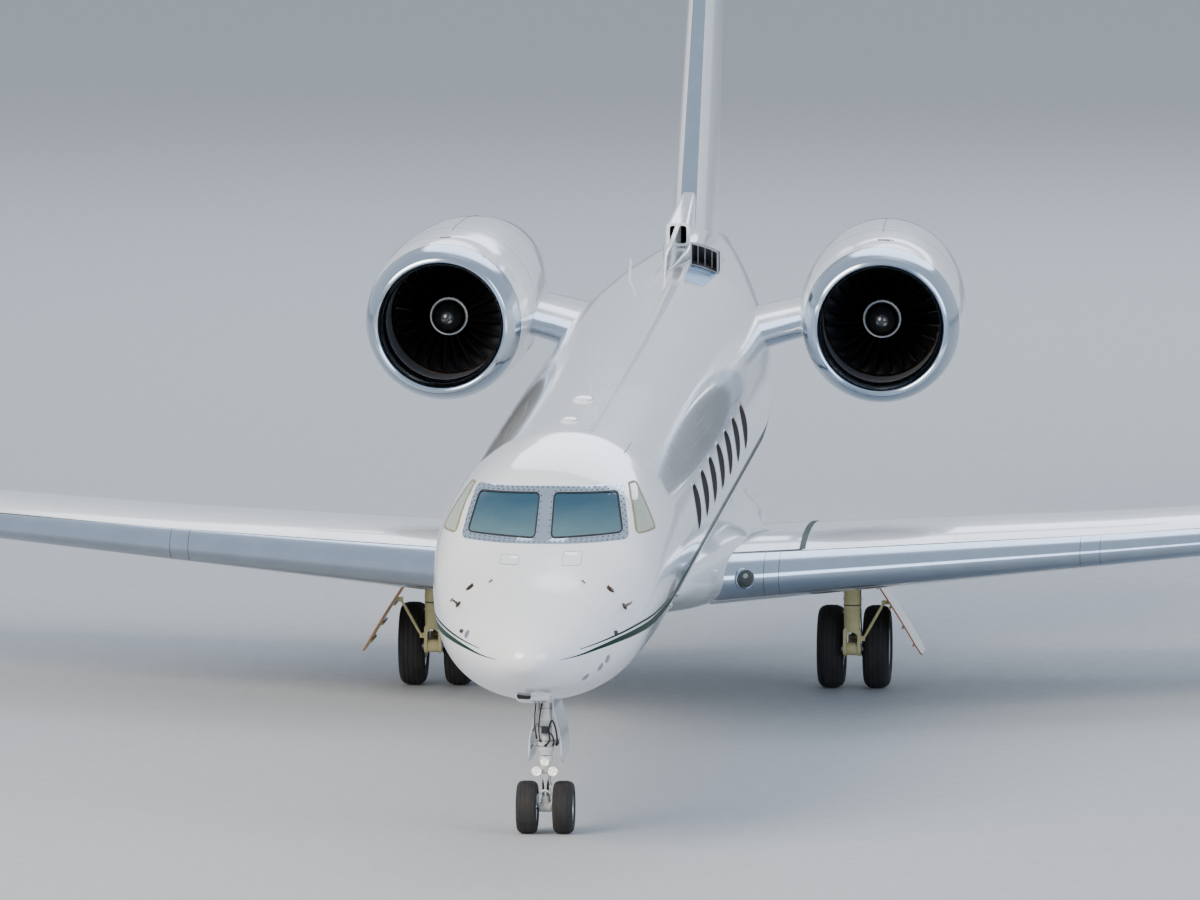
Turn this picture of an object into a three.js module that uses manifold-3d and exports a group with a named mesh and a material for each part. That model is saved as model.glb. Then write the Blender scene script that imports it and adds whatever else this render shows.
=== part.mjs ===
// A twin-engined long-range business jet standing on its landing gear, in millimetres.
// The part frame has +X to the jet's left wing tip, +Y aft and +Z up, with the origin on the ground under the middle
// of the jet. Airframe pieces are drawn in airframe coordinates (x, station aft of the nose tip, height above the
// cabin's axis) and are seated afterwards, because the jet stands slightly nose-down on its gear.
import * as THREE from "three";
import { mergeVertices } from "three/addons/utils/BufferGeometryUtils.js";
import Module from "manifold-3d";

const wasm = await Module();
wasm.setup();
const { Manifold } = wasm;

// Driving dimensions of the whole jet
const LENGTH = 29390;
const RADIUS = 1194;
const TRACK = 4370;
const NOSE_GEAR_STATION = 2450;
const MAIN_GEAR_STATION = 16200;
const AXIS_HEIGHT_AT_COCKPIT = 2545;
const COCKPIT_STATION = 4400;
const GROUND_PITCH = Math.tan(THREE.MathUtils.degToRad(1.3));
const SKIN = 80;
const FIT = 0.4;
const RUNNING_FIT = 0.3;
const PANEL_GAP = 6;
const SIDES = { left: 1, right: -1 };

// Stations of the fuselage's production joints
const RADOME_JOINT = 950;
const CABIN_FRONT = 5650;
const CABIN_BACK = 17400;
const TAIL_END = 26700;

// Materials
const paint = (name, color, roughness = 0.25, metalness = 0) => {
  const made = new THREE.MeshStandardMaterial({ color, roughness, metalness });
  made.name = name;
  return made;
};
const white = paint("white_paint", 0xe9ebee);
const bareMetal = paint("polished_metal", 0xc8ccd2, 0.18, 1);
const gearPaint = paint("gear_enamel", 0xd9d9d2, 0.4);
const steel = paint("steel", 0x8d9094, 0.35, 1);
const rubber = paint("tyre_rubber", 0x18181a, 0.85);
const glass = paint("window_glass", 0x27363d, 0.08);
const fanMetal = paint("fan_titanium", 0x3c3d40, 0.35, 1);
const engineMetal = paint("engine_casing", 0x55575a, 0.5, 1);
const trim = paint("cockpit_trim", 0x3a3d42, 0.8);

// Height of the cabin's axis above the ground at a station
const axisHeight = (station) =>
  AXIS_HEIGHT_AT_COCKPIT + GROUND_PITCH * (station - COCKPIT_STATION);

// Carries airframe coordinates to the part frame: aft by half a length, and up along the sloping axis.
const SEAT = new THREE.Matrix4().set(
  1, 0, 0, 0,
  0, 1, 0, -LENGTH / 2,
  0, GROUND_PITCH, 1, axisHeight(0),
  0, 0, 0, 1,
);

// A closed geometry as a solid, turned the right way round where its rings ran the other way
function solid(geometry) {
  const bare = geometry.index ? geometry.toNonIndexed() : geometry.clone();
  bare.deleteAttribute("normal");
  bare.deleteAttribute("uv");
  const merged = mergeVertices(bare, 1e-3);
  const corners = [];
  for (let i = 0; i < merged.index.count; i += 3) {
    const [a, b, c] = [0, 1, 2].map((k) => merged.index.getX(i + k));
    if (a !== b && b !== c && c !== a) corners.push(a, b, c);
  }
  const triVerts = new Uint32Array(corners);
  const vertProperties = merged.attributes.position.array;
  const build = () => new Manifold(new wasm.Mesh({ numProp: 3, vertProperties, triVerts }));
  const made = build();
  if (made.volume() > 0) return made;
  for (let i = 0; i < triVerts.length; i += 3)
    [triVerts[i + 1], triVerts[i + 2]] = [triVerts[i + 2], triVerts[i + 1]];
  return build();
}

// A solid through rings of points, each ring closed and all with the same number of points
function loft(rings) {
  const count = rings[0].length;
  const points = rings.flat();
  const index = [];
  for (let r = 0; r + 1 < rings.length; r++)
    for (let i = 0; i < count; i++) {
      const a = r * count + i;
      const b = r * count + ((i + 1) % count);
      index.push(a, b, b + count, a, b + count, a + count);
    }
  for (const [ring, flip] of [[0, true], [rings.length - 1, false]]) {
    const middle = new THREE.Vector3();
    rings[ring].forEach((p) => middle.add(p));
    points.push(middle.divideScalar(count));
    for (let i = 0; i < count; i++) {
      const a = ring * count + i;
      const b = ring * count + ((i + 1) % count);
      index.push(...(flip ? [points.length - 1, b, a] : [points.length - 1, a, b]));
    }
  }
  const geometry = new THREE.BufferGeometry().setFromPoints(points);
  geometry.setIndex(index);
  return solid(geometry);
}

// A box between two corners
function block([x0, y0, z0], [x1, y1, z1]) {
  const box = new THREE.BoxGeometry(Math.abs(x1 - x0), Math.abs(y1 - y0), Math.abs(z1 - z0));
  return solid(box.translate((x0 + x1) / 2, (y0 + y1) / 2, (z0 + z1) / 2));
}

// A round bar or cone frustum from one point to another
function bar(from, to, radius, endRadius = radius, sides = 10) {
  const a = new THREE.Vector3(...from);
  const b = new THREE.Vector3(...to);
  const rod = new THREE.CylinderGeometry(endRadius, radius, a.distanceTo(b), sides);
  rod.translate(0, a.distanceTo(b) / 2, 0);
  const turn = new THREE.Quaternion().setFromUnitVectors(
    new THREE.Vector3(0, 1, 0),
    b.clone().sub(a).normalize(),
  );
  rod.applyQuaternion(turn);
  return solid(rod.translate(a.x, a.y, a.z));
}

// The round hole that a bar of a radius fits into flat to flat
function bore(from, to, radius, sides) {
  const corner = radius / Math.cos(Math.PI / sides);
  return bar(from, to, corner, corner, sides);
}

// A ring or disc turned about the line along Y through (x, z), from a profile of [station, radius]
function turnedAlongY(profile, x, z, segments) {
  const outline = profile.map(([station, radius]) => new THREE.Vector2(radius, station));
  if (profile[0][1] > 0 || profile.at(-1)[1] > 0) outline.push(outline[0].clone());
  return solid(new THREE.LatheGeometry(outline, segments).translate(x, 0, z));
}

// The same, about a line along X through (y, z), from a profile of [x, radius], with a flat facet downwards
function turnedAlongX(profile, y, z, segments) {
  const outline = profile.map(([x, radius]) => new THREE.Vector2(radius, x));
  if (profile[0][1] > 0 || profile.at(-1)[1] > 0) outline.push(outline[0].clone());
  const lathe = new THREE.LatheGeometry(outline, segments).rotateY(Math.PI / segments);
  return solid(lathe.rotateZ(-Math.PI / 2).translate(0, y, z));
}

// A flat outline in the plane of two axes, extruded along the third between two values. Each plane names the
// directions of the outline's own two axes and of the extrusion.
const PLANES = {
  xz: [[1, 0, 0], [0, 0, 1], [0, 1, 0]],
  yz: [[0, 1, 0], [0, 0, 1], [1, 0, 0]],
  xy: [[1, 0, 0], [0, 1, 0], [0, 0, 1]],
};
function prism(outline, plane, from, to) {
  const shape = new THREE.Shape(outline.map(([u, v]) => new THREE.Vector2(u, v)));
  const slab = new THREE.ExtrudeGeometry(shape, { depth: Math.abs(to - from), bevelEnabled: false });
  const axes = PLANES[plane].map((axis) => new THREE.Vector3(...axis));
  slab.translate(0, 0, Math.min(from, to));
  return solid(slab.applyMatrix4(new THREE.Matrix4().makeBasis(...axes)));
}

const joined = (...solids) => solids.reduce((all, next) => all.add(next));
const mirrored = (made, side) => (side < 0 ? made.mirror([1, 0, 0]) : made);

const jet = new THREE.Group();
jet.name = "business_jet";

// Hinge lines of the left side's moving surfaces, in the part frame, for whoever fills in the record
const hinges = {};
jet.userData.hinges = hinges;
const noteHinge = (name, ends) => {
  hinges[name] = ends.map((p) => new THREE.Vector3(...p).applyMatrix4(SEAT).toArray());
};

// Puts a finished solid into the scene as a named mesh, seated on the sloping axis if it is part of the airframe
function add(name, made, material, seated = true, parent = jet) {
  const { vertProperties, triVerts, numProp } = made.getMesh();
  const positions = new Float32Array((vertProperties.length / numProp) * 3);
  for (let i = 0; i < positions.length; i++)
    positions[i] = vertProperties[Math.floor(i / 3) * numProp + (i % 3)];
  const geometry = new THREE.BufferGeometry();
  geometry.setAttribute("position", new THREE.BufferAttribute(positions, 3));
  geometry.setIndex(new THREE.BufferAttribute(new Uint32Array(triVerts), 1));
  if (seated) geometry.applyMatrix4(SEAT);
  geometry.computeVertexNormals();
  const mesh = new THREE.Mesh(geometry, material);
  mesh.name = name;
  parent.add(mesh);
  return mesh;
}

// Fuselage sections. Columns: station, half width, crown height, keel height, height of the widest point,
// and fullness of the upper half, where 2 is an ellipse and more is squarer.
const SECTIONS = [
  [0, 60, -460, -575, -515, 2],
  [120, 235, -335, -690, -520, 2],
  [400, 465, -190, -840, -510, 2],
  [950, 745, 20, -995, -470, 2.05],
  [1500, 920, 205, -1080, -400, 2.1],
  [2050, 1035, 410, -1130, -300, 2.25],
  [2450, 1090, 665, -1155, -200, 2.35],
  [2850, 1128, 930, -1172, -120, 2.3],
  [3300, 1160, 1065, -1186, -60, 2.15],
  [3900, 1184, 1150, -1194, -20, 2.05],
  [4600, 1194, 1194, -1194, 0, 2],
  [17400, 1194, 1194, -1194, 0, 2],
  [18800, 1165, 1194, -1085, 40, 2],
  [20400, 1040, 1185, -790, 160, 2],
  [22200, 825, 1140, -420, 330, 2],
  [24200, 545, 1050, 20, 520, 2],
  [25800, 305, 930, 400, 660, 2],
  [26700, 190, 850, 560, 705, 2],
];

// A column's smooth value at a station: a cubic through the rows, with each row's slope from its neighbours
function smooth(table, column, at) {
  const last = table.length - 1;
  let i = 0;
  while (i < last - 1 && at > table[i + 1][0]) i++;
  const slope = (k) => {
    if (k === 0 || k === last) return 0;
    const before = (table[k][column] - table[k - 1][column]) / (table[k][0] - table[k - 1][0]);
    const after = (table[k + 1][column] - table[k][column]) / (table[k + 1][0] - table[k][0]);
    return before * after <= 0 ? 0 : (2 * before * after) / (before + after);
  };
  const span = table[i + 1][0] - table[i][0];
  const t = Math.min(1, Math.max(0, (at - table[i][0]) / span));
  const [m0, m1] = [slopeAt(table, column, i, slope) * span, slopeAt(table, column, i + 1, slope) * span];
  return (
    (2 * t ** 3 - 3 * t ** 2 + 1) * table[i][column] +
    (t ** 3 - 2 * t ** 2 + t) * m0 +
    (3 * t ** 2 - 2 * t ** 3) * table[i + 1][column] +
    (t ** 3 - t ** 2) * m1
  );
}

// End rows take the slope of their only span
function slopeAt(table, column, k, inner) {
  const last = table.length - 1;
  if (k > 0 && k < last) return inner(k);
  const [a, b] = k === 0 ? [0, 1] : [last - 1, last];
  return (table[b][column] - table[a][column]) / (table[b][0] - table[a][0]);
}

const FUSELAGE_POINTS = 32;
// Stations added to the table's own where the nose curves most
const NOSE_EXTRA = [2250, 2650];
const PANE_THICKNESS = 35;

// The fuselage's outline at a station, grown outwards by a distance
function fuselageRing(station, grow = 0) {
  const [half, crown, keel, waist, fullness] = [1, 2, 3, 4, 5].map((c) => smooth(SECTIONS, c, station));
  const ring = [];
  for (let i = 0; i < FUSELAGE_POINTS; i++) {
    const angle = (2 * Math.PI * (i + 0.5)) / FUSELAGE_POINTS;
    const [c, s] = [Math.cos(angle), Math.sin(angle)];
    const power = s > 0 ? 2 / fullness : 1;
    const reach = s > 0 ? crown - waist : waist - keel;
    const x = Math.sign(c) * Math.abs(c) ** power * (half + grow);
    const z = waist + Math.sign(s) * Math.abs(s) ** power * (reach + grow);
    ring.push(new THREE.Vector3(x, station, z));
  }
  return ring;
}

// The fuselage between two stations, through the table's rows and any extra stations
function fuselageBetween(from, to, grow = 0, extra = []) {
  const inner = SECTIONS.map((row) => row[0]).concat(extra).filter((s) => s > from + 20 && s < to - 20);
  const stations = [from, ...inner.sort((a, b) => a - b), to];
  return loft(stations.map((s) => fuselageRing(s, grow)));
}

// Cockpit windows, each an outline of [x, height] for the two front panes and of [station, height] for the side panes
const WINDSHIELD = [[85, 425], [745, 490], [640, 880], [85, 895]];
const SIDE_WINDOW = [[2790, 455], [3310, 440], [3210, 810], [2990, 895]];
const WINDSHIELD_STATIONS = [1700, 3300];

const shrunk = (outline, by) => {
  const cx = outline.reduce((sum, p) => sum + p[0], 0) / outline.length;
  const cz = outline.reduce((sum, p) => sum + p[1], 0) / outline.length;
  return outline.map(([u, v]) => [u - Math.sign(u - cx) * by, v - Math.sign(v - cz) * by]);
};
const windshieldPrism = (side, by = 0) =>
  mirrored(prism(shrunk(WINDSHIELD, by), "xz", ...WINDSHIELD_STATIONS), side);
const sideWindowPrism = (side, by = 0) =>
  mirrored(prism(shrunk(SIDE_WINDOW, by), "yz", 790 + by, 1400), side);

// Entry door: stations of its edges, and its sill and lintel heights
const DOOR = { front: 4300, back: 5210, sill: -500, lintel: 1010 };
const DOOR_OPEN = THREE.MathUtils.degToRad(128);
const DOOR_HINGE = { x: 1088, z: -500 };
// The door's hinge barrels at the ends of its sill. Columns: radius of the barrel and of its pin, and its length.
const BARREL = { radius: 18, pin: 8, length: 60 };
const alongSill = (from, to, radius) =>
  [[DOOR.front, 1], [DOOR.back, -1]].map(([end, inward]) => {
    const [a, b] = [from, to].map((mm) => [DOOR_HINGE.x, end + inward * mm, DOOR_HINGE.z]);
    return bar(a, b, radius, radius, PIN.sides);
  });
const doorPrism = (by = 0) =>
  block([350, DOOR.front + by, DOOR.sill + by], [1400, DOOR.back - by, DOOR.lintel - by]);

// Cockpit and entry space above the floor, and the nose wheel well below it
const FLOOR = -500;
const FRONT_BULKHEAD = 1450;
const WELL = { half: 290, front: 1900, back: 3450, top: -640 };
const cockpitSpace = () =>
  fuselageBetween(FRONT_BULKHEAD, CABIN_FRONT - SKIN, -SKIN, NOSE_EXTRA).subtract(
    block([-1500, 0, -1500], [1500, 8000, FLOOR]),
  );
const wheelWell = () => block([-WELL.half, WELL.front, -1500], [WELL.half, WELL.back, WELL.top]);

// A flat-faced pad for a jack under a skin at x, station and height
const JACK_PAD = { radius: 32, drop: 12, root: 40 };
const jackPad = (x, station, height) =>
  bar(
    [x, station, height + JACK_PAD.root],
    [x, station, height - JACK_PAD.drop],
    JACK_PAD.radius,
    JACK_PAD.radius,
    12,
  );

function buildFuselage() {
  const shell = fuselageBetween(RADOME_JOINT, CABIN_FRONT, 0, NOSE_EXTRA);
  let nose = shell.subtract(cockpitSpace()).subtract(wheelWell()).subtract(doorPrism());
  nose = nose.subtract(joined(...alongSill(0, BARREL.length + 24, BARREL.radius + PANEL_GAP)));
  nose = joined(nose, ...alongSill(-BARREL.length, 0, BARREL.radius), ...alongSill(-20, 45, BARREL.pin));
  for (const side of Object.values(SIDES))
    nose = nose.subtract(windshieldPrism(side)).subtract(sideWindowPrism(side));
  add("forward_fuselage", nose.add(jackPad(0, 3800, smooth(SECTIONS, 3, 3800))), white);
  noteHinge("nose_pad", [[0, 3800, smooth(SECTIONS, 3, 3800) - JACK_PAD.drop]]);
  add("radome", fuselageBetween(0, RADOME_JOINT - FIT), white);
  const pane = fuselageBetween(RADOME_JOINT, CABIN_FRONT, 0, NOSE_EXTRA).subtract(
    fuselageBetween(FRONT_BULKHEAD, CABIN_FRONT, -PANE_THICKNESS, NOSE_EXTRA),
  );
  for (const [name, side] of Object.entries(SIDES)) {
    add(`windshield_${name}`, pane.intersect(windshieldPrism(side, FIT)), glass);
    add(`side_window_${name}`, pane.intersect(sideWindowPrism(side, FIT)), glass);
  }
  add("cabin_fuselage", buildCabin(), white);
  add("aft_fuselage", buildAftFuselage(), white);
}

// Cabin windows: shallow oval pockets in the barrel's sides
const WINDOWS = { first: 6950, pitch: 1170, count: 7, height: 175, halfLength: 330, halfHeight: 241, depth: 55 };

const OVAL_POINTS = 12;

function windowOval(station) {
  return Array.from({ length: OVAL_POINTS }, (_, i) => {
    const angle = (2 * Math.PI * i) / OVAL_POINTS;
    return [station + WINDOWS.halfLength * Math.cos(angle), WINDOWS.height + WINDOWS.halfHeight * Math.sin(angle)];
  });
}

function buildCabin() {
  let barrel = fuselageBetween(CABIN_FRONT + FIT, CABIN_BACK);
  const floor = RADIUS - WINDOWS.depth - 20;
  for (let i = 0; i < WINDOWS.count; i++) {
    const outline = windowOval(WINDOWS.first + i * WINDOWS.pitch);
    for (const side of Object.values(SIDES))
      barrel = barrel.subtract(mirrored(prism(outline, "yz", floor, RADIUS + 100), side));
  }
  return barrel;
}

// The tail, with the auxiliary power unit's exhaust as a pocket in its end
const EXHAUST = { height: 705, depth: 260, inner: 105, outer: 115 };

function buildAftFuselage() {
  const tail = fuselageBetween(CABIN_BACK + FIT, TAIL_END);
  const [inside, outside] = [TAIL_END - EXHAUST.depth, TAIL_END + 50].map((station) => [0, station, EXHAUST.height]);
  return tail.subtract(bar(inside, outside, EXHAUST.inner, EXHAUST.outer, 16));
}

// Aerofoil outline as [share of chord, share of chord upwards], from the upper trailing edge round the nose
const FOIL_STEPS = 8;
const CAMBER = 0.012;
const BLUNT_EDGE = 0.0022;
const foilHalf = (thickness, u) =>
  5 * thickness * (0.2969 * Math.sqrt(u) - 0.126 * u - 0.3516 * u ** 2 + 0.2843 * u ** 3 - 0.1036 * u ** 4) +
  BLUNT_EDGE * u;
function foil(thickness, camber = CAMBER) {
  const at = (u, sign) => [u, camber * 4 * u * (1 - u) + sign * foilHalf(thickness, u)];
  const share = (i) => 0.5 * (1 - Math.cos((Math.PI * i) / FOIL_STEPS));
  const upper = Array.from({ length: FOIL_STEPS + 1 }, (_, i) => at(share(FOIL_STEPS - i), 1));
  const lower = Array.from({ length: FOIL_STEPS }, (_, i) => at(share(i + 1), -1));
  return [...upper, ...lower];
}

// Rings of a wing-like surface. Row columns: x, leading edge station, height, chord, thickness ratio, twist and cant
// in degrees. The foil's thickness lies along the cant, so a winglet's rings lean over.
function foilRing([x, leading, height, chord, thickness, twist, cant], grow = 0) {
  const [tilt, lean] = [twist, cant].map(THREE.MathUtils.degToRad);
  return foil(thickness + grow / chord).map(([u, v]) => {
    const along = (u - 0.25) * (chord + 2 * grow);
    const up = v * (chord + 2 * grow);
    const aft = along * Math.cos(tilt) + up * Math.sin(tilt);
    const rise = up * Math.cos(tilt) - along * Math.sin(tilt);
    return new THREE.Vector3(
      x - rise * Math.sin(lean),
      leading + 0.25 * chord + aft,
      height + rise * Math.cos(lean),
    );
  });
}

// Wing planform. Columns: x, leading edge station, quarter-chord height, chord, thickness ratio, twist, cant.
const WING = [
  [900, 12180, -1310, 6020, 0.122, 3.2, 0],
  [5000, 14600, -1215, 4250, 0.112, 2, 0],
  [13250, 19470, -980, 1760, 0.1, 0.2, 0],
  [13560, 19720, -945, 1640, 0.095, 0, 18],
  [13800, 19990, -850, 1490, 0.09, 0, 48],
  [13950, 20260, -660, 1330, 0.085, 0, 70],
  [14235, 21090, 300, 640, 0.08, 0, 76],
];
// Where a share of the chord lies on a wing-like table at x: its station, the height of its middle, and half its
// thickness. It is read between the two rows round x, as the surface itself is.
function surfaceAt(table, x, share) {
  const k = Math.max(0, table.findIndex((row) => row[0] > x) - 1);
  const [inner, outer] = [table[k], table[k + 1]].map(([, leading, height, chord, thickness, twist]) => {
    const tilt = THREE.MathUtils.degToRad(twist);
    const along = (share - 0.25) * chord;
    const middle = CAMBER * 4 * share * (1 - share) * chord;
    return {
      station: leading + 0.25 * chord + along * Math.cos(tilt) + middle * Math.sin(tilt),
      height: height + middle * Math.cos(tilt) - along * Math.sin(tilt),
      half: foilHalf(thickness, share) * chord,
    };
  });
  const t = (x - table[k][0]) / (table[k + 1][0] - table[k][0]);
  const mix = (key) => inner[key] + t * (outer[key] - inner[key]);
  return { station: mix("station"), height: mix("height"), half: mix("half") };
}

// Moving surfaces of the wing. Each has its inner and outer x, the share of chord where it turns, the running gap round
// its nose, the gaps at its inner and outer ends, and the radius of its hinge pins.
const FLAP = { inner: 1560, outer: 8600, share: 0.76, gap: 22, ends: [45, 25], pin: 14 };
const AILERON = { inner: 8900, outer: 12700, share: 0.76, gap: 12, ends: [16, 16], pin: 12 };
const SPOILER = { inner: 5060, outer: 8480, share: 0.62, back: 0.705, depth: 36, gap: 6, ends: [13, 13], pin: 8 };
const WING_PAD = { x: 3600, station: 15500 };
// How far a pin reaches into its root and into the moving piece, and the room at the end of its bore
const PIN = { sides: 12, root: 40, reach: 50, clear: 4 };

// A block of the wing aft of a line of constant chord share, between two x, that reaches past the trailing edge
function behindLine(inner, outer, share) {
  const corners = [inner, outer].map((x) => surfaceAt(WING, x, share).station);
  const outline = [[inner, corners[0]], [outer, corners[1]], [outer, 23500], [inner, 23500]];
  return prism(outline, "xy", -2600, 600);
}

// The pieces of a hinge between two points: the round nose of the moving surface and the hollow that it turns in, both
// carried a little past the ends, and the pins of the fixed piece with their bores
function hingeParts(from, to, [fromRadius, toRadius], { gap, ends, pin }) {
  const a = new THREE.Vector3(...from);
  const b = new THREE.Vector3(...to);
  const length = a.distanceTo(b);
  const at = (mm) => a.clone().lerp(b, mm / length).toArray();
  const past = 0.04 * length;
  const more = ((toRadius - fromRadius) * past) / length;
  const cone = (grow) =>
    bar(at(-past), at(length + past), fromRadius - more + grow, toRadius + more + grow, 16);
  const reach = [ends[0] + PIN.reach, length - ends[1] - PIN.reach];
  const pins = [
    bar(at(-PIN.root), at(reach[0]), pin, pin, PIN.sides),
    bar(at(length + PIN.root), at(reach[1]), pin, pin, PIN.sides),
  ];
  const bores = [
    bore(at(-PIN.root), at(reach[0] + PIN.clear), pin + FIT, PIN.sides),
    bore(at(length + PIN.root), at(reach[1] - PIN.clear), pin + FIT, PIN.sides),
  ];
  return { nose: cone(0), cove: cone(gap), pins: joined(...pins), bores: joined(...bores) };
}

// Cuts a flap or an aileron out of the whole wing, and its hollow out of the fixed one
function cutSurface(name, whole, fixed, surface) {
  const places = [surface.inner, surface.outer].map((x) => ({ x, ...surfaceAt(WING, x, surface.share) }));
  const line = places.map((p) => [p.x, p.station, p.height]);
  const hinge = hingeParts(...line, places.map((p) => p.half - 2), surface);
  const slab = (inner, outer) => block([surface.inner + inner, 14000, -2600], [surface.outer - outer, 23500, 600]);
  const tail = behindLine(surface.inner, surface.outer, surface.share);
  noteHinge(name, line);
  return {
    moving: whole.intersect(tail.add(hinge.nose)).intersect(slab(...surface.ends)).subtract(hinge.bores),
    fixed: fixed.subtract(tail.add(hinge.cove).intersect(slab(0, 0))).add(hinge.pins),
  };
}

// Cuts the spoiler, a thin panel in the upper skin ahead of the flap that turns about its round front edge
function cutSpoiler(whole, fixed) {
  const radius = SPOILER.depth / 2;
  const skin = (x, share) => {
    const p = surfaceAt(WING, x, share);
    return { station: p.station, top: p.height + p.half };
  };
  const line = [SPOILER.inner, SPOILER.outer].map((x) => {
    const front = skin(x, SPOILER.share);
    return [x, front.station, front.top - radius];
  });
  const hinge = hingeParts(...line, [radius, radius], SPOILER);
  const panel = (inset, clear) => {
    const ring = (x) => {
      const [front, back] = [skin(x, SPOILER.share), skin(x, SPOILER.back)];
      return [
        new THREE.Vector3(x, front.station, front.top - SPOILER.depth - clear),
        new THREE.Vector3(x, back.station + clear, back.top - SPOILER.depth - clear),
        new THREE.Vector3(x, back.station + clear, back.top + 400),
        new THREE.Vector3(x, front.station, front.top + 400),
      ];
    };
    return loft([ring(SPOILER.inner + inset), ring(SPOILER.outer - inset)]);
  };
  const slab = (by) => block([SPOILER.inner + by, 14000, -2600], [SPOILER.outer - by, 23500, 600]);
  noteHinge("spoiler", line);
  return {
    moving: whole.intersect(panel(0, 0).add(hinge.nose)).intersect(slab(SPOILER.ends[0])).subtract(hinge.bores),
    fixed: fixed.subtract(panel(0, PANEL_GAP).add(hinge.cove).intersect(slab(0))).add(hinge.pins),
  };
}

function buildWing(name, side) {
  const whole = loft(WING.map((row) => foilRing(row)));
  const flap = cutSurface("flap", whole, whole, FLAP);
  const aileron = cutSurface("aileron", whole, flap.fixed, AILERON);
  const spoiler = cutSpoiler(whole, aileron.fixed);
  const front = surfaceAt(WING, WING_PAD.x, 0).station;
  const back = surfaceAt(WING, WING_PAD.x, 1).station;
  const under = surfaceAt(WING, WING_PAD.x, (WING_PAD.station - front) / (back - front));
  const pad = jackPad(WING_PAD.x, WING_PAD.station, under.height - under.half);
  noteHinge("wing_pad", [[WING_PAD.x, WING_PAD.station, under.height - under.half - JACK_PAD.drop]]);
  add(`wing_${name}`, mirrored(spoiler.fixed.add(pad), side), white);
  add(`flap_${name}`, mirrored(flap.moving, side), white);
  add(`aileron_${name}`, mirrored(aileron.moving, side), white);
  add(`spoiler_${name}`, mirrored(spoiler.moving, side), white);
}

// Belly fairing under the cabin. Columns: station, half width, top, bottom.
const FAIRING = [
  [10150, 380, -1000, -1200],
  [10900, 860, -820, -1330],
  [11900, 1210, -680, -1520],
  [13200, 1350, -640, -1640],
  [15200, 1340, -700, -1660],
  [16800, 1240, -800, -1660],
  [18300, 1010, -860, -1610],
  [19500, 700, -800, -1260],
  [20300, 380, -700, -900],
];
const FAIRING_POINTS = 24;

function buildFairing() {
  const rings = FAIRING.map(([station, half, top, bottom]) =>
    Array.from({ length: FAIRING_POINTS }, (_, i) => {
      const angle = (2 * Math.PI * (i + 0.5)) / FAIRING_POINTS;
      const [c, s] = [Math.cos(angle), Math.sin(angle)];
      const power = 2 / 2.8;
      return new THREE.Vector3(
        Math.sign(c) * Math.abs(c) ** power * half,
        station,
        (top + bottom) / 2 + (Math.sign(s) * Math.abs(s) ** power * (top - bottom)) / 2,
      );
    }),
  );
  let fairing = loft(rings).subtract(fuselageBetween(9000, 21500, FIT));
  const grownWing = loft(WING.slice(0, 3).map((row) => foilRing(row, FIT)));
  const root = block([900 - FIT, 9000, -3000], [3000, 21000, 0]);
  for (const side of Object.values(SIDES)) {
    fairing = fairing.subtract(mirrored(grownWing, side));
    fairing = fairing.subtract(mirrored(rootPlug().intersect(root), side));
  }
  add("belly_fairing", fairing, white);
}
// The wing's root ring carried a little inboard, so that the fairing's pocket clears the root face
const rootPlug = () => {
  const row = [...WING[0]];
  row[0] -= FIT;
  return loft([foilRing(row, FIT), foilRing(WING[0], FIT)]);
};

// Engines. Each axis passes through x and height at a distance aft of the inlet lip, toed out and tipped nose-down from
// the airframe's axis by a few degrees.
const ENGINE = { x: 2270, z: 735, lip: 18350, pivot: 1500, toe: 2, tip: 1 };
const LIP_DEPTH = 330;
const DUCT = 622;
// Columns: distance aft of the lip, radius
const COWL_OUTER = [
  [0, 690],
  [60, 745],
  [160, 785],
  [330, 823],
  [800, 868],
  [1500, 880],
  [2400, 850],
  [3300, 770],
  [4150, 655],
  [4650, 585],
];
const COWL_INNER = [[0, 690], [50, 650], [140, 622], [330, 612], [700, DUCT], [1350, DUCT]];
const NOZZLE = { radius: 560, front: 3700, core: 470 };
const SEGMENTS = 24;

// Carries engine coordinates, with the axis along Y from the lip, to the part frame
const ENGINE_SEAT = new THREE.Matrix4()
  .setPosition(new THREE.Vector3(ENGINE.x, ENGINE.lip + ENGINE.pivot, ENGINE.z).applyMatrix4(SEAT))
  .multiply(new THREE.Matrix4().makeRotationZ(THREE.MathUtils.degToRad(ENGINE.toe)))
  .multiply(new THREE.Matrix4().makeRotationX(Math.atan(GROUND_PITCH) + THREE.MathUtils.degToRad(ENGINE.tip)))
  .multiply(new THREE.Matrix4().makeTranslation(0, -ENGINE.pivot, 0));

const nacelleOuter = (grow) =>
  turnedAlongY([[0, 0], ...COWL_OUTER.map(([d, r]) => [d, r + grow]), [4650, 0]], 0, 0, SEGMENTS);

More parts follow.
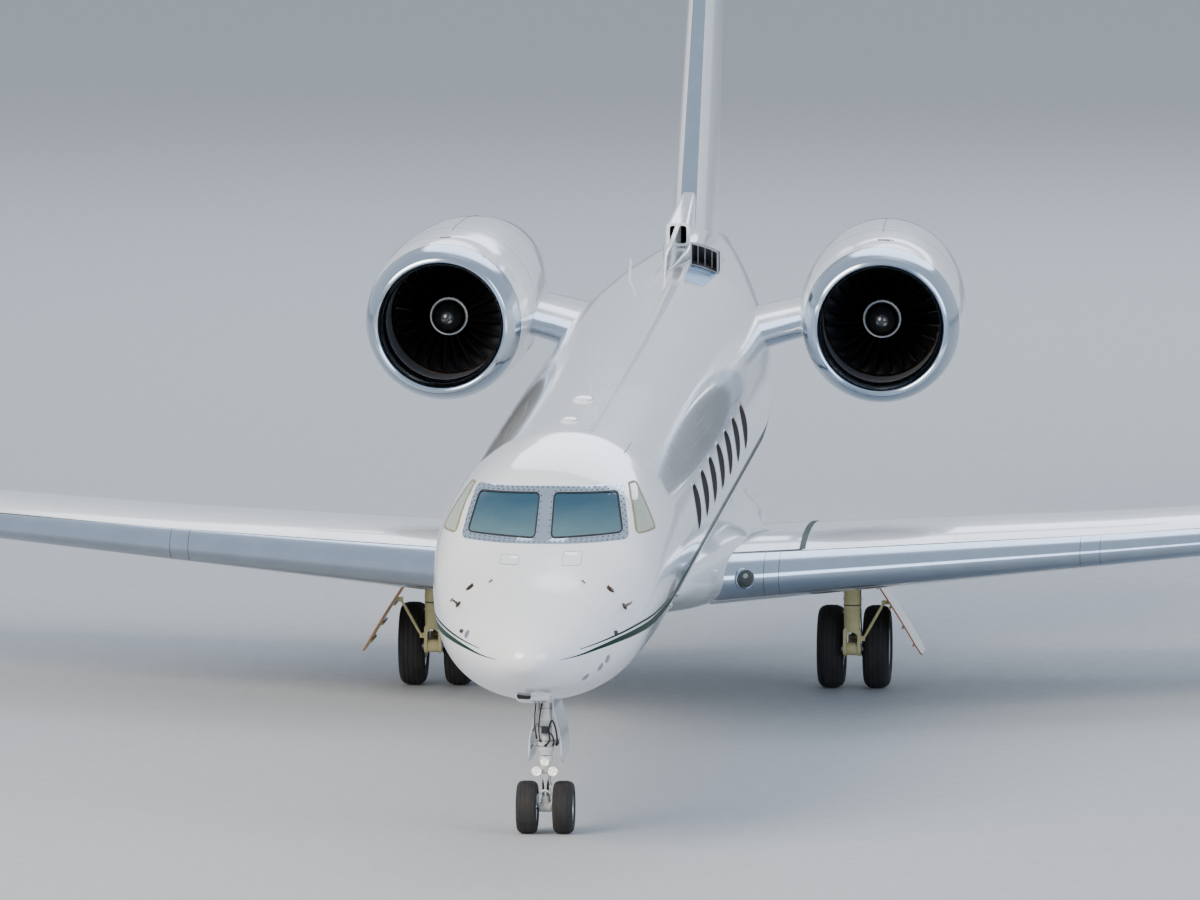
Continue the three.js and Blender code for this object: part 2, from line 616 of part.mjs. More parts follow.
function buildEngine(name, side) {
  const turned = (profile) => turnedAlongY(profile, 0, 0, SEGMENTS);
  const lipOuter = COWL_OUTER.filter(([d]) => d <= LIP_DEPTH);
  const lipInner = COWL_INNER.filter(([d]) => d > 0 && d <= LIP_DEPTH);
  const lip = turned([...lipOuter, ...lipInner.reverse()]);
  const cut = LIP_DEPTH + FIT;
  const cowlOuter = [[cut, COWL_OUTER.find(([d]) => d === LIP_DEPTH)[1]], ...COWL_OUTER.filter(([d]) => d > LIP_DEPTH)];
  const cowlInner = [
    [COWL_OUTER.at(-1)[0], NOZZLE.radius],
    [NOZZLE.front, NOZZLE.radius],
    [NOZZLE.front, NOZZLE.core],
    [1350, NOZZLE.core],
    ...COWL_INNER.filter(([d]) => d > LIP_DEPTH).reverse(),
    [cut, COWL_INNER.find(([d]) => d === LIP_DEPTH)[1]],
  ];
  const cowl = turned([...cowlOuter, ...cowlInner]);

  // The engine is one plain block in the cowl, with the fan's bearing bored into its front.
  hinges.fan = [0, 1000].map((d) => new THREE.Vector3(0, d, 0).applyMatrix4(ENGINE_SEAT).toArray());
  const bearing = SHAFT / Math.cos(Math.PI / SEGMENTS) + RUNNING_FIT;
  const core = turned([
    [1100, bearing],
    [1100, 300],
    [1180, NOZZLE.core - FIT],
    [3500, NOZZLE.core - FIT],
    [3500, 0],
    [1420, 0],
    [1420, bearing],
  ]);
  const placed = (made) => mirrored(made.transform(ENGINE_SEAT.elements), side);
  add(`inlet_lip_${name}`, placed(lip), bareMetal, false);
  add(`nacelle_${name}`, placed(cowl), white, false);
  add(`engine_${name}`, placed(core), engineMetal, false);
  add(`fan_${name}`, placed(buildFan()), fanMetal, false);
  add(`pylon_${name}`, mirrored(buildPylon(), side), white, false);
}

const SHAFT = 62;
const BLADES = 12;
const SPINNER = [[560, 0], [600, 85], [680, 150], [780, 185], [1000, 196], [1060, 180]];
// Blade sections. Columns: radius, angle from the disc, chord, thickness.
const BLADE = [
  [165, 62, 120, 24],
  [380, 46, 150, 18],
  [DUCT - 18, 24, 165, 12],
];

// The fan: spinner, hub and shaft turned in one, and blades that twist from root to tip
function buildFan() {
  const hub = turnedAlongY([...SPINNER, [1060, SHAFT], [1400, SHAFT], [1400, 0]], 0, 0, BLADES);
  const blade = loft(
    BLADE.map(([radius, angle, chord, thick]) => {
      const turn = THREE.MathUtils.degToRad(angle);
      const [c, s] = [Math.cos(turn), Math.sin(turn)];
      return [[-chord, -thick], [chord, -thick], [chord, thick], [-chord, thick]].map(([u, v]) =>
        new THREE.Vector3((u * c - v * s) / 2, 900 + (u * s + v * c) / 2, radius),
      );
    }),
  );
  const blades = Array.from({ length: BLADES }, (_, i) => blade.rotate([0, (360 * i) / BLADES, 0]));
  return joined(hub, ...blades);
}

// Pylon rows. Columns: x, leading edge station, height, chord, thickness ratio, twist, cant.
const PYLON = [
  [700, 18700, 430, 3700, 0.11, 0, 0],
  [1250, 19150, 560, 3250, 0.11, 0, 0],
  [2000, 19500, 735, 2800, 0.11, 0, 0],
];
function buildPylon() {
  return loft(PYLON.map((row) => foilRing(row)))
    .subtract(fuselageBetween(16800, 25000, FIT))
    .transform(SEAT.elements)
    .subtract(nacelleOuter(FIT).transform(ENGINE_SEAT.elements));
}

// Fin rows are foils standing up. Columns: height, leading edge station, chord, thickness ratio.
const FIN = [
  [700, 21850, 4560, 0.1],
  [1400, 22470, 4350, 0.1],
  [4560, 25170, 3120, 0.095],
];
const finRing = ([height, leading, chord, thickness], grow = 0) =>
  foil(thickness + grow / chord, 0).map(
    ([u, v]) => new THREE.Vector3(v * chord, leading + u * chord, height),
  );
const finAt = (height, share) => {
  const t = (height - FIN[1][0]) / (FIN[2][0] - FIN[1][0]);
  const mix = (c) => FIN[1][c] + t * (FIN[2][c] - FIN[1][c]);
  const halves = [FIN[1], FIN[2]].map((row) => foilHalf(row[3], share) * row[2]);
  return { station: mix(1) + share * mix(2), half: halves[0] + t * (halves[1] - halves[0]) };
};
const RUDDER = { low: 1330, high: 4300, share: 0.7, gap: 12, ends: [32, 32], pin: 16 };

// Dorsal fairing with its two cooling-air scoops. Columns: station, half width, top.
const DORSAL = [
  [20700, 40, 1205],
  [21300, 110, 1330],
  [22000, 165, 1560],
  [22700, 190, 1700],
  [23600, 175, 1500],
  [24300, 60, 1150],
];
const SCOOP = { front: 21850, back: 23300, reach: 265, low: 1180, high: 1560 };

function buildFin() {
  const whole = loft(FIN.map((row) => finRing(row)));
  const dorsal = loft(
    DORSAL.map(([station, half, top]) => [
      new THREE.Vector3(-half, station, 800),
      new THREE.Vector3(half, station, 800),
      new THREE.Vector3(half, station, top - 0.9 * half),
      new THREE.Vector3(half * 0.4, station, top),
      new THREE.Vector3(-half * 0.4, station, top),
      new THREE.Vector3(-half, station, top - 0.9 * half),
    ]),
  );
  const scoopRing = (station, reach, high, corner) =>
    [[40, SCOOP.low - 120], [reach, SCOOP.low - 120], [reach, high - 60], [reach - corner, high], [40, high]].map(
      ([x, height]) => new THREE.Vector3(x, station, height),
    );
  const scoop = loft([
    scoopRing(SCOOP.front, SCOOP.reach, SCOOP.high, 60),
    scoopRing(SCOOP.back, 150, SCOOP.high - 100, 20),
  ]).subtract(block([90, SCOOP.front - 50, SCOOP.low + 40], [SCOOP.reach - 30, SCOOP.front + 220, SCOOP.high - 60]));
  const scoops = Object.values(SIDES).map((side) => mirrored(scoop, side));
  const ends = [RUDDER.low, RUDDER.high].map((height) => [0, finAt(height, RUDDER.share).station, height]);
  const radii = [RUDDER.low, RUDDER.high].map((height) => finAt(height, RUDDER.share).half - 3);
  const slab = (by) => block([-600, 22000, RUDDER.low + by], [600, 30000, RUDDER.high - by]);
  const beyond = 400;
  const line = (height) => {
    const [a, b] = ends;
    return a[1] + ((b[1] - a[1]) * (height - a[2])) / (b[2] - a[2]);
  };
  const tail = prism(
    [[line(RUDDER.low - beyond), RUDDER.low - beyond], [30000, RUDDER.low - beyond],
      [30000, RUDDER.high + beyond], [line(RUDDER.high + beyond), RUDDER.high + beyond]],
    "yz", -600, 600,
  );
  noteHinge("rudder", ends);
  const hinge = hingeParts(...ends, radii, RUDDER);
  const rudder = whole.intersect(tail.add(hinge.nose)).intersect(slab(RUDDER.ends[0])).subtract(hinge.bores);
  const fixed = joined(whole, dorsal, ...scoops)
    .subtract(tail.add(hinge.cove).intersect(slab(0)))
    .add(hinge.pins)
    .subtract(fuselageBetween(19000, TAIL_END, FIT))
    .subtract(buildStabiliserWhole(FIT));
  add("fin", fixed, white);
  add("rudder", rudder, white);
}

// Stabiliser rows. Columns: x, leading edge station, height, chord, thickness ratio, twist, cant.
const STABILISER = [
  [0, 25450, 4640, 2950, 0.1, 0, 0],
  [5150, 28130, 4640, 1250, 0.09, 0, 0],
  [5360, 28420, 4640, 970, 0.07, 0, 0],
];
const ELEVATOR = { inner: 330, outer: 5060, share: 0.7, gap: 12, ends: [16, 16], pin: 12 };
// The bullet fairing. Columns: station, radius.
const BULLET = [
  [24750, 0],
  [24830, 60],
  [25100, 120],
  [25700, 175],
  [26800, 180],
  [27900, 140],
  [28700, 55],
  [28850, 0],
];

function buildStabiliserWhole(grow = 0) {
  const half = loft(STABILISER.map((row) => foilRing(row, grow)));
  const bullet = turnedAlongY(BULLET.map(([s, r]) => [s, r > 0 ? r + grow : 0]), 0, STABILISER[0][2], 12);
  return joined(half, half.mirror([1, 0, 0]), bullet);
}

function buildStabiliser() {
  const whole = buildStabiliserWhole();
  let fixed = whole;
  for (const [name, side] of Object.entries(SIDES)) {
    const ends = [ELEVATOR.inner, ELEVATOR.outer].map((x) => ({ x, ...surfaceAt(STABILISER, x, ELEVATOR.share) }));
    const line = ends.map((e) => [e.x, e.station, e.height]);
    const radii = ends.map((e) => e.half - 2);
    const [inner, outer] = line;
    const behind = [inner.slice(0, 2), outer.slice(0, 2), [outer[0], 30000], [inner[0], 30000]];
    const tail = prism(behind, "xy", 4200, 5000);
    const slab = (by) => block([ELEVATOR.inner + by, 25000, 4200], [ELEVATOR.outer - by, 30000, 5000]);
    noteHinge("elevator", line);
    const hinge = hingeParts(...line, radii, ELEVATOR);
    const elevator = whole.intersect(tail.add(hinge.nose)).intersect(slab(ELEVATOR.ends[0])).subtract(hinge.bores);
    fixed = fixed.subtract(mirrored(tail.add(hinge.cove).intersect(slab(0)), side)).add(mirrored(hinge.pins, side));
    add(`elevator_${name}`, mirrored(elevator, side), white);
  }
  add("stabiliser", fixed, white);
}

// Cockpit furniture on a floor plate: seats, pedestal, instrument panel and glare shield
function buildCockpit() {
  const top = FLOOR + 25;
  const plate = block([-640, 1900, FLOOR + FIT], [640, 4150, top]);
  const pedestal = block([-140, 2150, top - 5], [140, 3050, FLOOR + 520]);
  const panel = block([-800, 2020, FLOOR + 380], [800, 2200, FLOOR + 760]);
  const stand = block([-620, 2060, top - 5], [620, 2180, FLOOR + 400]);
  const raised = (outline) => outline.map(([station, height]) => [station, FLOOR + height]);
  const shield = prism(raised([[1960, 760], [2330, 740], [2330, 770], [1960, 850]]), "yz", -760, 760);
  const seat = [1, -1].map((side) =>
    joined(
      block([230 * side, 2950, top - 5], [490 * side, 3250, FLOOR + 330]),
      block([130 * side, 2780, FLOOR + 320], [590 * side, 3300, FLOOR + 450]),
      prism(raised([[3230, 400], [3380, 400], [3500, 1080], [3380, 1080]]), "yz", 140 * side, 580 * side),
      prism(raised([[3390, 1070], [3480, 1070], [3520, 1260], [3420, 1260]]), "yz", 250 * side, 470 * side),
    ),
  );
  const wheels = [1, -1].map((side) =>
    joined(
      bar([360 * side, 2190, FLOOR + 470], [360 * side, 2560, FLOOR + 560], 18, 18, 8),
      block([230 * side, 2540, FLOOR + 530], [490 * side, 2580, FLOOR + 590]),
    ),
  );
  const bulkheads = [1, -1].map((side) =>
    block([330 * side, 4080, top - 5], [780 * side, 4130, FLOOR + 1250]),
  );
  const all = joined(plate, pedestal, stand, panel, shield, ...seat, ...wheels, ...bulkheads);
  const room = fuselageBetween(FRONT_BULKHEAD + 5, CABIN_FRONT - SKIN, -SKIN - 3, NOSE_EXTRA);
  add("cockpit_interior", all.intersect(room), trim);
}

// The entry door is the skin panel with its stair treads, which lie level when the door is open.
const TREADS = { count: 6, first: 190, pitch: 235, width: 90, thickness: 30 };
function buildDoor() {
  const skin = fuselageBetween(3800, 5600).subtract(fuselageBetween(3700, 5700, -SKIN));
  const panel = skin.intersect(doorPrism(PANEL_GAP));
  const treads = Array.from({ length: TREADS.count }, (_, i) => {
    const along = TREADS.first + i * TREADS.pitch;
    const half = TREADS.thickness / 2;
    const tread = block([-235, DOOR.front + TREADS.width, -half], [20, DOOR.back - TREADS.width, half]);
    return tread
      .rotate([0, -THREE.MathUtils.radToDeg(DOOR_OPEN), 0])
      .translate([doorFace(along).x, 0, doorFace(along).z]);
  });
  const keep = fuselageBetween(3800, 5600, -20).intersect(
    block([300, DOOR.front + 30, DOOR.sill + 30], [1400, DOOR.back - 30, DOOR.lintel - 30]),
  );
  const inside = joined(...treads).intersect(keep);
  const barrels = joined(...alongSill(12, 12 + BARREL.length, BARREL.radius));
  const bores = joined(...alongSill(0, PIN.reach, (BARREL.pin + FIT) / Math.cos(Math.PI / PIN.sides)));
  add("entry_door", joined(panel, inside, barrels).subtract(bores), white);
  noteHinge("entry_door", [[DOOR_HINGE.x, DOOR.front, DOOR_HINGE.z], [DOOR_HINGE.x, DOOR.back, DOOR_HINGE.z]]);
}
// A point on the door's inner face, at a distance up the arc from its sill
function doorFace(along) {
  const inner = RADIUS - SKIN + 10;
  const start = Math.asin(DOOR.sill / inner);
  const angle = start + along / inner;
  return { x: inner * Math.cos(angle), z: inner * Math.sin(angle) };
}

// The infrared sensor's chin fairing under the nose. Columns: station, half width, top, bottom.
const SENSOR = [
  [680, 150, -800, -962],
  [720, 172, -800, -985],
  [1000, 172, -850, -1042],
  [1320, 120, -900, -1072],
];
const SENSOR_CHAMFER = 45;

function buildSensor() {
  const pod = loft(
    SENSOR.map(([station, half, top, bottom]) => [
      new THREE.Vector3(-half, station, top),
      new THREE.Vector3(half, station, top),
      new THREE.Vector3(half, station, bottom + SENSOR_CHAMFER),
      new THREE.Vector3(half - SENSOR_CHAMFER, station, bottom),
      new THREE.Vector3(-half + SENSOR_CHAMFER, station, bottom),
      new THREE.Vector3(-half, station, bottom + SENSOR_CHAMFER),
    ]),
  );
  add("sensor_fairing", pod.subtract(fuselageBetween(0, CABIN_FRONT, FIT, [RADOME_JOINT])), white);
}

// Wheels. Tyre profiles have [half width share, radius share of the wall's height]
const MAIN_WHEEL = { radius: 437, width: 279, rim: 235, spacing: 477, segments: 24 };
const NOSE_WHEEL = { radius: 262, width: 200, rim: 150, spacing: 355, segments: 18 };
const TYRE = [[-0.5, 0.55], [-0.3, 1], [0.3, 1], [0.5, 0.55], [0.36, 0], [-0.36, 0]];

const axleHeight = (wheel) => wheel.radius * Math.cos(Math.PI / wheel.segments);
function tyre(wheel, x, y) {
  const wall = wheel.radius - wheel.rim;
  const profile = TYRE.map(([w, r]) => [x + w * wheel.width, wheel.rim + r * wall]);
  return turnedAlongX(profile, y, axleHeight(wheel), wheel.segments);
}
// Both rims of a twin wheel on the axle that turns with them in the link's boss
function rims(wheel, x, y, axle) {
  const seat = wheel.rim - FIT;
  const one = (centre, outward) => {
    const w = (share) => centre + outward * share * wheel.width;
    const profile = [
      [w(-0.36), 0], [w(-0.36), seat], [w(0.36), seat], [w(0.1), seat * 0.6], [w(0.3), seat * 0.35], [w(0.3), 0],
    ];
    return turnedAlongX(profile, y, axleHeight(wheel), wheel.segments);
  };
  const shaft = [x - wheel.spacing / 2, x + wheel.spacing / 2].map((end) => [end, y, axleHeight(wheel)]);
  const centres = [-1, 1].map((outward) => one(x + (outward * wheel.spacing) / 2, outward));
  return joined(...centres, bar(...shaft, axle, axle, AXLE_SIDES));
}
// The hole an axle turns in, through a boss from one x to another
const AXLE_SIDES = 20;
const axleBore = (from, to, y, z, axle) => bore([from, y, z], [to, y, z], axle + RUNNING_FIT, AXLE_SIDES);

// Main gear: a leg, a trailing link that carries the axle, a shock strut, a door and its rod on each side
const PIVOT = { y: MAIN_GEAR_STATION - LENGTH / 2 - 440, z: 450 };
const MAIN_AXLE = 48;
const STRUT = { up: 600, aft: 105, down: 105 };

function buildMainGear(name, side) {
  const x = TRACK / 2;
  const axleY = MAIN_GEAR_STATION - LENGTH / 2;
  const axleZ = axleHeight(MAIN_WHEEL);
  const { y, z } = PIVOT;
  const legTop = wingUnderside(x, y + LENGTH / 2) - 12;
  const slice = (from, to, radius, atY, atZ) => bar([x + from, atY, atZ], [x + to, atY, atZ], radius, radius, 12);
  const top = [x, y + 150, z + STRUT.up];
  const bottom = [x, axleY - 110, axleZ + STRUT.down];
  const lug = (from, to) => joined(
    block([x + from, y + 40, top[2] - 45], [x + to, top[1], top[2] + 45]),
    slice(from, to, 45, top[1], top[2]),
  );
  const cheek = (from, to) => joined(
    slice(from, to, 74, y, z),
    block([x + from, y - 60, z], [x + to, y + 60, z + 190]),
  );
  const leg = joined(
    bar([x, y, z + 170], [x, y, legTop - 6], 78, 78, 12),
    bar([x, y, z + 425], [x, y, z + 450], 88, 88, 12),
    block([x - 110, y - 90, legTop - 45], [x + 110, y + 90, legTop + 60]),
    cheek(-90, -58), cheek(58, 90),
    block([x - 90, y - 60, z + 150], [x + 90, y + 60, z + 215]),
    lug(-62, -34), lug(34, 62),
    block([x + 80, y - 70, z + 90], [x + 108, y - 30, z + 140]),
  );
  const fork = (from, to) => block([x + from, bottom[1] - 35, axleZ + 40], [x + to, bottom[1] + 35, bottom[2] + 30]);
  const link = joined(
    slice(-58 + FIT, 58 - FIT, 66, y, z),
    prism([[y, z - 60], [axleY, axleZ - 62], [axleY, axleZ + 62], [y, z + 60]], "yz", x - 52, x + 52),
    slice(-60, 60, 84, axleY, axleZ),
    fork(-58, -34), fork(34, 58),
  ).subtract(axleBore(x - 100, x + 100, axleY, axleZ, MAIN_AXLE));
  const alongStrut = (t) => top.map((v, i) => v + t * (bottom[i] - v));
  const strut = joined(
    slice(-34 + FIT, 34 - FIT, 40, top[1], top[2]),
    bar(top, alongStrut(0.2), 28),
    bar(alongStrut(0.14), alongStrut(0.6), 52),
    bar(alongStrut(0.58), bottom, 30),
    slice(-34 + FIT, 34 - FIT, 34, bottom[1], bottom[2]),
  );

  // The door hangs splayed from the wing's underside, held by a rod from the fork.
  const rod = joined(
    bar([x + 122, y - 50, z + 115], [x + 333, y - 50, z + 490], 15, 15, 8),
    block([x + 108 + FIT, y - 70, z + 90], [x + 136, y - 30, z + 140]),
    bar([x + 333, y - 74, z + 490], [x + 333, y - 28 - FIT, z + 490], 26, 26, 8),
  );
  const door = joined(
    prism([[x + 140, z + 850], [x + 715, z - 50], [x + 740, z - 50], [x + 181, z + 850]], "xz", y - 130, y + 560),
    block([x + 315, y - 28, z + 470], [x + 395, y - 8, z + 510]),
  );
  const wing = loft(WING.slice(0, 3).map((row) => foilRing(row, 1))).transform(SEAT.elements);
  const made = {
    main_leg: leg.subtract(wing),
    trailing_link: link,
    shock_strut: strut,
    door_rod: rod,
    main_gear_door: door.subtract(wing),
  };
  for (const [node, body] of Object.entries(made)) add(`${node}_${name}`, mirrored(body, side), gearPaint, false);
}

// Height in the part frame of the wing's underside at x and station
function wingUnderside(x, station) {
  const front = surfaceAt(WING, x, 0).station;
  const back = surfaceAt(WING, x, 1).station;
  const at = surfaceAt(WING, x, (station - front) / (back - front));
  return axisHeight(station) + at.height - at.half;
}

function buildMainWheels(name, side) {
  const x = (TRACK / 2) * side;
  const y = MAIN_GEAR_STATION - LENGTH / 2;
  add(`main_wheel_${name}`, rims(MAIN_WHEEL, x, y, MAIN_AXLE), steel, false);
  for (const [place, offset] of [["inner", -side], ["outer", side]])
    add(`main_tyre_${name}_${place}`, tyre(MAIN_WHEEL, x + (offset * MAIN_WHEEL.spacing) / 2, y), rubber, false);
}

// Nose gear: a leg with its drag brace, a steered fork with the taxi lamps, twin wheels and two side doors
const NOSE_AXLE = 30;
const STEERING_SHAFT = 20;
const NOSE_LEG = { y: NOSE_GEAR_STATION - LENGTH / 2, split: 760, top: 1790 };

// Nose gear lamps. Columns: x, height, radius, reach ahead of the leg.
const LAMPS = [
  [-79, 620, 50, 130],
  [79, 620, 50, 130],
  [0, 712, 45, 115],
];
// The nose doors' inner face. Columns: x, height.
const NOSE_DOOR = [[155, 702], [146, 935], [72, 1240], [72, 1330]];
const NOSE_DOOR_SKIN = 14;

function buildNoseGear() {
  const { y, split, top } = NOSE_LEG;
  const axleZ = axleHeight(NOSE_WHEEL);
  const upright = (z0, z1, r0, r1 = r0) => bar([0, y, z0], [0, y, z1], r0, r1, 12);
  const braceTop = [0, y + 760, 1830];
  const wall = WELL.half - FIT;
  const leg = joined(
    upright(split + 10, top, 60),
    upright(split + 60, split + 200, 80),
    bar([-wall, y, top - 60], [wall, y, top - 60], 40, 40, 12),
    bar([0, y + 20, 1180], braceTop, 34, 34, 10),
    bar([-wall, braceTop[1], braceTop[2]], [wall, braceTop[1], braceTop[2]], 34, 34, 10),
    block([-146 + FIT, y - 20, 910], [146 - FIT, y + 20, 925]),
  ).subtract(bore([0, y, split], [0, y, split + 80], STEERING_SHAFT + FIT, AXLE_SIDES));
  const lamps = LAMPS.map(([x, z, radius, reach]) =>
    joined(
      bar([x, y - reach, z], [x, y - reach + 40, z], radius, radius, 10),
      bar([x, y - reach + 38, z], [x, y - reach + 75, z], radius, radius * 0.5, 10),
      bar([x, y - reach + 65, z], [0, y, z + 20], 20, 20, 8),
    ),
  );
  const steering = joined(
    upright(axleZ + 20, 600, 34),
    upright(585, split, 52),
    upright(split - 60, split, 70),
    bar([0, y, split - 5], [0, y, split + 70], STEERING_SHAFT, STEERING_SHAFT, AXLE_SIDES),
    bar([-60, y, axleZ], [60, y, axleZ], 48, 48, 14),
    block([-38, y + 10, axleZ + 20], [38, y + 190, axleZ + 60]),
    bar([0, y + 170, axleZ + 40], [0, y + 60, split - 70], 22, 22, 8),
    block([-38, y + 20, split - 85], [38, y + 100, split - 45]),
    ...lamps,
  ).subtract(axleBore(-90, 90, y, axleZ, NOSE_AXLE));
  add("nose_leg", leg, gearPaint, false);
  add("nose_steering", steering, gearPaint, false);
  add("nose_wheels", rims(NOSE_WHEEL, 0, y, NOSE_AXLE), steel, false);
  for (const [name, side] of Object.entries(SIDES)) {
    add(`nose_tyre_${name}`, tyre(NOSE_WHEEL, (side * NOSE_WHEEL.spacing) / 2, y), rubber, false);
    const outer = NOSE_DOOR.map(([x, z]) => [x + NOSE_DOOR_SKIN, z]).reverse();
    const door = prism([...NOSE_DOOR, ...outer], "xz", y - 70, y + 900);
    add(`nose_door_${name}`, mirrored(door, side), white, false);
  }
}

buildFuselage();
buildSensor();
buildCockpit();
buildDoor();
buildFairing();
for (const [name, side] of Object.entries(SIDES)) {
  buildWing(name, side);
  buildEngine(name, side);
  buildMainGear(name, side);
  buildMainWheels(name, side);
}
buildNoseGear();
buildFin();
buildStabiliser();

export default jet;
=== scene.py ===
"""The looks of a long-range business jet standing on its landing gear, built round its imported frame, in metres.

The frame has +X to the jet's left wing tip, +Y aft and +Z up. The airframe's shapes are worked out in airframe
coordinates (x, station aft of the nose tip, height above the cabin's axis) and are then seated on that axis, which
slopes nose-down.
"""

import logging
import math
from dataclasses import dataclass, field
from enum import Enum
from typing import Callable, ClassVar, Sequence

import bpy
import numpy as np
from mathutils import Matrix, Vector


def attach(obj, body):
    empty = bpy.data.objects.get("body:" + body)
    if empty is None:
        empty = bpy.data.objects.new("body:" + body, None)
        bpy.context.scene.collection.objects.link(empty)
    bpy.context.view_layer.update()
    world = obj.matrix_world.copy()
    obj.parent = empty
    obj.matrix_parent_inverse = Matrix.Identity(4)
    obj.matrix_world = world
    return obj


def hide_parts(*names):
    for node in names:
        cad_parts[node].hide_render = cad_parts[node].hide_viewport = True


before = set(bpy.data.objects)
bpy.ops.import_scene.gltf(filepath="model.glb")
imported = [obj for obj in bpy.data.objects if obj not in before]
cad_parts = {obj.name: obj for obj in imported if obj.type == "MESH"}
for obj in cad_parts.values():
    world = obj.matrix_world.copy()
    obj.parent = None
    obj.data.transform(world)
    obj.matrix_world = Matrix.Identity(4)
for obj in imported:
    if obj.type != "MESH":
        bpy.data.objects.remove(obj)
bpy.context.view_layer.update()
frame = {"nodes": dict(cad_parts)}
MM = 0.001

log = logging.getLogger("jet")
Array = np.ndarray
Object = bpy.types.Object
Tree = bpy.types.NodeTree
Node = bpy.types.Node
Socket = bpy.types.NodeSocket


class Side(Enum):
    """A side of the jet, with the sign of its x."""

    LEFT = 1
    RIGHT = -1

    @property
    def label(self) -> str:
        """The side's name in the frame's node names."""
        return self.name.lower()


class Carve(Enum):
    """What a cutter does to the mesh it meets."""

    REMOVE = "DIFFERENCE"
    KEEP = "INTERSECT"
    ADD = "UNION"


# Shapes as arrays

@dataclass
class Shape:
    """A surface held as arrays.

    Args:
        points: corner places, one row each.
        faces: four corner numbers a row; a triangle repeats its third corner.
    """

    points: Array
    faces: Array

    def moved(self, matrix: Matrix) -> "Shape":
        """The shape with every point multiplied by a 4 by 4 matrix."""
        m = np.array(matrix)
        return Shape(self.points @ m[:3, :3].T + m[:3, 3], self.faces)

    def shifted(self, x: float, y: float, z: float) -> "Shape":
        """The shape moved by a distance along each axis."""
        return Shape(self.points + (x, y, z), self.faces)

    def mirrored(self, side: Side) -> "Shape":
        """The shape carried to a side: x times the side's sign, with the faces turned round on the right."""
        faces = self.faces if side is Side.LEFT else reversed_faces(self.faces)
        return Shape(self.points * (side.value, 1, 1), faces)

    def carried(self, side: Side) -> "Shape":
        """The closed shape carried to a side, facing out."""
        return self.mirrored(side).outward()

    def along_x(self, x: float = 0, y: float = 0, z: float = 0) -> "Shape":
        """The shape turned from the Y axis to the X axis, and then moved."""
        return self.moved(ALONG_X).shifted(x, y, z)

    def along_z(self) -> "Shape":
        """The shape turned from the Y axis to the Z axis."""
        return self.moved(ALONG_Z)

    def outward(self) -> "Shape":
        """The closed shape with its faces pointing out: turned round where the sum of a.(b x c) is below nought.

        Returns:
            The shape, facing out.
        """
        a, b, c, d = (self.points[self.faces[:, k]] - self.points.mean(0) for k in range(4))
        volume = (a * np.cross(b, c)).sum() + (a * np.cross(c, d)).sum()
        return self if volume > 0 else Shape(self.points, reversed_faces(self.faces))


def array_field(rows: Sequence) -> Array:
    """A dataclass field that holds a table."""
    return field(default_factory=lambda: np.array(rows))


def joined(*parts: Array | float) -> Array:
    """Coordinates spread to one shape and joined as points."""
    return np.stack(np.broadcast_arrays(*parts), -1)


def around(count: int) -> Array:
    """Angles in even steps round a turn."""
    return np.linspace(0, 2 * math.pi, count, endpoint=False)


def half_steps(count: int) -> Array:
    """Angles in even steps round a turn that start half a step on."""
    return 2 * math.pi * (np.arange(count) + 0.5) / count


def signed(value: Array, power: float | Array) -> Array:
    """The size of a value raised to a power, with the value's sign."""
    return np.sign(value) * np.abs(value) ** power


def straight(table: Array, at: Array, *columns: int) -> list[Array]:
    """Columns of a table at places along its first column, straight between the rows."""
    return [np.interp(at, table[:, 0], table[:, k]) for k in columns]


def at_rows(table: Array, number: Array) -> Array:
    """Rows of a table at numbers that may lie between two rows."""
    return np.stack([np.interp(number, np.arange(len(table)), column) for column in table.T], -1)


def reversed_faces(faces: Array) -> Array:
    """Faces with their corners in the opposite order, triangles still repeating their third corner.

    Args:
        faces: corner numbers, four a row.

    Returns:
        The turned faces.
    """
    turned = faces[:, [2, 1, 0, 0]]
    quad = faces[:, 2] != faces[:, 3]
    turned[quad] = faces[quad][:, ::-1]
    return turned


def together(*shapes: Shape) -> Shape:
    """Several shapes as one, with the face numbers moved on past the points before them.

    Args:
        shapes: the shapes, in order.

    Returns:
        The one shape.
    """
    starts = np.cumsum([0] + [len(s.points) for s in shapes[:-1]])
    return Shape(
        np.concatenate([s.points for s in shapes]),
        np.concatenate([s.faces + start for s, start in zip(shapes, starts)]),
    )


def copies(one: Shape, points: Array) -> Shape:
    """Copies of a shape whose points are given as an array of copies, points and x, y, z."""
    starts = len(one.points) * np.arange(len(points))[:, None, None]
    return Shape(points.reshape(-1, 3), (one.faces + starts).reshape(-1, 4))


def scattered(one: Shape, places: Array, normals: Array) -> Shape:
    """Copies of a shape set on a surface: each copy's z goes along its normal n, and its x along the cross product of
    the frame's z (or its y, where n is nearly upright) with n.

    Args:
        one: the shape that is copied.
        places: places, one row each.
        normals: the outward direction at each place.

    Returns:
        The copies as one shape.
    """
    n = np.asarray(normals, float) / np.linalg.norm(normals, axis=1, keepdims=True)
    helper = np.where(np.abs(n[:, 2:]) < 0.9, (0.0, 0.0, 1.0), (0.0, 1.0, 0.0))
    a = np.cross(helper, n)
    a /= np.linalg.norm(a, axis=1, keepdims=True)
    basis = np.stack([a, np.cross(n, a), n], 1)
    return copies(one, np.asarray(places, float)[:, None] + one.points @ basis)


def spun(one: Shape, count: int) -> Shape:
    """Copies of a shape turned about the Y axis by equal steps: x cos + z sin and z cos - x sin.

    Args:
        one: the shape that is copied.
        count: number of copies.

    Returns:
        The copies as one shape.
    """
    turn = (2 * math.pi * np.arange(count) / count)[:, None]
    x, y, z = one.points.T
    c, s = np.cos(turn), np.sin(turn)
    return copies(one, joined(x * c + z * s, y, z * c - x * s))


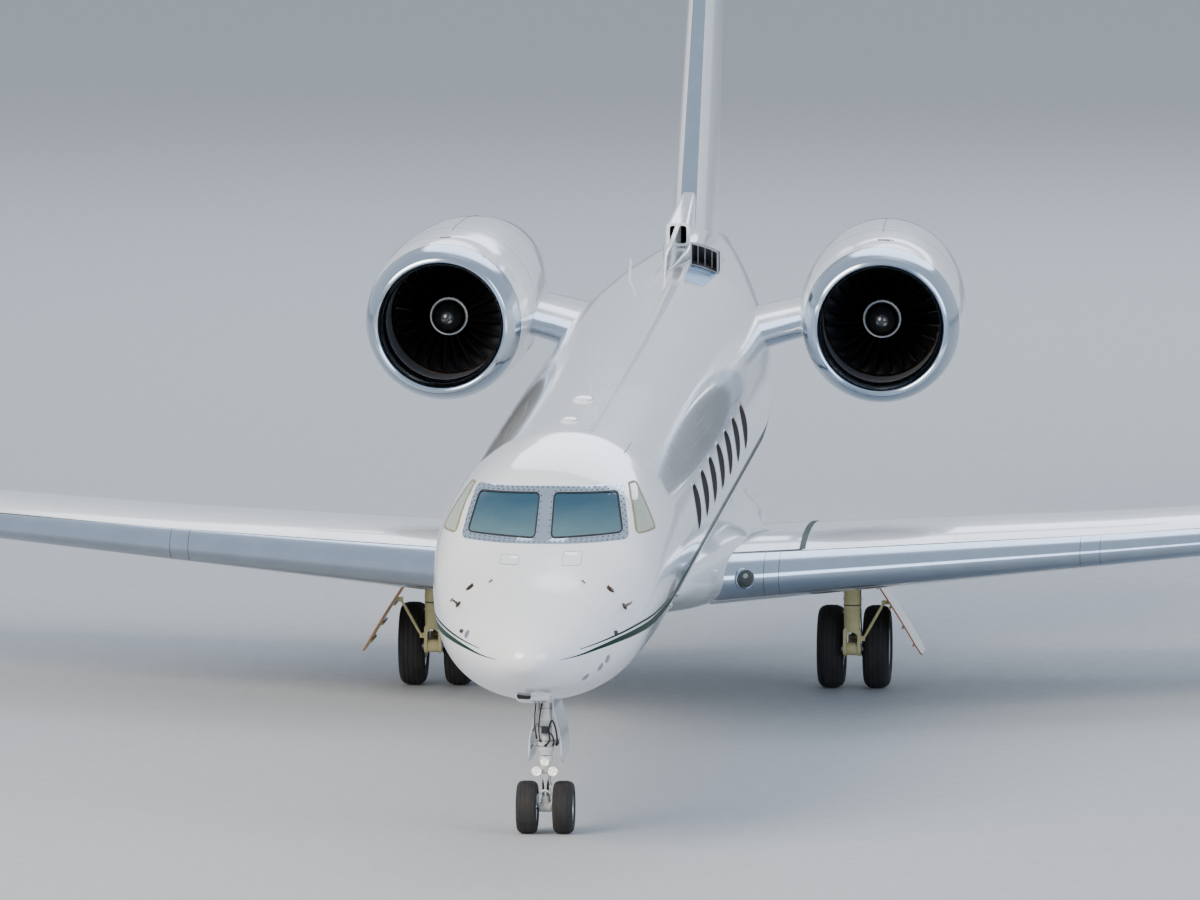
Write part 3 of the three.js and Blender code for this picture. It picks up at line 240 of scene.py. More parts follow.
def grid(points: Array, wrap_rows: bool = False, wrap_columns: bool = False) -> Shape:
    """A surface through a grid of points.

    Args:
        points: places in an array of rows, columns and x, y, z.
        wrap_rows: joins the last row to the first.
        wrap_columns: joins the last column to the first.

    Returns:
        One quad for each cell of the grid.
    """
    rows, columns = points.shape[:2]
    r = np.arange(rows if wrap_rows else rows - 1)[:, None]
    c = np.arange(columns if wrap_columns else columns - 1)
    here, beyond = r * columns, (r + 1) % rows * columns
    after = (c + 1) % columns
    faces = joined(here + c, here + after, beyond + after, beyond + c)
    return Shape(points.reshape(-1, 3), faces.reshape(-1, 4))


def loft(rings: Array, start: Array | None = None, end: Array | None = None) -> Shape:
    """A closed solid through rings of points, with each end closed by a fan round its middle.

    Args:
        rings: places in an array of rings, points round a ring and x, y, z.
        start: the first fan's middle, or None for the ring's mean.
        end: the last fan's middle, or None for the ring's mean.

    Returns:
        The solid, facing out.
    """
    side = grid(rings, wrap_columns=True)
    count = rings.shape[1]
    i = np.arange(count)
    total = len(side.points)
    last = total - count
    middles = [rings[0].mean(0) if start is None else start, rings[-1].mean(0) if end is None else end]
    first_fan = joined(i, (i + 1) % count, np.full(count, total), np.full(count, total))
    last_fan = joined(last + (i + 1) % count, last + i, *2 * [np.full(count, total + 1)])
    faces = np.concatenate([reversed_faces(side.faces), first_fan, last_fan])
    return Shape(np.concatenate([side.points, middles]), faces).outward()


def lathe(profile: Sequence[Sequence[float]], segments: int = 64) -> Shape:
    """A profile turned about the Y axis: x = radius sin(turn), y = along, z = radius cos(turn).

    Args:
        profile: pairs of the distance along the axis and the radius. Where both ends lie on the axis the solid is
            closed by fans, and otherwise the profile is a closed outline and makes a ring.
        segments: number of steps round the turn.

    Returns:
        The turned solid, facing out.
    """
    rows = np.asarray(profile, float)
    turn = around(segments)
    off_axis = rows[rows[:, 1] > 0]
    along, radius = off_axis[:, :1], off_axis[:, 1:]
    rings = joined(radius * np.sin(turn), along, radius * np.cos(turn))
    if len(off_axis) == len(rows):
        return grid(rings, wrap_rows=True, wrap_columns=True).outward()
    return loft(rings, np.array([0, rows[0, 0], 0]), np.array([0, rows[-1, 0], 0]))


ALONG_X = Matrix.Rotation(-math.pi / 2, 4, "Z")
ALONG_Z = Matrix.Rotation(math.pi / 2, 4, "X")
UPSIDE_DOWN = Matrix.Diagonal((1, 1, -1, 1))


def rod(start: float, end: float, radius: float, sides: int) -> Shape:
    """A plain rod along the Y axis."""
    return lathe([(start, 0), (start, radius), (end, radius), (end, 0)], sides)


def band(start: float, end: float, inner: float, outer: float, sides: int) -> Shape:
    """A plain ring round the Y axis."""
    return lathe([(start, inner), (start, outer), (end, outer), (end, inner)], sides)


def spool(half: float, radius: float, shoulder: float, wide: float, sides: int) -> Shape:
    """A rod round the Y axis whose radius changes at a shoulder near each end."""
    return lathe([(-half, 0), (-half, radius), (-shoulder, wide), (shoulder, wide), (half, radius), (half, 0)], sides)


def tube(path: Sequence, radius: float | Array, sides: int = 16) -> Shape:
    """A round bar carried along a path: each point has a circle across the path's tangent there.

    Args:
        path: the points of the centre line.
        radius: one radius, or one for each point.
        sides: number of sides of the circle.

    Returns:
        The closed bar.
    """
    line = np.asarray(path, float)
    tangent = np.gradient(line, axis=0)
    tangent /= np.linalg.norm(tangent, axis=1, keepdims=True)
    across = np.cross(tangent, np.eye(3)[np.argmin(np.abs(tangent).max(0))])
    across /= np.linalg.norm(across, axis=1, keepdims=True)
    other = np.cross(tangent, across)
    turn = around(sides)[:, None]
    size = np.broadcast_to(radius, len(line))[:, None, None]
    rings = line[:, None] + size * (np.cos(turn) * across[:, None] + np.sin(turn) * other[:, None])
    return loft(rings, line[0], line[-1])


def cubic(t: Array, a: Array, b: Array, u: Array, v: Array) -> Array:
    """The cubic from a to b whose slopes there are u and v: each of the four is weighted by its own cubic in t."""
    return (2 * t**3 - 3 * t**2 + 1) * a + (t**3 - 2 * t**2 + t) * u + (3 * t**2 - 2 * t**3) * b + (t**3 - t**2) * v


def bend(points: Sequence, steps: int = 24) -> Array:
    """A smooth path through a few points: between two of them the cubic whose slope at a point is half the way from
    the point before it to the point after it.

    Args:
        points: the points in order.
        steps: number of steps for each stretch or corner.

    Returns:
        The path's points.
    """
    p = np.asarray(points, float)
    slope = np.gradient(p, axis=0)
    t = np.linspace(0, 1, steps, endpoint=False)[None, :, None]
    curve = cubic(t, p[:-1, None], p[1:, None], slope[:-1, None], slope[1:, None])
    return np.concatenate([curve.reshape(-1, 3), p[-1:]])


def sheet_between(outer: Array, inner: Array) -> Shape:
    """A closed sheet between two grids of one shape: each ring runs out along the one and back along the other."""
    return loft(np.concatenate([outer, inner[:, ::-1]], 1))


def prism(outline: Sequence, axis: int, low: float, high: float) -> Shape:
    """A flat outline carried along one axis between two values; its own two columns are the other axes in order."""
    return loft(np.array([np.insert(np.asarray(outline, float), axis, value, axis=1) for value in (low, high)]))


def block(low: Sequence[float], high: Sequence[float], edge: float = 0.0) -> Shape:
    """A block between two corners, with its four edges along the longest side rounded by a radius.

    Args:
        low: one corner.
        high: the corner opposite.
        edge: the radius of its long edges, or nought.

    Returns:
        The closed block.
    """
    low, high = np.minimum(low, high), np.maximum(low, high)
    axis = int(np.argmax(high - low))
    (u0, v0), (u1, v1) = np.delete(low, axis), np.delete(high, axis)
    outline = [(u0, v0), (u1, v0), (u1, v1), (u0, v1)]
    return prism(rounded(outline, edge) if edge else outline, axis, low[axis], high[axis])


def rounded(outline: Sequence, radius: float, steps: int = 6) -> Array:
    """An outline with rounded corners: each corner becomes the curve a(1-t)^2 + 2pt(1-t) + bt^2, where a and b lie at
    the radius' distance from the corner p along its two edges.

    Args:
        outline: the outline's points in order.
        radius: how far from a corner its curve starts.
        steps: number of steps for each stretch or corner.

    Returns:
        The rounded outline's points.
    """
    corners = np.asarray(outline, float)
    before, after = np.roll(corners, 1, 0) - corners, np.roll(corners, -1, 0) - corners
    a = corners + before / np.linalg.norm(before, axis=1, keepdims=True) * radius
    b = corners + after / np.linalg.norm(after, axis=1, keepdims=True) * radius
    t = np.linspace(0, 1, steps)[None, :, None]
    curve = a[:, None] * (1 - t) ** 2 + 2 * corners[:, None] * t * (1 - t) + b[:, None] * t**2
    return curve.reshape(-1, 2)


def grown(outline: Array, by: float) -> Array:
    """An outline moved outwards by a distance along its corners' normals.

    Args:
        outline: the outline's points in order.
        by: how far it moves out.

    Returns:
        The grown outline's points.
    """
    along = np.roll(outline, -1, 0) - np.roll(outline, 1, 0)
    normal = joined(along[:, 1], -along[:, 0]) / np.linalg.norm(along, axis=1, keepdims=True)
    inward = ((outline - outline.mean(0)) * normal).sum() < 0
    return outline + (-by if inward else by) * normal


def squarish(half: Array, top: Array, bottom: Array, power: float, count: int = 96) -> tuple[Array, Array]:
    """Across and up of superellipses: half |cos|^p and the middle + reach |sin|^p, each with its sign.

    Args:
        half: half width of each ring.
        top: top of each ring.
        bottom: bottom of each ring.
        power: the exponent p.
        count: points round a ring.

    Returns:
        Across and up, one row for each ring.
    """
    turn = half_steps(count)
    c, s = np.cos(turn), np.sin(turn)
    half, top, bottom = (np.asarray(v, float)[:, None] for v in (half, top, bottom))
    across = signed(c, power) * half
    return across, (top + bottom) / 2 + signed(s, power) * (top - bottom) / 2


def smooth(table: Array, column: int, at: Array) -> Array:
    """A column's smooth value: the cubic through the rows whose slope at a row is the harmonic mean of the slopes on
    its two sides, or nought at a crest.

    Args:
        table: rows whose first column rises.
        column: the column that is read.
        at: values of the first column.

    Returns:
        The column's values.
    """
    x, y = table[:, 0], table[:, column]
    rise = np.diff(y) / np.diff(x)
    product = rise[:-1] * rise[1:]
    total = rise[:-1] + rise[1:]
    inner = np.where(product > 0, 2 * product / np.where(total == 0, 1, total), 0)
    slope = np.concatenate([rise[:1], inner, rise[-1:]])
    i = np.clip(np.searchsorted(x, at, side="right") - 1, 0, len(x) - 2)
    span = x[i + 1] - x[i]
    t = np.clip((at - x[i]) / span, 0, 1)
    return cubic(t, y[i], y[i + 1], span * slope[i], span * slope[i + 1])


def to_object(name: str, shape: Shape) -> Object:
    """Puts a shape's arrays into a new mesh object at the origin.

    Args:
        name: the object's name.
        shape: the shape.

    Returns:
        The new object.
    """
    mesh = bpy.data.meshes.new(name)
    kept = np.ones(shape.faces.shape, bool)
    kept[:, 3] = shape.faces[:, 2] != shape.faces[:, 3]
    corners = shape.faces[kept]
    starts = np.concatenate([[0], np.cumsum(kept.sum(1))[:-1]])
    mesh.vertices.add(len(shape.points))
    mesh.vertices.foreach_set("co", shape.points.astype(np.float32).ravel())
    mesh.loops.add(len(corners))
    mesh.loops.foreach_set("vertex_index", corners.astype(np.int32))
    mesh.polygons.add(len(starts))
    mesh.polygons.foreach_set("loop_start", starts.astype(np.int32))
    mesh.update(calc_edges=True)
    made = bpy.data.objects.new(name, mesh)
    bpy.context.scene.collection.objects.link(made)
    return made


def carve(target: Object, cutter: Shape, how: Carve = Carve.REMOVE) -> Object:
    """Cuts, keeps or adds what a closed cutter shape covers of a closed mesh.

    Args:
        target: the object whose mesh changes.
        cutter: the closed shape.
        how: what happens to the part they share.

    Returns:
        The target.
    """
    tool = to_object("cutter", cutter)
    modifier = target.modifiers.new("carve", "BOOLEAN")
    modifier.operation = how.value
    modifier.solver = "MANIFOLD"
    modifier.object = tool
    depsgraph = bpy.context.evaluated_depsgraph_get()
    carved = bpy.data.meshes.new_from_object(target.evaluated_get(depsgraph))
    old, target.data = target.data, carved
    target.modifiers.clear()
    bpy.data.meshes.remove(old)
    bpy.data.objects.remove(tool)
    return target


def taken(made: Object) -> Shape:
    """An object's mesh as a shape of triangles, with the object removed.

    Args:
        made: the object.

    Returns:
        The shape.
    """
    mesh = made.data
    mesh.calc_loop_triangles()
    points = np.empty(len(mesh.vertices) * 3)
    corners = np.empty(len(mesh.loop_triangles) * 3, np.int32)
    mesh.vertices.foreach_get("co", points)
    mesh.loop_triangles.foreach_get("vertices", corners)
    bpy.data.objects.remove(made)
    return Shape(points.reshape(-1, 3), corners.reshape(-1, 3)[:, [0, 1, 2, 2]])


def face_middles(made: Object) -> Array:
    """The middles of an object's faces.

    Args:
        made: the object.

    Returns:
        One row for each face.
    """
    middles = np.empty(len(made.data.polygons) * 3, np.float32)
    made.data.polygons.foreach_get("center", middles)
    return middles.reshape(-1, 3)


def mirror_object(made: Object, side: Side) -> None:
    """Carries an object's mesh to the right side where that is asked, with its faces turned round.

    Args:
        made: the object.
        side: the side of the jet.
    """
    if side is Side.RIGHT:
        made.data.transform(Matrix.Diagonal((-1, 1, 1, 1)))
        made.data.flip_normals()


# Small hardware, each set on the origin with z as its outward direction

def dome(radius: float, height: float, sides: int = 10) -> Shape:
    """A rivet or button head: rings whose radius is r cos(a) and whose height is h sin(a), from edge to top.

    Args:
        radius: the radius.
        height: how high it stands.
        sides: number of sides.

    Returns:
        The head, facing out.
    """
    rise = np.linspace(0, 0.45 * math.pi, 4)
    profile = [(-0.2 * height, 0), (-0.2 * height, radius), *zip(height * np.sin(rise), radius * np.cos(rise)),
               (height, 0)]
    return lathe(profile, sides).along_z()


def bolt(radius: float, height: float) -> Shape:
    """A hexagon bolt head with a washer under it.

    Args:
        radius: the radius.
        height: how high it stands.

    Returns:
        The head and its washer.
    """
    washer = rod(0, 0.25 * height, 1.3 * radius, 16)
    head = lathe([(0, 0), (0, radius), (0.9 * height, radius), (height, 0.85 * radius), (height, 0)], 6)
    return together(washer, head).along_z()


# Finishes

def linear(code: str, alpha: float = 1.0) -> tuple[float, float, float, float]:
    """An sRGB hex colour as linear light: c / 12.92 up to 0.04045, and ((c + 0.055) / 1.055) ^ 2.4 above it.

    Args:
        code: the colour as # and six digits.
        alpha: the fourth channel.

    Returns:
        Red, green, blue and alpha.
    """
    parts = [int(code[i : i + 2], 16) / 255 for i in (1, 3, 5)]
    red, green, blue = (c / 12.92 if c <= 0.04045 else ((c + 0.055) / 1.055) ** 2.4 for c in parts)
    return red, green, blue, alpha


def feed(tree: Tree, node: Node, inputs: dict) -> None:
    """Sets a node's inputs.

    Args:
        tree: the nodes that it is one of.
        node: the node.
        inputs: a value for each named or numbered input, or the output that links to it.
    """
    for key, value in inputs.items():
        if isinstance(value, Socket):
            tree.links.new(value, node.inputs[key])
        else:
            node.inputs[key].default_value = value


def add_node(tree: Tree, kind: str, inputs: dict | None = None, **settings) -> Node:
    """Adds a node to a tree.

    Args:
        tree: the material's or the world's nodes.
        kind: the node's type without its first word Shader.
        inputs: a value for each named or numbered input, or the output that links to it.
        settings: the node's own properties.

    Returns:
        The new node.
    """
    made = tree.nodes.new("ShaderNode" + kind)
    for key, value in settings.items():
        setattr(made, key, value)
    feed(tree, made, inputs or {})
    return made


def scaled(code: str, by: float) -> tuple[float, float, float, float]:
    """A hex colour's linear light times a number, up to full."""
    red, green, blue = (min(1.0, by * c) for c in linear(code)[:3])
    return red, green, blue, 1.0


@dataclass(frozen=True)
class Finish:
    """A surface finish, built once as a material of its own name."""

    name: str
    colour: str
    roughness: float
    metallic: float = 0.0

    def material(self) -> bpy.types.Material:
        """The finish's material, built on the first call.

        Returns:
            The material.
        """
        found = bpy.data.materials.get(self.name)
        if found:
            return found
        made = bpy.data.materials.new(self.name)
        made.use_nodes = True
        made.diffuse_color = linear(self.colour)
        tree = made.node_tree
        tree.nodes.clear()
        place = add_node(tree, "TexCoord").outputs["Object"]
        shader = add_node(tree, "BsdfPrincipled", {
            "Base Color": linear(self.colour), "Roughness": self.roughness, "Metallic": self.metallic,
        })
        self.dress(tree, place, shader)
        add_node(tree, "OutputMaterial", {"Surface": shader.outputs[0]})
        return made

    def dress(self, tree: Tree, place: Socket, shader: Node) -> None:
        """Adds what is particular to the finish: patterns worked out from a place in metres, that feed the shader."""


@dataclass(frozen=True)
class GlossEnamel(Finish):
    """Polyurethane enamel sprayed on riveted sheet, baked and waxed: a clear glossy coat over faint orange peel, soft
    quilting between the frames under it, thin dark lines where two sheets meet, and dirt drawn out along the airflow.
    """

    coat: float = 1.0
    dirt: float = 0.10
    seams: tuple = ()
    frames: float = 0.0
    level: float = 0.5

    def dress(self, tree: Tree, place: Socket, shader: Node) -> None:
        """Dirt is noise stretched along the flow. A seam is where an axis' value, folded up and down over half the
        panel's pitch, is under half the line's width: 6 mm wide, drawn twice as wide as real so that it shows. The
        orange peel is 25 mm across where the real one is 3 mm, for the same reason.

        Args:
            tree: the material's nodes.
            place: the place on the object, in metres.
            shader: the node that the patterns feed.
        """
        flow = add_node(tree, "Mapping", {"Vector": place, "Scale": (2.2, 0.35, 2.2)}).outputs[0]
        streaks = add_node(tree, "TexNoise", {"Vector": flow, "Scale": 1.1, "Detail": 6.0, "Roughness": 0.6})
        amount = add_node(tree, "MapRange", {0: streaks.outputs[0], 1: 0.42, 2: 0.75, 3: 0.0, 4: self.dirt}).outputs[0]
        parts = add_node(tree, "SeparateXYZ", {0: place}).outputs
        line = None
        for axis, first, pitch in self.seams:
            moved = add_node(tree, "Math", {0: parts[axis], 1: first}, operation="SUBTRACT").outputs[0]
            fold = add_node(tree, "Math", {0: moved, 1: pitch / 2}, operation="PINGPONG").outputs[0]
            one = add_node(tree, "MapRange", {0: fold, 1: 2 * MM, 2: 4 * MM, 3: 1.0, 4: 0.0}).outputs[0]
            line = one if line is None else add_node(tree, "Math", {0: line, 1: one}, operation="MAXIMUM").outputs[0]
        clean = linear(self.colour)
        grimy = scaled(self.colour, 0.5)
        if line is not None:
            share = add_node(tree, "Math", {0: line, 1: 0.42}, operation="MULTIPLY").outputs[0]
            amount = add_node(tree, "Math", {0: amount, 1: share}, operation="ADD", use_clamp=True).outputs[0]
        tint = add_node(tree, "Mix", {"Factor": amount, "A": clean, "B": grimy}, data_type="RGBA").outputs[2]
        shade = add_node(tree, "MapRange", {
            0: streaks.outputs[0], 1: 0.3, 2: 0.8, 3: self.roughness, 4: self.roughness + 0.12,
        }).outputs[0]
        peel = add_node(tree, "TexNoise", {"Vector": place, "Scale": 40.0, "Detail": 2.0}).outputs[0]
        bump = add_node(tree, "Bump", {"Height": peel, "Distance": 0.15 * MM, "Strength": 0.12}).outputs[0]
        if self.frames:
            wave = add_node(tree, "Math", {0: parts[1], 1: 2 * math.pi / self.frames}, operation="MULTIPLY").outputs[0]
            swell = add_node(tree, "Math", {0: wave}, operation="SINE").outputs[0]
            bump = add_node(tree, "Bump", {
                "Height": swell, "Distance": 0.5 * MM, "Strength": 0.5, "Normal": bump,
            }).outputs[0]
        feed(tree, shader, {
            "Base Color": tint, "Roughness": shade, "Normal": bump, "Specular IOR Level": self.level,
            "Coat Weight": self.coat, "Coat Roughness": 0.07,
        })


@dataclass(frozen=True)
class BareMetal(Finish):
    """Bare metal, polished, satin or machined: bright, with fine scratches along one way and clouded patches."""

    metallic: float = 1.0
    grain: float = 4 * MM
    stretch: tuple = (1.0, 0.06, 1.0)
    heat: str = ""

    def dress(self, tree: Tree, place: Socket, shader: Node) -> None:
        """Scratches are noise drawn out along the work, 4 mm wide where real ones are finer, so that they show.
        Clouding is coarse noise in the roughness, and heat colour is the same noise between two tints.

        Args:
            tree: the material's nodes.
            place: the place on the object, in metres.
            shader: the node that the patterns feed.
        """
        drawn = add_node(tree, "Mapping", {"Vector": place, "Scale": self.stretch}).outputs[0]
        scratches = add_node(tree, "TexNoise", {"Vector": drawn, "Scale": 1 / self.grain, "Detail": 3.0}).outputs[0]
        clouds = add_node(tree, "TexNoise", {"Vector": place, "Scale": 3.5, "Detail": 5.0}).outputs[0]
        both = add_node(tree, "Math", {0: scratches, 1: clouds}, operation="ADD").outputs[0]
        shade = add_node(tree, "MapRange", {
            0: both, 1: 0.6, 2: 1.4, 3: 0.8 * self.roughness, 4: min(1.0, 1.3 * self.roughness),
        }).outputs[0]
        other = linear(self.heat) if self.heat else scaled(self.colour, 0.93)
        share = add_node(tree, "MapRange", {0: clouds, 1: 0.35, 2: 0.65, 3: 0.0, 4: 1.0}).outputs[0]
        tint = add_node(tree, "Mix", {
            "Factor": share, "A": linear(self.colour), "B": other,
        }, data_type="RGBA").outputs[2]
        bump = add_node(tree, "Bump", {"Height": scratches, "Distance": 0.05 * MM, "Strength": 0.15}).outputs[0]
        feed(tree, shader, {"Base Color": tint, "Roughness": shade, "Normal": bump})


@dataclass(frozen=True)
class Worn(Finish):
    """A painted, moulded or cast surface handled in service: its colour and gloss wander together, with fine grit."""

    grit: float = 3 * MM
    contrast: float = 0.35
    patch: float = 160 * MM
    stain: str = ""
    depth: float = 0.2 * MM

    def dress(self, tree: Tree, place: Socket, shader: Node) -> None:
        """Colour and roughness follow one cloudy noise whose patches have the patch size, and grit is a fine bump.

        Args:
            tree: the material's nodes.
            place: the place on the object, in metres.
            shader: the node that the patterns feed.
        """
        clouds = add_node(tree, "TexNoise", {
            "Vector": place, "Scale": 1 / self.patch, "Detail": 7.0, "Roughness": 0.65,
        }).outputs[0]
        fine = add_node(tree, "TexNoise", {"Vector": place, "Scale": 1 / self.grit, "Detail": 2.0}).outputs[0]
        amount = add_node(tree, "MapRange", {0: clouds, 1: 0.4, 2: 0.75, 3: 0.0, 4: self.contrast}).outputs[0]
        dark = linear(self.stain) if self.stain else scaled(self.colour, 0.4)
        tint = add_node(tree, "Mix", {
            "Factor": amount, "A": linear(self.colour), "B": dark,
        }, data_type="RGBA").outputs[2]
        shade = add_node(tree, "MapRange", {
            0: clouds, 1: 0.3, 2: 0.7, 3: 0.8 * self.roughness, 4: min(1.0, 1.3 * self.roughness),
        }).outputs[0]
        bump = add_node(tree, "Bump", {"Height": fine, "Distance": self.depth, "Strength": 0.3}).outputs[0]
        feed(tree, shader, {"Base Color": tint, "Roughness": shade, "Normal": bump})


@dataclass(frozen=True)
class Glazing(Finish):
    """Laminated glass with painted light in its tint: it shows what is behind it, a little darkened, under a hard
    gloss.
    """

    through: float = 0.8
    # glow: a lighter tint painted low on the pane, painted light.
    glow: str = ""

    def dress(self, tree: Tree, place: Socket, shader: Node) -> None:
        """The pane has slow ripples from its forming, and painted light in its tint: the glow colour low down, drifting
        to its own colour near the top of the pane.

        Args:
            tree: the material's nodes.
            place: the place on the object, in metres.
            shader: the node that the patterns feed.
        """
        ripple = add_node(tree, "TexNoise", {"Vector": place, "Scale": 4.0, "Detail": 2.0}).outputs[0]
        bump = add_node(tree, "Bump", {"Height": ripple, "Distance": 1 * MM, "Strength": 0.08}).outputs[0]
        up = add_node(tree, "SeparateXYZ", {0: place}).outputs[2]
        moved = add_node(tree, "Math", {0: ripple, 1: 0.12, 2: up}, operation="MULTIPLY_ADD").outputs[0]
        share = add_node(tree, "MapRange", {0: moved, 1: 3.0, 2: 3.3, 3: 1.0, 4: 0.0}).outputs[0]
        tint = add_node(tree, "Mix", {
            "Factor": share, "A": linear(self.colour), "B": linear(self.glow or self.colour),
        }, data_type="RGBA").outputs[2]
        feed(tree, shader, {
            "Base Color": tint, "Normal": bump, "IOR": 1.52, "Transmission Weight": self.through,
            "Coat Weight": 0.6, "Coat Roughness": 0.02,
        })


@dataclass(frozen=True)
class CabinPane(Finish):
    """Dark tinted acrylic over a drawn blind: brown-black low down, with painted light near its top, an amber glow
    painted into its colour.
    """

    top: float = 3.35
    bottom: float = 2.72
    # glow: the amber painted light near the pane's top.
    glow: str = "#8A5A2C"

    def dress(self, tree: Tree, place: Socket, shader: Node) -> None:
        """The painted glow follows the height, blurred by noise so that each pane's painted glow has an edge of its
        own.

        Args:
            tree: the material's nodes.
            place: the place on the object, in metres.
            shader: the node that the patterns feed.
        """
        up = add_node(tree, "SeparateXYZ", {0: place}).outputs[2]
        wander = add_node(tree, "TexNoise", {"Vector": place, "Scale": 3.0, "Detail": 3.0}).outputs[0]
        moved = add_node(tree, "Math", {0: wander, 1: 0.3, 2: up}, operation="MULTIPLY_ADD").outputs[0]
        share = add_node(tree, "MapRange", {
            0: moved, 1: self.bottom + 0.45, 2: self.top + 0.15, 3: 0.0, 4: 1.0,
        }, interpolation_type="SMOOTHSTEP").outputs[0]
        tint = add_node(tree, "Mix", {
            "Factor": share, "A": linear(self.colour), "B": linear(self.glow),
        }, data_type="RGBA").outputs[2]
        bump = add_node(tree, "Bump", {"Height": wander, "Distance": 2 * MM, "Strength": 0.1}).outputs[0]
        feed(tree, shader, {
            "Base Color": tint, "Normal": bump, "Specular IOR Level": 0.0, "Coat Weight": 0.1, "Coat Roughness": 0.05,
        })


@dataclass(frozen=True)
class Lamp(Finish):
    """A lit lamp's reflector behind ribbed glass: bright in the middle of each cell and darker between the ribs."""

    strength: float = 3.0

    def dress(self, tree: Tree, place: Socket, shader: Node) -> None:
        """Cells 18 mm across brighten and dim the light.

        Args:
            tree: the material's nodes.
            place: the place on the object, in metres.
            shader: the node that the patterns feed.
        """
        cells = add_node(tree, "TexVoronoi", {"Vector": place, "Scale": 1 / (18 * MM)}).outputs[0]
        glow = add_node(tree, "MapRange",
                        {0: cells, 1: 0.0, 2: 0.6, 3: self.strength, 4: 0.3 * self.strength}).outputs[0]
        feed(tree, shader, {"Emission Strength": glow, "Emission Color": linear("#FFF6E2")})


@dataclass(frozen=True)
class Leather(Finish):
    """Dyed and drum-grained upholstery leather: soft sheen, a pebbled grain and paler wear where it is sat on."""

    def dress(self, tree: Tree, place: Socket, shader: Node) -> None:
        """The grain is cells 6 mm across, where real ones are 1.5 mm, so that it shows; wear is coarse noise.

        Args:
            tree: the material's nodes.
            place: the place on the object, in metres.
            shader: the node that the patterns feed.
        """
        cells = add_node(tree, "TexVoronoi", {"Vector": place, "Scale": 1 / (6 * MM)}).outputs[0]
        clouds = add_node(tree, "TexNoise", {"Vector": place, "Scale": 5.0, "Detail": 6.0}).outputs[0]
        share = add_node(tree, "MapRange", {0: clouds, 1: 0.45, 2: 0.75, 3: 0.0, 4: 0.6}).outputs[0]
        tint = add_node(tree, "Mix", {
            "Factor": share, "A": linear(self.colour), "B": scaled(self.colour, 1.5),
        }, data_type="RGBA").outputs[2]
        shade = add_node(tree, "MapRange", {0: clouds, 1: 0.3, 2: 0.7, 3: 0.5, 4: 0.7}).outputs[0]
        bump = add_node(tree, "Bump", {"Height": cells, "Distance": 0.5 * MM, "Strength": 0.4}).outputs[0]
        feed(tree, shader, {"Base Color": tint, "Roughness": shade, "Normal": bump, "Sheen Weight": 0.15})


WHITE = GlossEnamel("white_fuselage_enamel", "#EDF0F3", 0.14, seams=((1, -9.045, 2.35),), frames=0.5)
WING_WHITE = GlossEnamel("white_wing_enamel", "#E9EDF1", 0.18, seams=((0, 1.45, 1.9),), dirt=0.16)
COWL_WHITE = GlossEnamel("white_cowl_enamel", "#ECEFF2", 0.14, dirt=0.08)
TRIM_WHITE = GlossEnamel("white_trim_enamel", "#E9EDF0", 0.2, dirt=0.15)
STRIPE_GREEN = GlossEnamel("green_stripe_enamel", "#0A3021", 0.38, coat=0.0, dirt=0.1, level=0.12)
POLISHED = BareMetal("polished_aluminium", "#B3C1D1", 0.14)
FRAME_METAL = BareMetal("satin_window_frame", "#C3D0E0", 0.24)
# RAMP_METAL's blue is a painted sky reflection on the bare ramp.
RAMP_METAL = BareMetal("anodised_scoop_ramp", "#6E93B4", 0.3)
GEAR_WHITE = GlossEnamel("white_gear_enamel", "#E3E4E0", 0.28, coat=0.5, dirt=0.5)
PRIMER = Worn("zinc_chromate_primer", "#CEC491", 0.45, patch=120 * MM, stain="#75683F")
# DOOR_EDGE: an orange colour along the main gear doors' edges.
DOOR_EDGE = Worn("orange_primer_edge", "#C8803F", 0.5)
STEEL = BareMetal("wheel_alloy", "#B4B8BD", 0.34)
DARK_STEEL = BareMetal("brake_steel", "#5B5A5C", 0.42, heat="#6D5A46")
CHROME = BareMetal("ground_chrome", "#E6E8EB", 0.07, stretch=(1, 1, 0.1))
TYRE_RUBBER = Worn("moulded_tyre_rubber", "#1B1B1E", 0.8, grit=6 * MM, contrast=0.5, patch=90 * MM, stain="#4B463E",
                   depth=0.6 * MM)
HOSE_RUBBER = Worn("braided_hose_rubber", "#17181A", 0.6, grit=4 * MM, depth=0.5 * MM)
# The second colour of each pane is painted light: lighter low down, darker near the top.
WINDSCREEN = Glazing("laminated_windscreen_glass", "#155E7C", 0.03, through=0.55, glow="#6F9AA6")
SIDE_GLASS = Glazing("laminated_side_glass", "#BCD2BE", 0.03, through=0.45, glow="#D3DCC8")
# DARK_LENS is clear lamp glass darkened as painted shade of the lamp's inside.
DARK_LENS = Glazing("dark_lamp_glass", "#3B4848", 0.03, through=0.55)
LAMP_GLASS = Glazing("clear_lamp_glass", "#F2F5F6", 0.02, through=0.95)
CABIN_GLASS = CabinPane("tinted_cabin_acrylic", "#1E120E", 0.12)
LAMP = Lamp("lit_reflector", "#FFFFFF", 0.2, metallic=0.6)
GASKET = Worn("black_sealant", "#1B1C1E", 0.6)
SEAL_GOLD = Worn("aged_window_sealant", "#8B8163", 0.55)
# FAN_METAL is titanium darkened as painted shade, for blades deep in the inlet.
FAN_METAL = BareMetal("forged_fan_titanium", "#484A50", 0.32, stretch=(1, 1, 1))
SPINNER_BLACK = GlossEnamel("black_spinner_enamel", "#0C0D0F", 0.2, coat=0.8)
# PALE_RING: a pale ring round the spinner's edge.
PALE_RING = Worn("spinner_ring_paint", "#C9CFD6", 0.35)
DUCT_LINER = Worn("perforated_duct_liner", "#4D5158", 0.42, grit=12 * MM, contrast=0.2, depth=0.6 * MM)
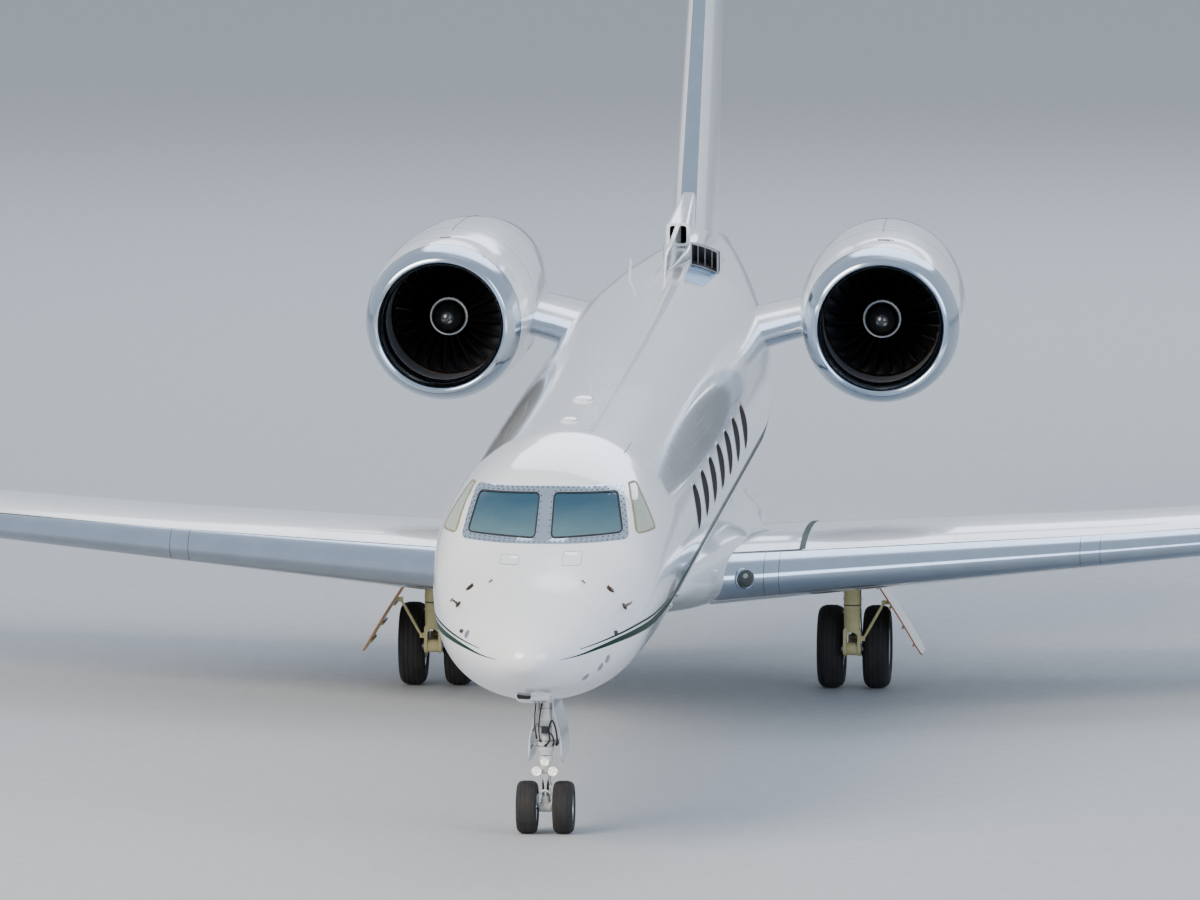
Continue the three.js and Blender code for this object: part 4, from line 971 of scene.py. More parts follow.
# DEEP_DARK is painted shade: a near-black put inside inlets, scoops, vents, the lamp bowl and the engine's core, where
# shade falls.
DEEP_DARK = Worn("sooted_duct_wall", "#24262A", 0.8)
HOT_METAL = BareMetal("heat_tinted_nickel_alloy", "#8B8177", 0.38, heat="#5E5664")
TRIM = Worn("vinyl_cockpit_trim", "#3A3F46", 0.7)
PANEL_GREY = Worn("painted_instrument_panel", "#2A2E34", 0.55)
DISPLAY = Worn("display_glass", "#0C1420", 0.08, contrast=0.1)
LINER = Worn("cabin_door_liner", "#C8C1B2", 0.6, grit=5 * MM)
TREAD_GRIP = Worn("anti_slip_tread", "#2C2D2F", 0.9, grit=5 * MM, depth=1 * MM)
SEAT_LEATHER = Leather("grained_seat_leather", "#57483B", 0.6)
SEAT_SHELL = Worn("painted_seat_shell", "#6A6D70", 0.45)
RED_GLASS = Glazing("red_lamp_glass", "#B3201C", 0.05, through=0.5)
GREEN_GLASS = Glazing("green_lamp_glass", "#1B8C4A", 0.05, through=0.5)


# Placing

@dataclass(frozen=True)
class Axis:
    """The cabin's axis, which slopes nose-down over the ground."""

    length: float = 29.39
    pitch: float = math.tan(math.radians(1.3))
    known_station: float = 4.4
    known_height: float = 2.545

    def height(self, station: Array | float) -> Array | float:
        """The axis' height above the ground: the known height plus the slope times the way from its station."""
        return self.known_height + self.pitch * (station - self.known_station)

    def seat(self, *shapes: Shape) -> Shape:
        """Shapes in airframe coordinates carried to the frame: back by half a length and up by the axis' height.

        Args:
            shapes: the shapes, in order.

        Returns:
            The shapes as one, in the frame.
        """
        shape = together(*shapes)
        x, station, up = shape.points.T
        return Shape(joined(x, station - self.length / 2, up + self.height(station)), shape.faces)

    def station(self, places: Array) -> Array:
        """The stations of places in the frame."""
        return places[:, 1] + self.length / 2

    def up(self, places: Array) -> Array:
        """The heights of places in the frame over the axis."""
        return places[:, 2] - self.height(self.station(places))

    def place(self, x: float, station: float, up: float) -> Vector:
        """One airframe point in the frame."""
        return Vector((x, station - self.length / 2, up + self.height(station)))


AXIS = Axis()


@dataclass
class Assembly:
    """A group of pieces that are made, dressed and put on their bodies together."""

    body: ClassVar[str] = "airframe"
    slot: ClassVar[str] = "white_paint"
    sharp: ClassVar[float] = math.radians(32)

    def put(self, name: str, shape: Shape, *finishes: Finish, **ways) -> Object:
        """A shape as a finished piece; the ways are those of dress."""
        return self.dress(to_object(name, shape), *finishes, **ways)

    def dress(
        self,
        made: Object,
        *finishes: Finish,
        body: str | None = None,
        replaces: Sequence[str] = (),
        slot: str | None = None,
    ) -> Object:
        """Finishes a piece: its materials, smooth shading, body and the nodes it stands for.

        Args:
            made: the piece.
            finishes: one finish for each material slot, in order.
            body: the body it rides on, or None for the assembly's own.
            replaces: the nodes it stands for.
            slot: the record's material slot, or None for the assembly's own; it is not used.

        Returns:
            The piece.
        """
        index = np.zeros(len(made.data.polygons), np.int32)
        if len(made.data.materials) or len(finishes) > 1:
            made.data.polygons.foreach_get("material_index", index)
        made.data.materials.clear()
        for finish in finishes:
            made.data.materials.append(finish.material())
        made.data.polygons.foreach_set("material_index", np.minimum(index, len(finishes) - 1))
        made.data.polygons.foreach_set("use_smooth", np.ones(len(index), bool))
        made.data.set_sharp_from_angle(angle=self.sharp)
        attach(made, body or self.body)
        if replaces:
            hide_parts(*replaces)
        slot or self.slot
        log.info("%s: %d faces", made.name, len(index))
        return made

    def mark(self, made: Object, where: Callable[[Array], Array], slot: int = 1) -> None:
        """Gives a material slot to the faces whose middles satisfy a test.

        Args:
            made: the object.
            where: the test, which takes places and gives truths.
            slot: the material slot's number.
        """
        index = np.zeros(len(made.data.polygons), np.int32)
        made.data.polygons.foreach_get("material_index", index)
        index[where(face_middles(made))] = slot
        while len(made.data.materials) <= slot:
            made.data.materials.append(None)
        made.data.polygons.foreach_set("material_index", index)


@dataclass
class Sided(Assembly):
    """A group of pieces that are made for the left side and carried to their own."""

    side: Side = Side.LEFT

    def placed(self, shape: Shape) -> Shape:
        """A shape in the group's own coordinates carried to the frame."""
        return shape

    def fit(self, name: str, shape: Shape, *finishes: Finish, **ways) -> Object:
        """A shape as a finished piece on its side; the ways are those of dress."""
        return self.put(f"{name}_{self.side.label}", self.placed(shape).carried(self.side), *finishes, **ways)


# Fuselage

@dataclass
class Fuselage(Assembly):
    """The nose, cabin and tail as one smooth tube cut at its production joints, with the cockpit and cabin windows.

    The section's columns are station, half width, crown height, keel height, height of the widest point, and fullness
    of the upper half, where 2 is an ellipse and more is squarer. A stripe's columns are station, middle height and
    width.
    """

    sections: Array = array_field([
        [0, 0.005, -0.512, -0.518, -0.515, 2],
        [0.006, 0.055, -0.478, -0.555, -0.516, 2],
        [0.02, 0.100, -0.443, -0.594, -0.517, 2],
        [0.06, 0.168, -0.390, -0.645, -0.518, 2],
        [0.12, 0.235, -0.335, -0.690, -0.520, 2],
        [0.4, 0.465, -0.190, -0.840, -0.510, 2],
        [0.95, 0.745, 0.020, -0.995, -0.470, 2.05],
        [1.5, 0.920, 0.205, -1.080, -0.400, 2.1],
        [2.05, 1.035, 0.410, -1.130, -0.300, 2.25],
        [2.45, 1.090, 0.665, -1.155, -0.200, 2.35],
        [2.85, 1.128, 0.930, -1.172, -0.120, 2.3],
        [3.3, 1.160, 1.065, -1.186, -0.060, 2.15],
        [3.9, 1.184, 1.150, -1.194, -0.020, 2.05],
        [4.6, 1.194, 1.194, -1.194, 0, 2],
        [17.4, 1.194, 1.194, -1.194, 0, 2],
        [18.8, 1.165, 1.194, -1.085, 0.040, 2],
        [20.4, 1.040, 1.185, -0.790, 0.160, 2],
        [22.2, 0.825, 1.140, -0.420, 0.330, 2],
        [24.2, 0.545, 1.050, 0.020, 0.520, 2],
        [25.8, 0.305, 0.930, 0.400, 0.660, 2],
        [26.7, 0.190, 0.850, 0.560, 0.705, 2],
    ])
    radius: float = 1.194
    points_round: int = 128
    skin: float = 0.08
    joint_gap: float = 0.003
    radome_joint: float = 0.95
    cabin_front: float = 5.65
    cabin_back: float = 17.4
    tail_end: float = 26.7
    floor: float = -0.5
    bulkhead: float = 1.45
    well: tuple = ((-0.29, 1.9, -1.5), (0.29, 3.45, -0.64))
    windshield: tuple = ((0.080, 0.432), (0.755, 0.458), (0.672, 0.802), (0.072, 0.806))
    windshield_stations: tuple = (1.7, 3.3)
    side_window: tuple = ((2.525, 0.43), (2.99, 0.435), (3.07, 0.54), (3.18, 0.64), (3.33, 0.735), (3.53, 0.825),
                          (3.28, 0.832),
                          (3.0, 0.747), (2.8, 0.645), (2.65, 0.534))
    frame: tuple = ((0.48, 0.384), (0.82, 0.395), (0.777, 0.62), (0.712, 0.855), (0.36, 0.866), (-0.36, 0.866),
                    (-0.712, 0.855), (-0.777, 0.62), (-0.82, 0.395), (-0.48, 0.384))
    pane: float = 0.035
    glass_back: float = 4.2
    window_first: float = 6.95
    window_pitch: float = 1.17
    window_count: int = 7
    window_height: float = 0.175
    window_half: tuple = (0.330, 0.241)
    window_depth: float = 0.03
    stripes: tuple = (
        ((0.2, -0.520, 0.004), (0.43, -0.500, 0.014), (0.72, -0.465, 0.03), (1.2, -0.430, 0.05), (1.98, -0.405, 0.07),
         (2.77, -0.392, 0.085), (3.68, -0.385, 0.09), (4.6, -0.372, 0.09), (17.4, -0.330, 0.09), (20.4, -0.05, 0.08),
         (24.2, 0.36, 0.045), (26.3, 0.66, 0.01)),
        ((0.45, -0.445, 0.006), (0.73, -0.417, 0.012), (1.13, -0.383, 0.018), (1.83, -0.342, 0.022),
         (3.19, -0.316, 0.026), (4.6, -0.298, 0.028), (17.4, -0.256, 0.028), (20.4, 0.01, 0.026), (24.2, 0.395, 0.016),
         (26.3, 0.68, 0.008)),
    )
    hatches: tuple = ((-0.389, -0.201, 0.224, 0.296), (0.221, 0.399, 0.218, 0.324))

    def values(self, station: Array) -> list[Array]:
        """Half width, crown, keel, waist and fullness at stations."""
        return [smooth(self.sections, column, station) for column in range(1, 6)]

    def rings(self, station: Array, grow: float = 0.0) -> Array:
        """The outline at each station: superellipses x = half |cos|^(2/n), up = waist + reach |sin|^(2/n), where n is
        the fullness above the widest point and 2 below it.

        Args:
            station: stations.
            grow: how far the skin is grown.

        Returns:
            The rings' points.
        """
        half, crown, keel, waist, fullness = (v[:, None] for v in self.values(station))
        turn = half_steps(self.points_round)
        c, s = np.cos(turn), np.sin(turn)
        power = np.where(s > 0, 2 / fullness, 1)
        reach = np.where(s > 0, crown - waist, waist - keel)
        x = signed(c, power) * (half + grow)
        up = waist + signed(s, power) * (reach + grow)
        return joined(x, station[:, None], up)

    def stations(self, start: float, end: float) -> Array:
        """Stations close together on the curved nose and tail and further apart along the cabin.

        Args:
            start: the first station.
            end: the last station.

        Returns:
            The stations.
        """
        step = np.concatenate([np.geomspace(0.004, 0.12, 14), np.full(44, 0.1), np.full(200, 0.16)])
        between = np.cumsum(step)
        keep = between[(between > start + 0.003) & (between < end - 0.003)]
        return np.concatenate([[start], keep, [end]])

    def solid(self, start: float, end: float, grow: float = 0.0) -> Shape:
        """The seated closed tube between two stations."""
        return AXIS.seat(loft(self.rings(self.stations(start, end), grow)))

    def upward(self, station: Array, up: Array, grow: float = 0.0) -> tuple[Array, Array, Array]:
        """Half width, share t of the way from the widest point to crown or keel, and power n, at a station and height.

        Args:
            station: stations.
            up: heights over the axis.
            grow: how far the section is grown.

        Returns:
            The three arrays.
        """
        half, crown, keel, waist, fullness = self.values(station)
        above = up > waist
        reach = np.where(above, crown - waist, waist - keel) + grow
        return half + grow, np.abs((up - waist) / reach), np.where(above, fullness, 2)

    def depth(self, x: Array, station: Array, up: Array) -> Array:
        """How far outside the skin a place lies, as a share: |x / half|^n + t^n - 1."""
        half, share, power = self.upward(station, up)
        return np.abs(x / half) ** power + share**power - 1

    def crown_at(self, x: Array, station: Array) -> Array:
        """The upper skin's height at x and a station: waist + reach (1 - |x / half|^n)^(1/n)."""
        half, crown, _, waist, power = self.values(station)
        return waist + (crown - waist) * np.clip(1 - np.abs(x / half) ** power, 0, 1) ** (1 / power)

    def normal(self, places: Array) -> Array:
        """The skin's outward direction: the slope of the depth along each axis, from points 2 mm apart.

        Args:
            places: places on the skin.

        Returns:
            One direction of length one for each place.
        """
        step = MM * np.eye(3)
        slope = [self.depth(*(places + e).T) - self.depth(*(places - e).T) for e in step]
        return np.stack(slope, -1) / np.linalg.norm(slope, axis=0)[:, None]

    def half_at(self, station: Array, up: Array, grow: float = 0.0) -> Array:
        """The skin's x at a station and height: half (1 - t^n)^(1/n)."""
        half, share, power = self.upward(station, up, grow)
        return half * np.clip(1 - share**power, 0, 1) ** (1 / power)

    def station_at(self, x: Array, up: Array, grow: float = 0.0, low: float = 0.02, high: float = 3.9) -> Array:
        """The station where the skin passes through x and a height, by halving the stretch where it lies.

        Args:
            x: distances from the middle plane.
            up: heights over the axis.
            grow: how far the skin is grown.
            low: the first station of the stretch.
            high: the last station of the stretch.

        Returns:
            The stations.
        """
        near, far = np.full(np.shape(x), low), np.full(np.shape(x), high)
        for _ in range(30):
            middle = (near + far) / 2
            outside = self.half_at(middle, up, grow) < np.abs(x)
            near, far = np.where(outside, middle, near), np.where(outside, far, middle)
        return far

    def from_ahead(self, outline: Array, grow: float = 0.0) -> Array:
        """Places on the nose where points given as x and height lie when seen from ahead."""
        x, up = np.asarray(outline, float).T
        return joined(x, self.station_at(x, up, grow), up)

    def from_side(self, outline: Array, side: Side, grow: float = 0.0) -> Array:
        """Places on one side's skin where points given as station and height lie."""
        station, up = np.asarray(outline, float).T
        return joined(side.value * self.half_at(station, up, grow), station, up)

    def fitted(self, one: Shape, places: Array) -> Shape:
        """Copies of a shape that stand on the skin at places on it, seated."""
        return AXIS.seat(scattered(one, places, self.normal(places)))

    def layer(self, name: str, cutter: Shape, low: float, high: float, start: float, end: float) -> Object:
        """The sheet between two growths of the skin, inside a seated cutter.

        Args:
            name: the piece's name.
            cutter: the seated shape that bounds it.
            low: growth of its inner face.
            high: growth of its outer face.
            start: the station where it may start.
            end: the station where it may end.

        Returns:
            The sheet.
        """
        made = to_object(name, self.solid(start, end, high))
        carve(made, self.solid(start + 0.02, end + 0.1, low))
        return carve(made, cutter, Carve.KEEP)

    def pane_outline(self, which: str, grow: float = 0.0) -> Array:
        """A cockpit window's rounded outline, grown."""
        return grown(rounded(self.windshield if which == "front" else self.side_window, 0.045), grow)

    def windshield_cutter(self, side: Side, grow: float = 0.0) -> Shape:
        """The rounded outline of a front pane, carried aft through the nose."""
        outline = self.pane_outline("front", grow)
        return AXIS.seat(prism(outline, 1, *self.windshield_stations)).carried(side)

    def side_window_cutter(self, side: Side, grow: float = 0.0) -> Shape:
        """The rounded outline of a side pane, carried outwards through the skin."""
        return AXIS.seat(prism(self.pane_outline("side", grow), 0, 0.64 - grow, 1.4)).carried(side)

    def build(self) -> None:
        """Makes and dresses every piece of the tube."""
        self.build_nose()
        self.build_panes()
        self.build_frame()
        self.build_cabin()
        self.build_tail()
        self.build_stripes()
        self.build_nose_details()
        self.build_crown_details()

    def build_nose(self) -> None:
        """The nose cone, and behind it the forward fuselage, hollow above its floor, with its windows, doorway and
        wheel well cut."""
        self.put("nose_cone", self.solid(0, self.radome_joint - self.joint_gap), WHITE, replaces=["radome"])
        made = to_object("forward_skin", self.solid(self.radome_joint, self.cabin_front))
        room = to_object("room", self.solid(self.bulkhead, self.cabin_front - self.skin, -self.skin))
        carve(room, AXIS.seat(block((-1.5, 0, -1.5), (1.5, 8, self.floor))))
        carve(made, taken(room))
        carve(made, AXIS.seat(block(*self.well)))
        carve(made, EntryDoor(self).opening())
        for side in Side:
            carve(made, self.windshield_cutter(side))
            carve(made, self.side_window_cutter(side))
        self.mark(made, self.is_inner)
        self.dress(made, WHITE, TRIM, replaces=["forward_fuselage"])

    def is_inner(self, middles: Array) -> Array:
        """Tests whether places lie more than a few millimetres inside the skin.

        Args:
            middles: the faces' middles in the frame.

        Returns:
            True for each such place.
        """
        station = AXIS.station(middles)
        up = AXIS.up(middles)
        deep = self.half_at(station, up, -0.01)
        return (np.abs(middles[:, 0]) < deep - 1e-4) & (station > self.radome_joint + 0.01)

    def build_panes(self) -> None:
        """The cockpit's glass, as thick as laminated panes, each inside its cut."""
        for side in Side:
            for name, cutter, finish in (
                ("windshield", self.windshield_cutter(side, -0.004), WINDSCREEN),
                ("side_window", self.side_window_cutter(side, -0.004), SIDE_GLASS),
            ):
                made = self.layer(f"{name}_pane_{side.label}", cutter, -self.pane, -0.002,
                                  self.bulkhead, self.glass_back)
                self.dress(made, finish, replaces=[f"{name}_{side.label}"], slot="window_glass")

    def build_frame(self) -> None:
        """The bare metal frame of the front panes with its screws, and the sealant round every pane."""
        outline = rounded(self.frame, 0.06)
        made = self.layer("windshield_frame", AXIS.seat(prism(outline, 1, *self.windshield_stations)),
                          -0.001, 0.0025, self.bulkhead, self.glass_back)
        for side in Side:
            carve(made, self.windshield_cutter(side, 0.007))
        self.dress(made, FRAME_METAL, slot="polished_metal")
        for side in Side:
            for name, cutter, finish in (
                ("windshield", self.windshield_cutter, GASKET), ("side_window", self.side_window_cutter, SEAL_GOLD),
            ):
                seal = self.layer(f"{name}_seal_{side.label}", cutter(side, 0.008), -0.006, 0.0032,
                                  self.bulkhead, self.glass_back)
                carve(seal, cutter(side, -0.006))
                self.dress(seal, finish, slot="tyre_rubber")
        line = self.spaced(self.pane_outline("front", 0.022), 0.05)
        lines = [self.spaced(grown(outline, -0.014), 0.05), line, line * (-1, 1)]
        screws = self.from_ahead(np.concatenate(lines), 0.0025)
        self.put("windshield_screws", self.fitted(dome(0.0085, 0.003, 8), screws), PANEL_GREY, slot="steel")

    @staticmethod
    def spaced(outline: Array, pitch: float) -> Array:
        """Points at an even pitch along a closed outline.

        Args:
            outline: the outline's points in order.
            pitch: the distance between points, nearly.

        Returns:
            The points.
        """
        closed = np.concatenate([outline, outline[:1]])
        run = np.concatenate([[0], np.cumsum(np.linalg.norm(np.diff(closed, axis=0), axis=1))])
        at = np.linspace(0, run[-1], max(3, round(run[-1] / pitch)), endpoint=False)
        return np.stack([np.interp(at, run, closed[:, k]) for k in range(2)], -1)

    def build_cabin(self) -> None:
        """The cabin's barrel with oval window recesses, a dark pane in each, and a bright lip round each pane."""
        made = to_object("cabin_skin", self.solid(self.cabin_front + self.joint_gap, self.cabin_back))
        turn = around(48)
        cutters, panes, lips = [], [], []
        for station in self.window_first + self.window_pitch * np.arange(self.window_count):
            oval = joined(station + self.window_half[0] * np.cos(turn),
                          self.window_height + self.window_half[1] * np.sin(turn))
            deep = self.radius - self.window_depth - 0.035
            for side in Side:
                cutters.append(prism(oval, 0, deep, 1.4).carried(side))
                panes.append(self.oval_layer(station, 1.0, 0.02, -0.002, -0.012).carried(side))
                lips.append(self.oval_ring(station, turn).carried(side))
        carve(made, AXIS.seat(*cutters))
        self.dress(made, WHITE, replaces=["cabin_fuselage"])
        self.put("cabin_window_panes", AXIS.seat(*panes), CABIN_GLASS, slot="window_glass")
        self.put("cabin_window_lips", AXIS.seat(*lips), FRAME_METAL, slot="polished_metal")

    def oval_layer(self, station: float, outer: float, inner: float, high: float, low: float) -> Shape:
        """A cabin pane: an oval disc that follows the barrel's curve between two growths of its skin.

        Args:
            station: the pane's middle station.
            outer: the rim's share of the window's size.
            inner: the innermost ring's share of it.
            high: growth of the outer face.
            low: growth of the inner face.

        Returns:
            The closed pane.
        """
        turn, share = np.meshgrid(around(48), np.linspace(outer, inner, 8))
        long = station + 0.995 * self.window_half[0] * share * np.cos(turn)
        up = self.window_height + 0.995 * self.window_half[1] * share * np.sin(turn)
        layers = [joined(self.half_at(long, up, grow), long, up) for grow in (high, low)]
        return loft(np.concatenate([layers[0][::-1], layers[1]]))

    def oval_ring(self, station: float, turn: Array) -> Shape:
        """The rounded lip that holds a cabin pane: a small circle carried round the oval's edge.

        Args:
            station: the pane's middle station.
            turn: angles round the oval.

        Returns:
            The closed lip.
        """
        c, s = np.cos(turn)[:, None], np.sin(turn)[:, None]
        roll = around(8)
        long = station + (self.window_half[0] + 0.011 * np.cos(roll)) * c
        up = self.window_height + (self.window_half[1] + 0.011 * np.cos(roll)) * s
        x = self.half_at(long, up, 0.0) + 0.0045 * np.sin(roll) - 0.001
        return grid(joined(x, long, up), wrap_rows=True, wrap_columns=True)

    def build_tail(self) -> None:
        """The tail cone with the auxiliary power unit's exhaust pipe in its end."""
        made = to_object("tail_skin", self.solid(self.cabin_back + self.joint_gap, self.tail_end))
        lift = Matrix.Translation((0, 0, self.sections[-1, 4]))
        pipe = lathe([(26.44, 0), (26.44, 0.105), (26.75, 0.115), (26.75, 0)], 48)
        carve(made, AXIS.seat(pipe.moved(lift)))
        self.dress(made, WHITE, replaces=["aft_fuselage"])
        liner = lathe([(26.46, 0.098), (26.69, 0.106), (26.715, 0.108), (26.715, 0.113), (26.69, 0.111),
                       (26.46, 0.103)], 48)
        cone = lathe([(26.45, 0), (26.45, 0.1), (26.5, 0.07), (26.58, 0.02), (26.6, 0)], 32)
        self.put("exhaust_liner", AXIS.seat(together(liner, cone).moved(lift)), HOT_METAL, slot="engine_casing")

    def ribbon(self, table: Sequence, start: float, end: float, side: Side) -> Shape:
        """A painted stripe as a closed band 0.9 mm proud of the skin: at each station its outer face runs up from low
        to high and its buried inner face runs back.

        Args:
            table: the stripe's rows.
            start: the first station that it may reach.
            end: the last station that it may reach.
            side: the side of the jet.

        Returns:
            The seated band on its side.
        """
        rows = np.array(table)
        station = self.stations(max(start, rows[0, 0]), min(end, rows[-1, 0]))
        middle, width = (smooth(rows, k, station)[:, None] for k in (1, 2))
        share = np.linspace(-0.5, 0.5, 7)
        up = middle + width * share
        long = station[:, None] + 0 * up
        faces = [joined(self.half_at(long, up, grow), long, up) for grow in (0.0009, -0.004)]
        return AXIS.seat(sheet_between(*faces)).carried(side)

    def build_stripes(self) -> None:
        """The two green stripes along each side, broken at the entry door, which carries its own stretch."""
        front, back = EntryDoor.span[0], EntryDoor.span[1]
        kept = [self.ribbon(table, 0, 30, Side.RIGHT) for table in self.stripes]
        for table in self.stripes:
            kept.append(self.ribbon(table, 0, front - 0.002, Side.LEFT))
            kept.append(self.ribbon(table, back + 0.002, 30, Side.LEFT))
        self.put("side_stripes", together(*kept), STRIPE_GREEN)
        door = [self.ribbon(table, front + 0.008, back - 0.008, Side.LEFT) for table in self.stripes]
        self.put("door_stripes", together(*door), STRIPE_GREEN, body="entry_door")

    def build_nose_details(self) -> None:
        """Hatches, air-data tubes, vanes, probes, ice detectors and static ports, all on the skin."""
        edges, lids = [], []
        for left, right, low, high in self.hatches:
            box = [(left, low), (right, low), (right, high), (left, high)]
            edges.append(AXIS.seat(prism(rounded(box, 0.02), 1, 1.2, 2.4)))
            lids.append(AXIS.seat(prism(grown(rounded(box, 0.02), -0.003), 1, 1.2, 2.4)))
        for name, cutters, high, finish in (("hatch_seams", edges, 0.0006, GASKET), ("hatch_lids", lids, 0.001, WHITE)):
            self.dress(self.layer(name, together(*cutters), -0.004, high, 1.0, 2.6), finish)
        mast = tube([(0, 0, -0.01), (0, 0, 0.05), (0, 0, 0.085)], [0.016, 0.011, 0.009], 12)
        head = lathe([(-0.16, 0), (-0.16, 0.0045), (-0.13, 0.0095), (0.03, 0.0105), (0.06, 0.002), (0.065, 0)], 16)
        plate = lathe([(0, 0), (0, 0.036), (0.005, 0.034), (0.006, 0)], 24).along_z()
        spots = self.from_ahead([(-0.76, -0.13), (0.839, -0.155)])
        parts = [AXIS.seat(scattered(together(mast, plate), spots, self.normal(spots)))]
        tips = spots + 0.085 * self.normal(spots)
        parts += [AXIS.seat(head.shifted(*tip)) for tip in tips]
        self.put("air_data_tubes", together(*parts), DARK_STEEL, slot="steel")
        disc = lathe([(0, 0), (0, 0.042), (0.004, 0.041), (0.005, 0)], 32).along_z()
        vane = block((-0.004, -0.05, 0), (0.004, 0.045, 0.012), 0.003).shifted(0, 0, 0.006)
        parts = [self.fitted(together(disc, vane), self.from_ahead([(-0.657, 0.021), (0.699, 0.007)])),
                 self.fitted(vane.moved(Matrix.Diagonal((1.4, 0.5, 1, 1))),
                             self.from_ahead([(-0.445, 0.087), (0.445, 0.087)]))]
        self.put("vanes_and_probes", together(*parts), DARK_STEEL, slot="steel")
        spots = np.concatenate([
            self.from_side([(1.076, -0.36)], Side.LEFT), self.from_side([(0.888, -0.335)], Side.RIGHT),
        ])
        across, long = squarish([0.028, 0.026, 0.016], [0.02, 0.018, 0.01], [-0.02, -0.018, -0.01], 0.5, 24)
        housing = loft(joined(across, long, np.array([[0], [0.012], [0.02]])))
        self.put("ice_detectors", self.fitted(housing, spots), PANEL_GREY, slot="steel")
        spots = self.from_ahead([(0.714, -0.597), (0.651, -0.667), (0.52, -0.746), (-0.631, -0.346)])
        self.put("static_ports", self.fitted(together(disc, dome(0.008, 0.003)), spots), STEEL, slot="steel")

    def blade(self, height: float, chord: float, sweep: float) -> Shape:
        """A blade aerial on the origin: lens-shaped rings that shrink and lean aft with height.

        Args:
            height: how far it stands out.
            chord: its length at the foot.
            sweep: how far its tip leans aft.

        Returns:
            The closed blade.
        """
        share = np.array([-0.05, 0, 0.4, 0.8, 0.97, 1.0])[:, None]
        turn = around(32)
        size = chord * (1 - 0.45 * np.clip(share, 0, 1) ** 1.5) * np.where(share == 1, 0.9, 1)
        along = size * 0.5 * np.cos(turn) + sweep * share
        across = size * 0.055 * np.sin(turn) * (1 - 0.35 * np.cos(turn)) * np.where(share == 1, 0.3, 1)
        return loft(joined(across, along, height * share))

    def build_crown_details(self) -> None:
        """Aerials above and below, sensor bumps, the crown's seam strips and the rivets over the cockpit's cap."""
        def crown(x: float, station: float) -> list[float]:
            """The place on the crown at x and a station."""
            return [x, station, float(self.crown_at(x, np.array(station)))]

        aerials = [
            AXIS.seat(self.blade(height, chord, sweep).shifted(*crown(x, station)))
            for x, station, height, chord, sweep in (
                (0, 8.47, 0.46, 0.10, 0.16), (-0.35, 18.85, 0.24, 0.26, 0.11),
            )
        ]
        hanging = self.blade(0.2, 0.26, 0.1).moved(UPSIDE_DOWN)
        aerials += [AXIS.seat(hanging.shifted(*place)) for place in ((0, 6.4, -1.19), (0.3, 8.9, -1.15))]
        self.put("blade_aerials", together(*[a.outward() for a in aerials]), TRIM_WHITE)
        bumps = []
        for station, length, width, height in ((5.46, 0.30, 0.09, 0.035), (7.29, 0.36, 0.11, 0.04)):
            profile = 0.5 * (1 - np.cos(np.linspace(0.04, 1, 12) * math.pi))
            rise = np.sin(np.linspace(0.06, 0.94, 12) * math.pi) ** 0.6
            turn = around(24)
            rings = joined(width * rise[:, None] * np.cos(turn), (length * (profile - 0.5))[:, None],
                height * rise[:, None] * np.sin(turn))
            bumps.append(AXIS.seat(loft(rings).shifted(*crown(0, station))))
        self.put("crown_bumps", together(*bumps), TRIM_WHITE)
        strips = []
        for rows in (((0.251, 4.66), (0.205, 8.27), (0.153, 13.2), (0.085, 18.8)),
                     ((-0.038, 9.9), (-0.062, 14.8), (-0.1, 20))):
            path = np.array([crown(float(np.interp(s, *np.array(rows)[:, ::-1].T)), s)
                             for s in np.linspace(rows[0][1], rows[-1][1], 40)])
            strips.append(AXIS.seat(tube(path, 0.005, 6)))
        self.put("crown_seam_strips", together(*strips), TRIM_WHITE)
        rivets = np.array([crown(x, 4.15 - 0.25 * (x / 0.9) ** 2) for x in np.linspace(-0.7, 0.7, 29)])
        self.put("cap_rivets", self.fitted(dome(0.005, 0.0016, 8), rivets), DARK_STEEL, slot="steel")


